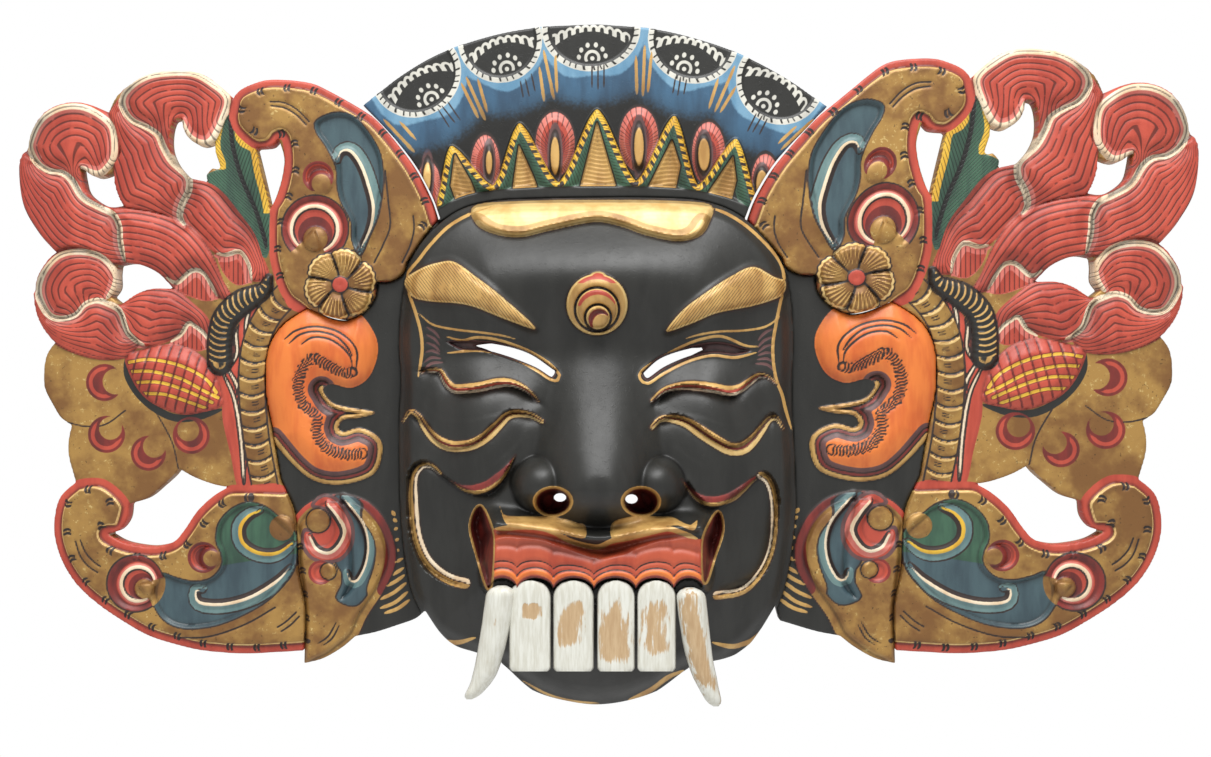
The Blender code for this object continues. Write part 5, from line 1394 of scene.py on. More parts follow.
# Painted bands of the face: middle line, half width at its ends and middle, stripes from its
# upper or left side to the other, each up to a share of the half width
TAN_RED_CREAM = ((-0.2, Pigment.TAN), (0.45, Pigment.RED), (1.0, Pigment.CREAM))
TAN_DEEP_GILT = ((-0.35, Pigment.TAN), (0.15, Pigment.DEEP), (1.0, Pigment.GILT))
DEEP_TAN = ((0.3, Pigment.DEEP), (1.0, Pigment.TAN))
PALE_LINE_TAN = ((-0.25, Pigment.CREAM), (0.0, Pigment.DEEP), (1.0, Pigment.TAN))
TAN_LINE_PALE = ((0.05, Pigment.TAN), (0.3, Pigment.DEEP), (1.0, Pigment.CREAM))
FACE_BANDS = (
    (((421, 372), (431, 370), (440, 371), (446, 381), (454, 388), (467, 388), (482, 386), (495, 383),
      (508, 382),
      (521, 386), (531, 393), (538, 401)), (1.5, 5.2, 1.5), TAN_RED_CREAM),
    (((403, 421), (410, 411), (418, 415), (426, 428), (436, 439), (448, 445), (459, 446), (472, 444),
      (485, 437),
      (498, 425), (507, 416), (518, 413), (531, 415), (542, 421)), (1.5, 5.7, 2.5), TAN_DEEP_GILT),
    (((652, 400), (662, 391), (672, 387), (687, 385), (702, 386), (716, 388), (729, 390.5), (740, 388),
      (750, 381),
      (759, 375), (768, 376.5), (776, 383)), (2, 5.2, 1.5), TAN_RED_CREAM),
    (((652, 427), (660, 419), (670, 418), (686, 422), (702, 432), (716, 441), (729, 448), (741, 448.5),
      (751, 442),
      (761, 430), (770, 418.5), (777, 418), (783, 428)), (2.5, 6.4, 1.5), TAN_DEEP_GILT),
    (((450, 480), (462, 487), (475, 489), (488, 485), (500, 476), (509, 465), (515.5, 454.5)),
     (0.3, 5.4, 0.3),
     DEEP_TAN),
    (((682, 479), (690, 490), (700, 498), (711, 501), (723, 499.5), (733, 495.5), (743, 488), (753, 479.5),
      (761, 474.5)), (0.5, 5.2, 1.5), DEEP_TAN),
    (((440, 473), (432, 466), (423, 465), (415, 474), (413, 488), (413.5, 505), (415, 525), (419, 543),
      (427, 560),
      (440, 573), (453, 580), (465, 583)), (2, 4.9, 5.6), PALE_LINE_TAN),
    (((761, 475), (767, 479), (771.5, 488), (774, 502), (774.5, 520), (773.5, 536), (770, 553), (762, 570),
      (750, 585), (738, 592), (717, 595)), (4, 3.6, 4.6), TAN_LINE_PALE),
)
# Thin gold lines of the face, and how wide half of each is
FACE_LINES = (
    (((499, 203), (489, 207), (469, 214), (448.5, 226), (431, 243.5), (418, 260), (408, 273), (408, 289),
      (415, 310.5), (420.5, 330.6), (422, 350.6), (418, 377)), 1.2),
    (((709, 207), (722, 211), (735.6, 218), (749, 227.5), (762, 239.5), (773, 251.6), (782, 266), (784, 284),
      (780, 304), (776, 324), (773, 344), (773.7, 364), (777, 381), (782, 393.5), (786, 410), (792, 430)),
      1.2),
    (((446, 336), (462, 340), (475, 337), (491, 338), (509, 342.6), (529, 350.6), (549, 362.7),
      (559.6, 374.7),
      (557.6, 380), (550, 378.8), (535.6, 369.4), (515.5, 358.7), (497, 352.6), (475, 350), (447, 352.6)),
      1.0),
    (((759, 346), (745, 345), (722, 336), (700, 339), (680, 347), (660, 358), (642, 370), (640, 378),
      (648, 383),
      (664, 373), (688, 361), (712, 355), (735, 357), (757, 352)), 1.0),
    (((419, 313), (432.5, 324), (455, 329), (481, 332), (502, 335), (515.5, 338.6)), 0.7),
    (((780, 316), (766, 326), (744, 330), (720, 331), (700, 334), (686, 338)), 0.7),
    (((424, 629), (442, 640), (458, 642), (476, 637)), 2.0),
    (((780, 613), (756, 637), (742, 644), (730, 646), (712, 642)), 2.0),
    (((522, 680), (548, 694), (575, 701), (600, 703)), 0.8),
    (((628, 700), (650, 690), (668, 677), (684, 670)), 2.0),
)
CROW_FEET = (
    (((426, 326), (434, 331), (440, 338)), ((426, 334), (434, 338), (440, 345)), ((426, 342), (434, 345),
                                                                                  (440, 351)),
     ((425, 352), (432, 350), (440, 354)), ((424, 362), (431, 357), (441, 358)), ((423, 371), (431, 363),
                                                                                  (443, 362))),
    (((773, 328), (764, 333), (758, 340)), ((773, 336), (764, 340), (758, 347)), ((773, 344), (765, 346),
                                                                                  (758, 352)),
     ((773, 353), (766, 352), (758, 355)), ((774, 362), (767, 358), (757, 359)), ((775, 371), (767, 364),
                                                                                  (755, 363))),
)
MOUSTACHE = (
    ((500, 506), (503, 514), (512, 516), (530, 516), (550, 517), (566, 519), (578, 523), (585, 525),
     (585, 537),
     (572, 535.5), (555, 530), (540, 526.5), (525, 525), (510, 525), (504, 519)),
    ((612.4, 523), (628.5, 517), (642, 516), (659, 516.5), (672.6, 517), (682, 522), (691, 525), (697, 520),
     (695, 529), (688.7, 528.6), (678, 524.5), (662, 526), (648.5, 530.6), (630, 535), (613, 538.6)),
)
LIP_LINE = ((494, 529), (509, 528), (522, 527), (540, 528), (553, 532), (565, 538.6), (576, 543), (588, 546),
            (600, 546.6), (612, 541), (628.5, 538), (644.5, 534), (659, 530.6), (670, 529), (682, 533),
            (698, 539))
EYE_OPENINGS = ((1.5, 471, 620), (2.0, 580, 712))
NOSTRIL_OPENINGS = ((560, 497, 6.2, 4.2), (631.5, 498.5, 6.2, 4.6))
JEWEL_RINGS = ((597, 309, 22), (598, 317, 13))
FACE_TOP = 0.1166
FACE_TOP_EASE = 0.003
SWELL_REACH = 92
GUM_CUSPS = (487, 517, 553.5, 594, 636, 674, 704)
GUM_CUSP_Y = 590
GUM_ARCH = 13
WAVE_FOOT = ((702, 222), (692, 234), (676, 239), (646, 233), (620, 224), (594, 220), (552, 228), (521, 235),
             (495, 232),
             (478, 222))

# Crown
CROWN_CENTRE = (594, 395)
CROWN_RADIUS = 373
LOBES = (((379, 95), (452, 50)), ((461, 48), (538, 29)), ((545, 29), (637, 25)), ((653, 26), (734, 52)),
         ((746, 57), (815, 103)))
CROWN_STROKES = (
    ((382, 117), (414, 151)), ((398, 119), (416, 139)), ((460, 80), (478, 117)), ((465, 74), (485, 119)),
    ((477, 76), (487, 111)), ((539, 64), (544, 100)), ((543, 47), (554, 98)), ((555, 53), (557, 92)),
    ((636, 53), (637, 93)), ((645, 42), (643, 95)), ((652, 49), (648, 92)), ((719, 76), (709, 108)),
    ((736, 63), (715, 111)), ((737, 84), (720, 112)), ((798, 124), (778, 143)), ((815, 117), (781, 149)),
)
CROWN_SCORES = (
    ((437, 107), (449, 126)), ((441, 104), (455, 122)), ((447, 100), (460, 119)), ((520, 79), (523, 96)),
    ((525, 77), (529, 95)), ((531, 72), (535, 90)), ((592, 62), (592, 86)), ((598, 62), (598, 88)),
    ((604, 62), (604, 86)), ((676, 75), (673, 92)), ((681, 75), (678, 94)), ((687, 77), (684, 93)),
    ((757, 112), (748, 130)), ((763, 114), (753, 131)), ((768, 117), (760, 133)),
)
DIADEM_FIELDS = (
    ((455, 154), (451, 185), (457, 202), (477, 198), (470, 180)),
    ((519, 145), (513, 188), (538, 190), (533, 176)),
    ((597, 122), (580, 188), (617, 190), (608, 160)),
    ((672, 140), (647, 190), (675, 190), (680, 165)),
    ((733, 156), (706, 196), (731, 202), (736, 180)),
)
ARCH_HALF_WIDTHS = (13.5, 15, 20, 20, 17, 15)
ARCH_HALF_HEIGHT = 33
ARCH_CORES = ((427, 176, 4, 16), (489, 162, 3.4, 13), (555, 155, 4.6, 20), (639, 146, 5, 20),
              (704, 154, 6, 17),
              (762, 184, 6, 15))

CROWN_FOOT_Y = 249

# Ear boards, left one
EAR_SHEET = ((262, 250), (452, 668))
EAR_BOARD_TOP_Y = 251
EAR_BANDED = slice(5, 21)
EAR_ARCS = (
    ((284, 339), (296, 330), (315, 326), (335, 330), (350, 340), (357, 352), (356, 368)),
    ((289, 343), (300, 334), (316, 331), (334, 335), (346, 345), (353, 356)),
    ((301, 344), (312, 337), (327, 338), (340, 345), (350, 356), (352, 366)),
)
EAR_LOCKS = ((352, 372), (342, 372.7), (323, 362), (312, 358), (303, 368), (298, 385), (303, 404),
             (316, 415),
             (317, 433), (326, 447), (345, 454), (362, 453))
RED_FIELD = ((313, 505), (322, 497), (334, 500), (344, 513), (350, 528), (349, 545), (340, 557), (325, 560),
             (311, 555), (303, 541), (305, 531), (312, 533), (320, 531), (329, 524), (331, 514), (326, 507))
RED_SPIRAL = ((327, 503), (337, 516), (343.5, 528), (343, 537), (336, 548), (327, 552.5), (316, 548),
              (309, 536))
BLUE_FIELD = ((334, 496), (353, 497), (368, 513), (377, 531), (379.5, 546), (377, 568), (368, 592),
              (356, 605),
              (343, 603), (336, 597), (342, 583), (341, 570), (336, 562), (346, 553), (351, 540), (350, 525),
              (342, 508))
BLUE_SPIRAL = ((342, 497), (356, 513), (365, 528), (368, 546), (365, 565), (357, 580), (350, 581),
               (347, 572))
LEAF_OUTER_EDGE = ((350, 495), (364, 501), (378, 514), (388, 530), (392, 548), (390, 568), (383, 590))
WHISKERS = (
    (((391, 511), (394, 516)), 2.6), (((392, 519), (396, 522)), 2.6), (((393, 530), (397, 528)), 2.4),
    (((394, 541), (398, 539)), 2.4), (((396, 549), (398, 552)), 2.2), (((394, 563), (402, 558.6)), 1.6),
    (((391, 576), (403, 568)), 1.4), (((385, 587), (396, 581), (404, 575)), 1.4),
    (((379, 600), (393, 593), (405.5, 583)), 1.4), (((379, 609), (394, 603), (407, 592)), 1.4),
    (((383, 614), (397, 609), (409, 600)), 1.4),
)
LEAF_TICKS = ((299, 540), (301, 560), (303, 585), (305, 610), (307, 640))
LEAF_CUTS = (((318, 643), (328, 636), (336, 622)), ((323, 645), (332, 638), (339, 625)))


def to_left(points: Points | Array) -> Array:
    """Moves points of the right half's drawing back to where the left half has them."""
    p = np.asarray(points, float)
    out = p[:, 0] - RIGHT_FLOWER_X
    x = FLOWER[0] - out / np.where(out > 0, RIGHT_SPREAD_OUT, RIGHT_SPREAD_IN)
    y = p[:, 1]
    for _ in range(6):
        y = p[:, 1] - right_shift(x, y)
    return np.stack([x, y], axis=1)


def centre_outline() -> Array:
    """The edge of the whole middle block."""
    sliver = np.linspace(0.5 * SEAM_GAP, CROWN_SLIVER, 12) / UNIT
    end = spline(CROWN_END)
    grown = np.interp(np.linspace(0, 1, len(end)), np.linspace(0, 1, len(sliver)), sliver)
    end = end + (offset(end, 1.0) - end) * grown[:, None]
    seam = offset(chain(SEAM), 0.5 * SEAM_GAP / UNIT)[1:-1]
    left = np.vstack([end, seam, chain((LEAF_FOOT, EAR_BOARD_FOOT))[:-1]])
    right = to_right(left)
    right = right[(right[:, 0] > JAW_RIGHT[0][0] + 3) | (right[:, 1] < EYE_AXIS_Y)]
    right = right[right[:, 1] > CROWN_RIM_RIGHT[-1][1] + 4]
    return np.vstack([
        spline(CROWN_RIM_RIGHT), right,
        spline(JAW_RIGHT)[:-1], spline(CHIN)[::-1],
        spline(JAW_LEFT)[::-1][1:], left[::-1],
        spline((tuple(left[0]), *CROWN_RIM[1:]))[1:-1],
    ])


def hollow_height(p: Array) -> Array:
    """How deep the back of the face is gouged out, at points of the drawing."""
    x, y, across, up = HOLLOW
    off = np.sqrt(((p[:, 0] - x) / across) ** 2 + ((p[:, 1] - y) / up) ** 2)
    return HOLLOW_DEPTH * smooth((1 - off) / HOLLOW_RUN)


@dataclass
class Face(Carving):
    """The black face, cut from the middle block inside its outline."""

    outline: Array
    pitch: float = 1.4
    edge: float = FACE_RIM
    swell: float = FACE_SWELL
    nose_rise: float = NOSE_RISE
    brow_rise: float = BROW_RISE
    gum_rise: float = GUM_RISE
    fold_step: float = FOLD_STEP
    top: float = FACE_TOP
    top_ease: float = FACE_TOP_EASE
    depth: Array = field(init=False)
    rim: Array = field(init=False)
    slits: list[Array] = field(init=False)

    def __post_init__(self) -> None:
        """Lays the sheet over the face and opens the eyes and nostrils."""
        ring = closed_spline(FACE)
        self.prime(ring.min(0), ring.max(0), Pigment.BLACK, 0.0)
        sheet = self.sheet
        self.depth = sheet.depth(ring, SWELL_REACH)
        self.rim = np.minimum(self.depth, sheet.depth(self.outline, 12))
        self.slits = [sheet.depth(chain(slit)[:-1], 12) for slit in EYE_SLITS]
        for slit, (ledge, left, right) in zip(self.slits, EYE_OPENINGS):
            shut = np.clip(1 + np.maximum(left - sheet.x, sheet.x - right) / 20, 0, 2)
            self.rim = np.minimum(self.rim, ledge + 4 * shut - slit)
        for hole in NOSTRIL_OPENINGS:
            self.rim = np.minimum(self.rim, -sheet.depth(ellipse(*hole), 12))

    def oval(self, x: float, y: float, across: float, up: float) -> Array:
        """How far out of an oval each point lies, 1 on its edge."""
        return np.sqrt(((self.sheet.x - x) / across) ** 2 + ((self.sheet.y - y) / up) ** 2)

    def nose(self) -> Array:
        """The bridge of the nose, as a share of its full rise."""
        x, y = self.sheet.x, self.sheet.y
        half = np.interp(y, NOSE_ROWS, NOSE_HALF_WIDTHS)
        across = (1 - np.clip(np.abs(x - NOSE_MIDDLE_X) / (1.5 * half), 0, 1) ** 2.4) ** 1.4
        rise = smooth(0.8 * (y - NOSE_TOP_Y) / (NOSE_TIP_Y - NOSE_TOP_Y)) * 1.22
        foot = (1 - np.clip((y - 470) / (NOSE_FOOT_Y - 470), 0, 1) ** 2.6) ** 0.8
        return np.clip(rise, 0, 1) * across * foot

    def skin(self) -> None:
        """Models brow, cheeks, folds of skin and nose."""
        sheet = self.sheet
        height = self.edge * (EDGE_SHARE + (1 - EDGE_SHARE) * smooth(self.depth / EDGE_RUN))
        height += self.swell * smooth(SWELL_REACH / SWELL_RUN) * smooth(self.depth / SWELL_REACH)
        for *place, share in FACE_SWELLINGS:
            height += share * self.swell * sheet.bump(*place)
        for brow in BROWS:
            height += self.brow_rise * smooth((sheet.shape(brow) + 6) / 14)
        for fold in FOLDS:
            seen = sheet.along(fold, 30)
            below = seen.side * np.sign(fold[-1][0] - fold[0][0]) > 0
            ends = smooth((np.minimum(seen.along, seen.length - seen.along) + 3) / 24)
            height += ends * self.fold_step * np.where(below, -1, 0.35) * np.exp(-seen.far / 9)
        for x, y, across, up in CHEEK_HOLLOWS:
            height -= 1.3 * self.fold_step * sheet.bump(x, y, across, up)
        height += self.nose_rise * self.nose()
        for x, y, across, up in NOSE_WINGS:
            off = self.oval(x, y, across, up)
            swell = self.edge + 0.6 * self.swell + NOSE_WING_SHARE * self.nose_rise * arched(off)
            height = np.maximum(height, np.where(off < 1, swell, 0))
        self.height = blurred(height, 1)

    def bands(self) -> None:
        """The painted bands that edge the folds, laid on low ridges."""
        for line, halves, stripes in FACE_BANDS:
            seen = self.sheet.along(line)
            share = seen.along / seen.length
            half = np.interp(share, (0, 0.35, 0.65, 1), (halves[0], halves[1], halves[1], halves[2]))
            self.lay(Pigment.INK, half + 1.0 - seen.far, 0.3)
            low = -1.0
            for high, pigment in stripes:
                depth = np.minimum(seen.signed / half - low, high - seen.signed / half) * half
                self.lay(pigment, np.minimum(depth, half - seen.far), 0.35 * (pigment is Pigment.RED))
                low = high
            self.height += 0.0016 * smooth((half + 0.5 - seen.far) / 3)
        for line, half in FACE_LINES:
            seen = self.sheet.along(line, 12)
            self.draw(Pigment.TAN, self.sheet.stroke(line, half, 18))
            self.height += 0.0006 * bell(seen.far / 2)
        for slit in self.slits:
            self.lay(Pigment.MAUVE, slit, 0.55)
            self.height -= 0.005 * smooth((slit + 1) / 3)
        for side in CROW_FEET:
            for line in side:
                self.stroke(Pigment.MAUVE, line, 1.0)
                self.height -= 0.0008 * bell(self.sheet.along(line, 12).far / 1.6)

    def forehead(self) -> None:
        """The gold wave under the crown and the two brows."""
        depth = self.sheet.shape(FOREHEAD_WAVE)
        self.height += 1.3 * self.brow_rise * smooth(depth / 7)
        foot = self.sheet.along(WAVE_FOOT).far
        self.lay(Pigment.INK, depth + 1.2)
        streak = smooth(np.cos(self.sheet.y * 1.5 + 5 * bell((self.sheet.x - 660) / 24)))
        # Painted shade over the upper part of the wave's lower bevel.
        self.lay(Pigment.TAN, depth, 0.35 * bell((foot - 7) / 4))
        self.lay(Pigment.GILT, np.minimum(depth - 1, foot - 10), 0.16 * streak)
        # A bright line along the foot of the wave: painted highlight.
        self.draw(Pigment.GILT, np.minimum(depth, 0.9 - np.abs(foot - 1.5)))
        for brow in BROWS:
            depth = self.sheet.shape(brow)
            hatch = (self.sheet.x * (1 if brow[0][0] < MIDDLE_X else -1) - 0.75 * self.sheet.y) / 3.1
            self.lay(Pigment.INK, depth + 1.3)
            self.lay(Pigment.TAN, depth, 0.0, hatch)
            # A pale line just inside each brow's edge: painted highlight.
            self.draw(Pigment.GILT, np.minimum(depth, 1.8 - depth))
            self.height += 0.0012 * smooth(depth / 2.5)

    def jewel(self) -> None:
        """The ringed jewel between the brows."""
        x, y, radius = JEWEL
        off = np.hypot(self.sheet.x - x, self.sheet.y - y)
        point = np.maximum(radius - off, 5.5 - np.hypot((self.sheet.x - 598) * 0.6, self.sheet.y - 276))
        self.height += 1.6 * self.brow_rise * arched(off / radius) + 0.002 * smooth(point / 2)
        self.lay(Pigment.INK, point + 1.3)
        # Painted shade in a band inside the jewel's edge, and a pale line at the edge itself: painted
        # highlight.
        self.lay(Pigment.TAN, point, 0.3 * bell((point - 5) / 3))
        self.draw(Pigment.GILT, np.minimum(point, 2.2 - point))
        pink = np.minimum(point - 1.5, np.minimum(283 - self.sheet.y, 6 - point))
        self.lay(Pigment.RED, pink, 0.1)
        for cx, cy, ring in JEWEL_RINGS:
            inside = self.sheet.disc(cx, cy, ring)
            # Painted shade across each ring, and a pale line just inside its edge: painted highlight.
            self.lay(Pigment.TAN, inside, 0.35 * bell((inside - 4) / 2.5))
            self.draw(Pigment.GILT, np.minimum(inside, 2.4 - inside))
            self.draw(Pigment.INK, 0.9 - np.abs(inside))
            self.height += 0.0030 * smooth(inside / 3) - 0.0030 * bell(inside / 2.2)
        blush = np.minimum(self.sheet.disc(597, 309, 20), -self.sheet.disc(598, 313, 18.5))
        self.draw(Pigment.RED, np.minimum(blush, 306 - self.sheet.y))
        bow = np.minimum(self.sheet.disc(599, 319, 11), -self.sheet.disc(602, 323, 9))
        self.lay(Pigment.DEEP, bow, 0.2)
        self.height -= 0.0022 * smooth(bow / 2)

    def mouth(self) -> None:
        """Lip, gums, mouth corners, moustache and nostrils."""
        sheet = self.sheet
        lip = sheet.along(LIP).far
        raised = self.edge + self.swell
        self.height += bell(lip / LIP_RUN) * np.maximum(raised + LIP_SHARE * self.gum_rise - self.height, 0)
        gum = smooth((sheet.shape(GUM) + 2) / 12)
        self.height = self.height * (1 - gum) + (raised + GUM_SHARE * self.gum_rise) * gum
        top = np.interp(sheet.x, *zip(*LIP_LINE))
        cusps = np.asarray(GUM_CUSPS)
        place = np.clip(np.searchsorted(cusps, sheet.x) - 1, 0, len(cusps) - 2)
        middle, half = (cusps[place] + cusps[place + 1]) / 2, (cusps[place + 1] - cusps[place]) / 2
        foot = GUM_CUSP_Y - GUM_ARCH * arched((sheet.x - middle) / half)
        share = (sheet.y - top) / (foot - top)
        run = foot - top
        sides = np.minimum(sheet.x - cusps[0] - 3, cusps[-1] - 1 - sheet.x)
        field = np.minimum(np.minimum(sheet.y - top, foot - sheet.y + 12), sides)
        self.lay(Pigment.BLACK, np.minimum(field, sheet.y - foot), 0.2)
        field = np.minimum(field, foot - sheet.y)
        self.lay(Pigment.DEEP, field, 0.0)
        rosy = np.minimum(field, foot - 2.0 - sheet.y)
        groove = 0.85 * bell((share - 0.32) / 0.09) * bell((sheet.x - 580) / 70)
        self.lay(Pigment.GUMS, rosy, groove + 0.22 * bell((share - 0.08) / 0.12))
        self.draw(Pigment.ORANGE, np.minimum(rosy, np.minimum((share - 0.83) * run, (0.95 - share) * run)))
        for level in (0.66, 0.80):
            self.draw(Pigment.INK, np.minimum(0.45 - np.abs(share - level) * run, rosy))
            self.height -= 0.0010 * bell((share - level) * run / 2) * (rosy > 0)
        self.height += 0.0020 * bell((share - 0.88) * run / 4) * smooth((sides + 2) / 4)
        self.height -= 0.0022 * bell((share - 0.32) * run / 4) * smooth((sides + 2) / 4)
        under = smooth((sheet.y - foot) / 2.5) * smooth((sides + 6) / 4) * smooth((622 - sheet.y) / 14)
        socket = np.minimum(self.height, root_height() - 0.35 * TOOTH_THICKNESS)
        self.height = self.height * (1 - under) + socket * under
        self.stroke(Pigment.TAN, LIP_LINE, 2.6, 10)
        for corner in MOUTH_CORNERS:
            depth = sheet.shape(corner)
            self.height -= 2.2 * self.fold_step * smooth((depth + 3) / 9)
            self.lay(Pigment.TAN, depth + 2.2)
            self.lay(Pigment.DEEP, depth + 0.6, 0.55)
        for outline in MOUSTACHE:
            depth = sheet.shape(outline)
            self.lay(Pigment.TAN, depth, 0.15)
            self.height += 0.0014 * smooth(depth / 2)
        for x, y, across, up in NOSTRILS:
            off = self.oval(x, y, across, up)
            self.height -= NOSTRIL_SHARE * self.nose_rise * smooth((1.15 - off) / 0.5)
            self.lay(Pigment.TAN, (1.16 - off) * up)
            inner = np.abs(sheet.x - NOSE_MIDDLE_X) - abs(x - NOSE_MIDDLE_X)
            self.lay(Pigment.DEEP, (1.0 - off) * up, 0.45 + 0.75 * smooth((8 - inner + sheet.y - y) / 30))

    def build(self) -> bpy.types.Object:
        """Carves and paints the face and makes its mesh."""
        self.skin()
        self.forehead()
        self.bands()
        self.mouth()
        self.height += CHIN_RISE * self.swell * self.sheet.bump(*CHIN_SWELLING) * smooth(self.depth / 20)
        self.jewel()
        over = np.clip((self.height - self.top) / self.top_ease + 1, 0, None)
        self.height -= self.top_ease * (over - 1 + np.exp(-over))
        board = Board("face", self.sheet, self.rim)
        return board.build(self.height, self.canvas.marks(), back=hollow_height, fill=9.0)


@dataclass
class Crown(Carving):
    """The painted fan behind the head and its lotus diadem."""

    outline: Array
    pitch: float = 1.05
    board: float = CROWN_BOARD
    step: float = STEP
    lobe_depth: float = 38.0
    loop_pitch: float = 8.2
    rim: Array = field(init=False)

    def __post_init__(self) -> None:
        """Lays the sheet over the crown and finds its edge."""
        low, high = (CROWN_RIM[0][0], CROWN_RIM[-1][1]), (CROWN_RIM_RIGHT[-1][0] + 6, CROWN_FOOT_Y + 1)
        self.prime(low, high, Pigment.SKY, self.board)
        sheet = self.sheet
        inside = np.minimum(sheet.depth(self.outline, 12), -sheet.depth(closed_spline(FACE), 12))
        self.rim = np.minimum(inside, CROWN_FOOT_Y - sheet.y)

    def lobes(self) -> None:
        """The dark lobes along the rim, each with loops, dots and an arch."""
        x, y = self.sheet.x, self.sheet.y
        rim = CROWN_RADIUS - np.hypot(x - CROWN_CENTRE[0], y - CROWN_CENTRE[1])
        nearest = np.full(x.shape, -90.0)
        spans = []
        for start, end in LOBES:
            (ax, ay), (bx, by) = start, end
            half = 0.5 * math.hypot(bx - ax, by - ay)
            ux, uy = (bx - ax) / (2 * half), (by - ay) / (2 * half)
            across = (x - (ax + bx) / 2) * ux + (y - (ay + by) / 2) * uy
            inward = -(x - (ax + bx) / 2) * uy + (y - (ay + by) / 2) * ux
            oval = np.sqrt((across / (half - 2)) ** 2 + (inward / self.lobe_depth) ** 2)
            out = (1 - oval) * self.lobe_depth
            spans.append((across, inward, half, out))
            nearest = np.maximum(nearest, out)
        self.canvas.shade = 0.9 * smooth((-nearest - 12) / 40)
        self.draw(Pigment.BLACK, (-nearest - 30) / 20)
        glow = nearest + 10 + 2.5 * np.cos(x / 9)
        self.draw(Pigment.GLOW, glow / 4)
        for across, inward, half, out in spans:
            turn = np.arctan2(inward / self.lobe_depth, across / half) * half
            self.lay(Pigment.WHITE, out + 5.2, 0.1)
            place = turn + 1.5 * np.sin(turn / 5)
            dash = np.minimum(np.minimum(out + 4.2, FAR), 1.3 - np.abs((place % 7.6) - 3.8 - 0.3 * (out + 3)))
            self.draw(Pigment.BLACK, dash)
            self.lay(Pigment.BLACK, out, 0.15)
            self.height -= 0.0012 * smooth(out / 3)
            self.loops(across, half, rim, out)
            self.arch(across, inward)

    def loops(self, across: Array, half: float, rim: Array, out: Array) -> None:
        """The row of small pale loops under the rim of one lobe."""
        place = (across + half * 0.92) % self.loop_pitch - self.loop_pitch / 2
        off = np.clip(np.abs(across) / half, 0, 1)
        level = 1.5 + 11.0 * off**2
        deep = 5.5 + 8.0 * off**2
        head = 0.85 - np.abs(np.hypot(place, (rim - level - 3.6) * 0.9) - 3.2)
        between = np.minimum(rim - level - 3.4, level + deep - rim)
        legs = np.minimum(0.85 - np.abs(np.abs(place) - 3.1), between)
        depth = np.maximum(np.minimum(head, level + 4.0 - rim), legs)
        self.draw(Pigment.WHITE, np.minimum(depth, np.minimum(half * 0.84 - np.abs(across), out - 3)))

    def arch(self, across: Array, inward: Array) -> None:
        """The small arch of one lobe with its dots."""
        down = inward - 29
        ring = 1.1 - np.abs(np.hypot(across, down) - 6.6)
        self.draw(Pigment.WHITE, np.minimum(ring, 3 - down))
        self.draw(Pigment.WHITE, 1.8 - np.hypot(across, down - 0.5))
        for turn in (-84, -52, -18, 18, 52, 84):
            dx, dy = 13.5 * math.sin(math.radians(turn)), -13.5 * math.cos(math.radians(turn))
            self.draw(Pigment.WHITE, 1.7 - np.hypot(across - dx, (down - dy) * 0.8))

    def lotus(self) -> None:
        """The pink lotus arches that stand behind the diadem."""
        for (x, y), half, (core_x, core_y, wide, high) in zip(LOTUS_ARCHES, ARCH_HALF_WIDTHS, ARCH_CORES):
            off = np.hypot((self.sheet.x - x) / half, (self.sheet.y - y) / ARCH_HALF_HEIGHT - 1)
            depth = half * (1 - off)
            turn = np.arctan2(self.sheet.x - core_x, core_y - self.sheet.y)
            self.height += self.step * smooth(depth / 6)
            self.lay(Pigment.INK, depth + 1)
            lower = 0.55 * smooth((self.sheet.y - y - 14) / 30)
            self.lay(Pigment.PINK, depth, 0.05 + lower, turn * 6.5)
            self.lay(Pigment.RED, depth - 5.5, 0.1 + lower, turn * 6.5)
            self.lay(Pigment.DEEP, depth - 10, 0.0, turn * 6.5)
            core = (1 - np.hypot((self.sheet.x - core_x) / wide, (self.sheet.y - core_y) / high)) * wide
            self.lay(Pigment.MAUVE, core + 2.8, 0.3)
            self.lay(Pigment.INK, core + 1.2)
            self.lay(Pigment.TAN, core)
            self.height += 0.5 * self.step * smooth((core + 1) / 2)

    def diadem(self) -> None:
        """The zigzag of green leaves with yellow edges over gold fields."""
        corners = np.asarray(DIADEM, float)
        near = [corners[:-1] + (corners[1:] - corners[:-1]) * share for share in (0.16, 0.84)]
        zigzag = spline([corners[0], *np.stack(near, axis=1).reshape(-1, 2), corners[-1]], 2)
        seen = self.sheet.trace(zigzag)
        ring = np.vstack([zigzag, (DIADEM[-1][0], DIADEM_FIELD_Y), (DIADEM[0][0], DIADEM_FIELD_Y)])
        within = self.sheet.depth(ring)
        fields = within > 0
        self.height += (0.8 * self.step * fields
                        + 1.6 * self.step * bell((seen.far - 6) / 9) * smooth((within + 3) / 4))
        self.lay(Pigment.BLACK, within + 1.3)
        hatch = (seen.along + 0.8 * seen.far) / 3.6
        self.lay(Pigment.GREEN, np.minimum(within, 17 - seen.far), 0.45 * smooth((seen.far - 7) / 9), hatch)
        self.lay(Pigment.YELLOW, np.minimum(within + 0.6, 4.6 - seen.far), 0.0, hatch)
        place = (seen.along + 0.5 * seen.far) % 8.2
        dash = np.minimum(1.4 - np.abs(place - 4), np.minimum(5.4 - seen.far, seen.far - 0.8))
        peak = np.minimum.reduce([np.hypot(self.sheet.x - x, self.sheet.y - y) for x, y in DIADEM[1::2]])
        self.draw(Pigment.INK, np.minimum(np.minimum(dash, within), peak - 22))
        for outline in DIADEM_FIELDS:
            depth = self.sheet.depth(np.asarray(outline, float))
            grain = np.cos(self.sheet.y * 1.5 + 2 * np.sin(self.sheet.x / 7))
            self.lay(Pigment.BLACK, depth + 2.4)
            self.lay(Pigment.TAN, depth, 0.35 * smooth(grain))
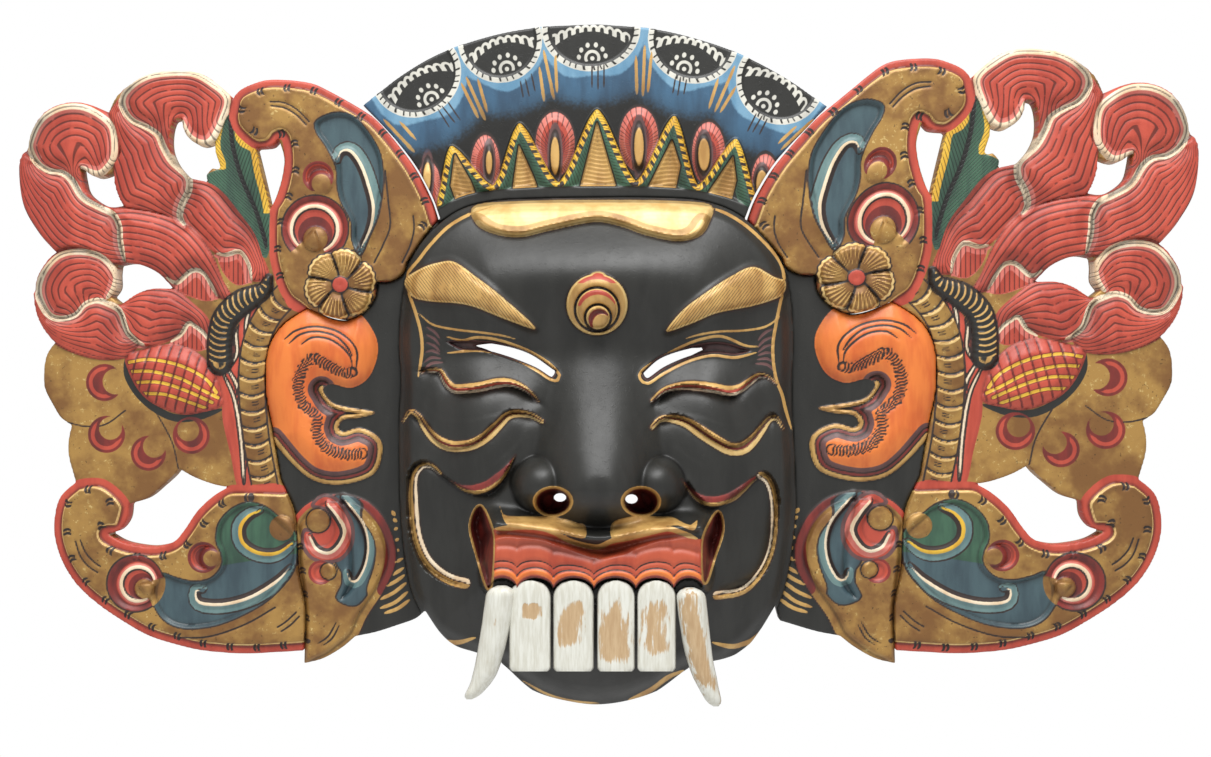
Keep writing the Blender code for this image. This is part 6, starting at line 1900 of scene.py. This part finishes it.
            self.height -= 0.0016 * smooth((depth + 2) / 3)
            self.height += 0.0010 * smooth(depth / 2) + 0.0003 * grain * (depth > 1)
        band = 9 - self.sheet.along(DIADEM_BAND).far
        over = smooth(band / 4)
        self.height = self.height * (1 - over) + (self.board + 2 * self.step) * over
        self.lay(Pigment.BLACK, np.minimum(band - 2, self.sheet.y - 180))

    def build(self) -> bpy.types.Object:
        """Carves and paints the crown and makes its mesh."""
        self.lobes()
        for line in CROWN_SCORES:
            self.stroke(Pigment.INK, line, 0.45, 4)
        for line in CROWN_STROKES:
            self.stroke(Pigment.TAN, line, 1.9, 7)
        self.lotus()
        self.diadem()
        board = Board("crown", self.sheet, self.rim)
        return board.build(self.height, self.canvas.marks())


@dataclass
class EarBoard(Carving):
    """The board beside the face with the ear and the inner leaf, drawn once as the left one."""

    outline: Array
    pitch: float = 1.5
    board: float = EAR_BOARD
    step: float = STEP

    def __post_init__(self) -> None:
        """Lays the sheet over the left ear board."""
        self.prime(*EAR_SHEET, Pigment.BLACK, self.board)

    def rim(self, place: Callable[[Array], Array]) -> Array:
        """How deep each point lies on the board, once place has moved the block's edges."""
        sheet = self.sheet
        block = sheet.depth(place(self.outline), 12)
        face = sheet.depth(place(closed_spline(FACE)), 12)
        return np.minimum(np.minimum(block, -face), sheet.y - EAR_BOARD_TOP_Y)

    def ear(self) -> None:
        """The orange ear with its coloured borders."""
        sheet = self.sheet
        depth = sheet.shape(EAR)
        ear = self.board + 2.6 * self.step * np.sqrt(smooth((depth + 1) / 30))
        ear -= self.step * smooth(sheet.shape(EAR_BOWL) / 6)
        ear += 0.7 * self.step * bell(sheet.along(EAR_LOBE).far / 16)
        seen = sheet.along(EAR[EAR_BANDED], 60)
        for middle in (4.2, 8.3):
            ear -= 0.0009 * bell((seen.far - middle) / 1.3)
        ear += 0.0008 * bell((seen.far - 2) / 2)
        self.height = np.where(depth > 0, ear, self.height)
        self.lay(Pigment.ORANGE, depth, 0.25 * bell((depth - 2) / 3))
        for reach, pigment in ((13.0, Pigment.MAUVE), (8.8, Pigment.INK), (7.9, Pigment.DEEP),
                               (4.9, Pigment.INK),
                               (4.1, Pigment.TAN)):
            self.lay(pigment, np.minimum(depth, reach - seen.far), 0.1)
        locks = sheet.along(EAR_LOCKS, 12)
        strand = np.abs(((locks.along + 0.06 * locks.signed**2) / 2.9) % 1 - 0.5) * 2.9
        hair = np.minimum(0.5 - strand, 5.5 + np.sin(locks.along) - np.abs(locks.signed))
        ends = np.minimum(locks.along, locks.length - locks.along) + 2
        hair = np.minimum(hair, np.minimum(depth - 9, ends))
        self.draw(Pigment.INK, hair)
        self.height -= 0.0006 * smooth(hair + 1)
        for line in EAR_ARCS:
            self.stroke(Pigment.INK, line, 0.75, 10, depth)
            self.height -= 0.0009 * bell(sheet.along(line, 12).far / 1.6)

    def leaf(self) -> None:
        """The inner leaf with its red spiral and blue field."""
        sheet = self.sheet
        depth = sheet.shape(INNER_LEAF)
        floor = self.board + 0.4 * self.step
        leaf = floor + 1.3 * self.step * smooth((depth - 7) / 5)
        leaf -= 1.5 * self.step * smooth(sheet.shape(INNER_LEAF_INLAY) / 6)
        for x, y, radius in INNER_RINGS:
            off = np.hypot(sheet.x - x, sheet.y - y)
            leaf -= 0.8 * self.step * smooth((radius - off) / 6)
        over = smooth((depth + 1.5) / 3)
        self.height = self.height * (1 - over) + leaf * over
        self.lay(Pigment.INK, depth + 1.0)
        self.lay(Pigment.RED, depth, 0.1)
        edge = sheet.along(LEAF_OUTER_EDGE).far
        upper = np.minimum(depth - 4.5, sheet.y - 503)
        self.lay(Pigment.GOLD, np.maximum(upper, np.minimum(depth, sheet.y - 596)))
        self.lay(Pigment.GOLD, np.minimum(np.minimum(depth, 21 - edge), sheet.y - 500))
        self.lay(Pigment.DEEP, np.minimum(depth, 6.5 - edge), 0.1)
        blue = np.minimum(sheet.shape(BLUE_FIELD), edge - 17 * smooth((sheet.y - 494) / 30))
        self.lay(Pigment.INK, blue + 0.9)
        self.lay(Pigment.BLUE, blue, 0.35 * bell(blue / 3))
        red = sheet.shape(RED_FIELD)
        self.lay(Pigment.MAUVE, red + 3.0)
        self.lay(Pigment.RED, red, 0.2)
        for line, pigment, fieldset in ((RED_SPIRAL, Pigment.CREAM, red + 1),
                                        (BLUE_SPIRAL, Pigment.CREAM, blue)):
            seen = sheet.along(line)
            taper = np.sqrt(np.clip((np.minimum(seen.along, seen.length - seen.along) + 2) / 18, 0, 1))
            under = Pigment.PINK if line is RED_SPIRAL else Pigment.PALE
            self.draw(under, np.minimum(3.6 * taper - np.abs(seen.signed + 2.4), fieldset))
            self.draw(Pigment.INK, np.minimum(1.5 * taper - np.abs(seen.signed - 2.6), fieldset))
            self.draw(pigment, 1.5 * taper - seen.far)
            self.height += 0.6 * self.step * bell(seen.far / 4)
        for x, y, ball, crescent in ((317.5, 520.4, 11.8, 0), (328, 571, 8, 12)):
            if crescent:
                moon = sheet.disc(320.5, 572, crescent)
                self.lay(Pigment.DEEP, moon)
                self.lay(Pigment.RED, moon - 1.8)
            self.lay(Pigment.INK, sheet.disc(x, y, ball + 1.0))
            self.lay(Pigment.GOLD, sheet.disc(x, y, ball))
            self.height += self.step * arched(np.hypot(sheet.x - x, sheet.y - y) / ball)
        for line in LEAF_CUTS:
            self.stroke(Pigment.INK, line, 0.6)
            self.height -= 0.0010 * bell(sheet.along(line, 12).far / 1.5)
        seen = sheet.along(LEAF_TICKS, 12)
        place = seen.along % 24
        for start in (4.0, 8.0):
            tick = np.minimum(0.9 - np.abs(place - start - 0.12 * seen.signed**2), 3.6 - seen.far)
            self.draw(Pigment.INK, tick)

    def build(self) -> list[bpy.types.Object]:
        """Makes the left ear board and, from the same sheet, the right one."""
        self.ear()
        self.leaf()
        for line, half in WHISKERS:
            stroke = self.sheet.stroke(line, half, 6)
            self.draw(Pigment.TAN, stroke)
            self.height += 0.0005 * smooth(stroke + 1)
        left = Board("ear_left", self.sheet, self.rim(np.asarray))
        right = Board("ear_right", self.sheet, self.rim(to_left))
        marks = self.canvas.marks()
        return [left.build(self.height, marks), right.build(self.height, marks, to_right, True)]


def root_height() -> float:
    """Height over the wall of the middle of the teeth and tusks, where the gum holds them."""
    return FACE_RIM + FACE_SWELL + ROOT_SHARE * GUM_RISE


def lofted(name: str, rings: list[Array], marks: dict[str, list[Array]]) -> bpy.types.Object:
    """Makes a closed piece through a row of rings.

    Args:
        name: its name.
        rings: the rings, each with as many world points.
        marks: for each attribute, its values ring by ring.

    Returns:
        The new object.
    """
    size = len(rings[0])
    faces = [list(range(size)), list(range((len(rings) - 1) * size, len(rings) * size))[::-1]]
    for row in range(len(rings) - 1):
        for i in range(size):
            j = (i + 1) % size
            faces.append([(row + 1) * size + i, (row + 1) * size + j, row * size + j, row * size + i])
    mesh = bpy.data.meshes.new(name)
    mesh.from_pydata(np.vstack(rings).tolist(), [], faces)
    for key, values in marks.items():
        store(mesh, key, np.concatenate(values))
    mesh.shade_smooth()
    mesh.set_sharp_from_angle(angle=math.radians(60))
    return shown(name, mesh, "root", "centre", "centre_paint")


@dataclass(frozen=True)
class Tooth:
    """One broad front tooth and how far its paint is worn off."""

    name: str
    left: float
    right: float
    patch: tuple[float, float, float, float]

    def worn(self, x: Array, y: float) -> Array:
        """How far inside the worn patch points of the front lie, in steps of 5 units."""
        left, right, top, foot = self.patch
        across = (2 * x - left - right) / (right - left)
        down = (2 * y - top - foot) / (foot - top)
        return 1.6 - 1.5 * across**2 - 1.8 * down**4

    def build(self) -> bpy.types.Object:
        """Makes the tooth, its paint worn through in a patch."""
        middle, half = (self.left + self.right) / 2, (self.right - self.left) / 2
        turn = np.arange(56) * math.tau / 56
        rings, wear, side_shade = [], [], []
        shares = np.concatenate([0.2 * np.linspace(0.07, 1, 14)[:-1] ** 2, np.linspace(0.2, 0.9, 24)[:-1],
                                 np.linspace(0.9, 1, 8)])
        for share in shares:
            narrow = ((1 - (1 - min(share / 0.2, 1)) ** 2.3) ** (1 / 2.3)
                      * min(1, (1.02 - share) / 0.06) ** 0.15)
            y = TOOTH_TOP + share * (TOOTH_FOOT - TOOTH_TOP)
            across = np.sign(np.cos(turn)) * np.abs(np.cos(turn)) ** 0.6
            out = np.sign(np.sin(turn)) * np.abs(np.sin(turn)) ** 0.7
            ring = np.stack([middle + across * half * narrow, np.full(len(turn), y)], axis=1)
            thick = TOOTH_THICKNESS * 0.5 * (0.7 + 0.3 * narrow)
            rings.append(to_world(ring, root_height() + out * thick))
            wear.append(np.where(out > 0, self.worn(ring[:, 0], y), -2.0))
            # Painted shade down the tooth's sides and along its top, where it meets its neighbours and the
            # gum.
            ends = np.maximum(smooth((np.abs(across) - 0.86) / 0.14), smooth((0.06 - share) / 0.06))
            side_shade.append(ends * (out < 0.9))
        return lofted(self.name, rings[::-1], {"wear": wear[::-1], "edge_shade": side_shade[::-1]})


@dataclass(frozen=True)
class Tusk:
    """One tusk that curves out past the jaw."""

    name: str
    line: Points
    radii: tuple[float, ...]
    wear: float

    def build(self) -> bpy.types.Object:
        """Makes the tusk."""
        path = spline(self.line, 3.0)
        share = np.linspace(0, 1, len(path))
        wide = np.interp(share, np.linspace(0, 1, len(self.radii)), self.radii)
        turn = np.arange(40) * math.tau / 40
        rings, wear, side_shade = [], [], []
        for (x, y), radius, s in zip(path, wide, share):
            end = max((s - 0.93) / 0.075, (0.09 - s) / 0.095, 0.0)
            tip = math.sqrt(max(1 - end**2, 0.02))
            ring = np.stack([x + radius * tip * np.cos(turn), np.full(len(turn), y)], axis=1)
            out = TUSK_RADIUS * np.sin(turn) * radius * tip / max(self.radii) - TUSK_DROP * s
            rings.append(to_world(ring, root_height() + out))
            bare = np.minimum(0.75 - np.abs(np.cos(turn) + 0.15), min(s - 0.12, 0.86 - s) * 4) * 2
            wear.append(np.where(np.sin(turn) > 0, bare + self.wear, -2.0))
            # Painted shade down the tusk's two sides.
            side_shade.append(smooth((np.abs(np.cos(turn)) - 0.88) / 0.12) * 0.8)
        return lofted(self.name, rings[::-1], {"wear": wear[::-1], "edge_shade": side_shade[::-1]})


TEETH = (
    Tooth("tooth_1", *TOOTH_EDGES[0], (521, 538, 602, 620)),
    Tooth("tooth_2", *TOOTH_EDGES[1], (557, 584, 599, 648)),
    Tooth("tooth_3", *TOOTH_EDGES[2], (600, 631, 598, 664)),
    Tooth("tooth_4", *TOOTH_EDGES[3], (643, 672, 598, 656)),
)
TUSK_PAIR = (Tusk("tusk_left", *TUSKS[0], -1.7), Tusk("tusk_right", *TUSKS[1], 0.2))


Socket = bpy.types.NodeSocket


def linear(red: float, green: float, blue: float) -> tuple[float, float, float, float]:
    """Turns a colour as seen on a screen, 0 to 255, into the light that it stands for."""
    shares = ((value / 255) for value in (red, green, blue))
    return (*(s / 12.92 if s < 0.04045 else ((s + 0.055) / 1.055) ** 2.4 for s in shares), 1.0)


@dataclass(frozen=True)
class Paint:
    """How a pigment looks: its tone, the tone of its clouding, and its surface."""

    tone: tuple[float, float, float]
    clouding: tuple[float, float, float]
    roughness: float = 0.5
    metallic: float = 0.0
    coat: float = 0.12


PAINTS = {
    Pigment.GOLD: Paint((178, 138, 74), (132, 92, 50), 0.44, 0.3, 0.05),
    Pigment.RED: Paint((196, 80, 60), (170, 62, 46), 0.5),
    Pigment.DEEP: Paint((138, 46, 38), (96, 34, 30), 0.5),
    Pigment.PINK: Paint((218, 126, 112), (202, 100, 88), 0.5),
    Pigment.CREAM: Paint((244, 226, 196), (226, 196, 158), 0.5),
    Pigment.GREEN: Paint((66, 104, 80), (46, 74, 60), 0.45),
    Pigment.BLUE: Paint((72, 94, 100), (54, 72, 80), 0.42),
    Pigment.PALE: Paint((112, 140, 138), (88, 118, 120), 0.45),
    Pigment.YELLOW: Paint((232, 188, 60), (206, 154, 40), 0.5),
    Pigment.BLACK: Paint((42, 42, 39), (33, 33, 30), 0.42, 0.0, 0.0),
    Pigment.ORANGE: Paint((230, 126, 54), (208, 98, 40), 0.45),
    Pigment.MAUVE: Paint((110, 76, 74), (88, 58, 58), 0.5),
    Pigment.TAN: Paint((212, 170, 100), (172, 128, 68), 0.45, 0.15),
    # GILT is pale gold paint, and it also draws the painted highlights along raised edges.
    Pigment.GILT: Paint((240, 206, 138), (216, 174, 104), 0.42, 0.15),
    Pigment.GUMS: Paint((192, 86, 56), (168, 64, 40), 0.45),
    Pigment.WHITE: Paint((224, 222, 210), (196, 194, 184), 0.5),
    Pigment.SKY: Paint((60, 100, 130), (44, 76, 102), 0.5),
    Pigment.GLOW: Paint((118, 160, 186), (90, 136, 166), 0.5),
    Pigment.INK: Paint((50, 34, 28), (38, 28, 26), 0.55),
}
BARE_WOOD = ((172, 138, 98), (138, 104, 70))


@dataclass
class Graph:
    """A tree of shader nodes."""

    tree: bpy.types.NodeTree

    def node(self, kind: str, settings: dict[str, object] | None = None,
             inputs: dict[int | str, object] | None = None) -> bpy.types.Node:
        """Adds a node.

        Args:
            kind: the node's type.
            settings: its properties, set before its inputs.
            inputs: for each input, a value, a socket or a Value.

        Returns:
            The node.
        """
        made = self.tree.nodes.new(kind)
        for name, setting in (settings or {}).items():
            setattr(made, name, setting)
        for key, given in (inputs or {}).items():
            self.feed(made.inputs[key], given)
        return made

    def feed(self, socket: Socket, given: object) -> None:
        """Sets an input to a value, or links it to a socket or a Value."""
        if isinstance(given, Value):
            given = given.socket
        if isinstance(given, bpy.types.NodeSocket):
            self.tree.links.new(given, socket)
        else:
            socket.default_value = given


@dataclass
class Nodes(Graph):
    """The node graph of one material."""

    name: str
    material: bpy.types.Material = field(init=False)
    tree: bpy.types.NodeTree = field(init=False)
    shader: bpy.types.Node = field(init=False)

    def __post_init__(self) -> None:
        """Starts an empty graph that ends in one Principled shader."""
        self.material = bpy.data.materials.new(self.name)
        self.material.use_nodes = True
        self.tree = self.material.node_tree
        self.tree.nodes.clear()
        output = self.tree.nodes.new("ShaderNodeOutputMaterial")
        self.shader = self.tree.nodes.new("ShaderNodeBsdfPrincipled")
        self.tree.links.new(self.shader.outputs[0], output.inputs["Surface"])

    def attribute(self, name: str) -> Value:
        """Reads a number that the mesh holds for each point."""
        held = self.node("ShaderNodeAttribute", {"attribute_type": "GEOMETRY", "attribute_name": name})
        return Value(self, held.outputs["Fac"])

    def noise(self, scale: float, detail: float = 2.0, rough: float = 0.5,
              stretch: tuple[float, float, float] = (1, 1, 1), warp: float = 0.0) -> Value:
        """Noise in the piece's own coordinates, metres.

        Args:
            scale: lumps per metre.
            detail: how many finer layers it has.
            rough: how strong they are.
            stretch: what each coordinate is multiplied by.
            warp: how far it distorts itself.

        Returns:
            Values about 0.5.
        """
        place = self.node("ShaderNodeTexCoord").outputs["Object"]
        held = self.node("ShaderNodeMapping", inputs={"Vector": place, "Scale": stretch}).outputs[0]
        wanted = {"Vector": held, "Scale": scale, "Detail": detail, "Roughness": rough, "Distortion": warp}
        return Value(self, self.node("ShaderNodeTexNoise", inputs=wanted).outputs["Fac"])

    def mix(self, share: Value | float, first: object, second: object) -> Socket:
        """Mixes two colours, share 0 giving the first."""
        wanted = {0: share, 6: first, 7: second}
        return self.node("ShaderNodeMix", {"data_type": "RGBA"}, wanted).outputs[2]

    def darker(self, colour: object, share: Value | float) -> Socket:
        """Scales a colour down by a share."""
        wanted = {0: colour, "Scale": 1.0 - share}
        return self.node("ShaderNodeVectorMath", {"operation": "SCALE"}, wanted).outputs[0]


@dataclass(frozen=True)
class Value:
    """A number of a node graph, with the usual operators."""

    nodes: Nodes
    socket: Socket

    def math(self, operation: str, *others: Value | float) -> Value:
        """Runs one operation on this number and the others."""
        made = self.nodes.node("ShaderNodeMath", {"operation": operation}, dict(enumerate((self, *others))))
        return Value(self.nodes, made.outputs[0])

    def __add__(self, other: Value | float) -> Value:
        """Adds."""
        return self.math("ADD", other)

    __radd__ = __add__

    def __mul__(self, other: Value | float) -> Value:
        """Multiplies."""
        return self.math("MULTIPLY", other)

    __rmul__ = __mul__

    def __sub__(self, other: Value | float) -> Value:
        """Takes the other away."""
        return self.math("SUBTRACT", other)

    def __rsub__(self, other: Value | float) -> Value:
        """Takes this away from the other."""
        return self.math("MULTIPLY_ADD", -1.0, other)

    def step(self, low: float, high: float) -> Value:
        """0 below low, 1 above high, and an easy curve between."""
        wanted = {"Value": self, "From Min": low, "From Max": high}
        made = self.nodes.node("ShaderNodeMapRange", {"interpolation_type": "SMOOTHSTEP"}, wanted)
        return Value(self.nodes, made.outputs["Result"])

    def toward(self, other: Value | float, share: Value) -> Value:
        """Moves towards the other number by a share."""
        return self + (other - self) * share


@dataclass(frozen=True)
class PaintedWood:
    """The finish of one carved board."""

    name: str
    pigments: tuple[Pigment, ...]

    def material(self) -> bpy.types.Material:
        """Makes the material."""
        nodes = Nodes(self.name)
        cloud = nodes.noise(26, 4, 0.6)
        fleck = nodes.noise(230, 4, 0.7).step(0.58, 0.68)
        speck = nodes.noise(330, 3, 0.6).step(0.66, 0.72)
        brush = nodes.noise(60, 3, 0.6, (1, 1, 0.25))
        wobble = (nodes.noise(420, 2) - 0.5) * 0.6
        rear = (nodes.attribute("rear") + wobble * 0.05).step(0.80, 0.88)
        base: object = linear(*PAINTS[Pigment.INK].tone)
        roughness: Value | float = PAINTS[self.pigments[0]].roughness
        metallic: Value | float = 0.0
        coat: Value | float = 0.0
        for pigment in self.pigments:
            paint = PAINTS[pigment]
            field = nodes.attribute(pigment.value) + wobble
            cover = field.step(-0.75, 0.0)
            tone = nodes.mix(brush.step(0.35, 0.7), linear(*paint.tone), linear(*paint.clouding))
            if pigment is Pigment.GOLD:
                tone = self.leaf_gold(nodes, cloud, fleck, speck, paint)
            base = nodes.mix(cover, base, tone)
            roughness = cover * (paint.roughness - roughness) + roughness if pigment is not self.pigments[0] \
                else cover * 0.0 + paint.roughness
            metallic = cover * (paint.metallic - metallic) + metallic
            coat = cover * (paint.coat - coat) + coat
        base, line = self.combed(nodes, base)
        shade = nodes.attribute("shade")
        hollow_shade = nodes.attribute("hollow_shade")
        # Painted shade: the shade brushed over the paint, and more of it in the grooves and hollows of the
        # carving.
        base = nodes.darker(base, shade * 0.62)
        base = nodes.darker(base, hollow_shade.step(0.08, 0.9) * 0.5)
        grain = nodes.noise(90, 4, 0.6, (0.12, 1, 1), 0.4)
        wood = nodes.mix(grain, *(linear(*tone) for tone in BARE_WOOD))
        base = nodes.mix(rear, base, wood)
        shader = nodes.shader
        nodes.feed(shader.inputs["Base Color"], base)
        nodes.feed(shader.inputs["Roughness"], roughness.toward(0.75, rear) + (brush - 0.5) * 0.12)
        nodes.feed(shader.inputs["Metallic"], metallic * (1.0 - rear))
        nodes.feed(shader.inputs["Coat Weight"], coat * (1.0 - rear))
        shader.inputs["Coat Roughness"].default_value = 0.25
        relief = nodes.noise(160, 3, 0.6) * 0.6 - line * 1.0 - speck * 0.35 + fleck * 0.25
        bump = nodes.node("ShaderNodeBump", inputs={"Strength": 0.35, "Distance": 0.0006, "Height": relief})
        nodes.feed(shader.inputs["Normal"], bump.outputs[0])
        return nodes.material

    @staticmethod
    def leaf_gold(nodes: Nodes, cloud: Value, fleck: Value, speck: Value, paint: Paint) -> Socket:
        """Antique gold: clouded brown, with bright flecks and dark specks."""
        tone = nodes.mix(cloud.step(0.38, 0.64), linear(*paint.clouding), linear(*paint.tone))
        tone = nodes.mix(fleck * cloud.step(0.46, 0.62) * 0.75, tone, linear(226, 200, 132))
        return nodes.mix(speck * 0.7, tone, linear(62, 46, 26))

    @staticmethod
    def combed(nodes: Nodes, base: object) -> tuple[Socket, Value]:
        """Draws the dark lines between the ribs.

        Returns:
            The colour, and where the lines are.
        """
        rib = nodes.attribute("rib")
        off = (rib.math("FRACT") - 0.5).math("ABSOLUTE")
        line = (1.0 - off.step(0.08, 0.17)) * nodes.attribute("ribbed").step(0.5, 0.9)
        broken = nodes.noise(120, 2).step(0.30, 0.42)
        drawn = line * broken
        return nodes.darker(base, drawn * 0.68), drawn


@dataclass(frozen=True)
class ToothPaint:
    """White paint worn through to the wood, greyed at the edges by painted shade."""

    name: str = "tooth_paint"

    def material(self) -> bpy.types.Material:
        """Makes the material."""
        nodes = Nodes(self.name)
        patch = nodes.noise(60, 4, 0.62, (1, 1, 0.4))
        streak = nodes.noise(420, 3, 0.6, (1, 1, 0.12))
        worn = (nodes.attribute("wear") + (patch - 0.5) * 6.5 + (streak - 0.5) * 4.0).step(0.0, 0.8)
        # Painted shade: greyish brown at the sides and tops of the teeth and tusks.
        edge_shade = (nodes.attribute("edge_shade") + (streak - 0.5) * 0.6).step(0.35, 1.0)
        white = nodes.mix(streak.step(0.3, 0.7), linear(228, 228, 218), linear(208, 206, 192))
        wood = nodes.mix(streak.step(0.3, 0.7), linear(202, 172, 130), linear(186, 152, 110))
        base = nodes.mix(worn * 0.95, white, wood)
        base = nodes.mix(edge_shade * 0.75, base, linear(98, 92, 82))
        nodes.feed(nodes.shader.inputs["Base Color"], base)
        nodes.feed(nodes.shader.inputs["Roughness"], 0.45 + worn * 0.2)
        relief = streak * 0.5 - worn * 0.8
        bump = nodes.node("ShaderNodeBump", inputs={"Strength": 0.4, "Distance": 0.0006, "Height": relief})
        nodes.feed(nodes.shader.inputs["Normal"], bump.outputs[0])
        return nodes.material


def lamp(name: str, place: tuple[float, float, float], aim: tuple[float, float, float],
         size: tuple[float, float], power: float) -> None:
    """Hangs a soft oval lamp.

    Args:
        name: its name.
        place: where it hangs.
        aim: the point that it faces.
        size: how wide and how high it is.
        power: its power in watts.
    """
    light = bpy.data.lights.new(name, "AREA")
    light.shape, light.energy = "ELLIPSE", power
    light.size, light.size_y = size
    held = bpy.data.objects.new(name, light)
    held.location = place
    held.rotation_euler = (Vector(aim) - Vector(place)).to_track_quat("-Z", "Y").to_euler()
    bpy.context.collection.objects.link(held)


# Camera and floor
CAMERA_LENS = 45.0
CAMERA_SHIFT = 0.0062
FLOOR_SIZE = 2.6
FLOOR_Z = -1.25

# Each lamp's place, the point it faces, its width and height, and its power
KEY_LAMP = ((-0.15, -1.3, 1.75), (0, 0, -0.15), (2.4, 1.5), 54)
SHEEN_LAMP = ((0.5, -0.75, 1.5), (0.1, 0, -0.1), (1.0, 0.4), 9)
WORLD_COLOUR = (1, 1, 1, 1)
WORLD_GLOW = 0.62
PAPER_GREY = 0.8
PAPER_ROUGHNESS = 0.8


def set_world() -> None:
    """Gives the scene a white ground that lights it softly."""
    world = bpy.data.worlds.new("studio")
    world.use_nodes = True
    graph = Graph(world.node_tree)
    graph.tree.nodes.clear()
    path = graph.node("ShaderNodeLightPath")
    seen = graph.node("ShaderNodeBackground", inputs={"Color": WORLD_COLOUR, "Strength": 1.0})
    lit = graph.node("ShaderNodeBackground", inputs={"Color": WORLD_COLOUR, "Strength": WORLD_GLOW})
    parts = {0: path.outputs["Is Camera Ray"], 1: lit.outputs[0], 2: seen.outputs[0]}
    mixed = graph.node("ShaderNodeMixShader", inputs=parts)
    graph.node("ShaderNodeOutputWorld", inputs={0: mixed.outputs[0]})
    bpy.context.scene.world = world


def set_studio() -> None:
    """Sets the camera at the photograph's angle, the lamps and the pale floor."""
    scene = bpy.context.scene
    scene.view_settings.view_transform = "Standard"
    camera = bpy.data.objects.new("camera", bpy.data.cameras.new("camera"))
    camera.location = (0, -EYE_DISTANCE, (MOUNT_Y - EYE_AXIS_Y) * UNIT)
    camera.rotation_euler = (math.pi / 2, 0, 0)
    camera.data.lens = CAMERA_LENS
    camera.data.shift_x = CAMERA_SHIFT
    scene.collection.objects.link(camera)
    scene.camera = camera
    lamp("key", *KEY_LAMP)
    lamp("sheen", *SHEEN_LAMP)
    set_world()
    bpy.ops.mesh.primitive_plane_add(size=FLOOR_SIZE, location=(0, -0.6, FLOOR_Z))
    floor = bpy.context.object
    floor.name = "floor"
    paper = Nodes("floor_paper")
    paper.shader.inputs["Base Color"].default_value = (PAPER_GREY, PAPER_GREY, PAPER_GREY, 1)
    paper.shader.inputs["Roughness"].default_value = PAPER_ROUGHNESS
    floor.data.materials.append(paper.material)


def finish_boards(pieces: Iterable[bpy.types.Object]) -> None:
    """Gives each board the finish of the pigments that it holds."""
    for piece in pieces:
        held = tuple(pigment for pigment in Pigment if pigment.value in piece.data.attributes)
        piece.data.materials.append(PaintedWood(f"{piece.name}_paint", held).material())


def main() -> None:
    """Builds and finishes every piece, then sets the studio."""
    logging.basicConfig(level=logging.INFO, format="%(name)s: %(message)s")
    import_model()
    outline = centre_outline()
    boards = [*Wing().build(), Face(outline).build(), Crown(outline).build(), *EarBoard(outline).build()]
    finish_boards(boards)
    tooth_paint = ToothPaint().material()
    for maker in (*TEETH, *TUSK_PAIR):
        piece = maker.build()
        piece.data.materials.append(tooth_paint)
        boards.append(piece)
    for piece in boards:
        LOG.info("%s: %d faces", piece.name, len(piece.data.polygons))
    set_studio()


if __name__ == "__main__":
    main()
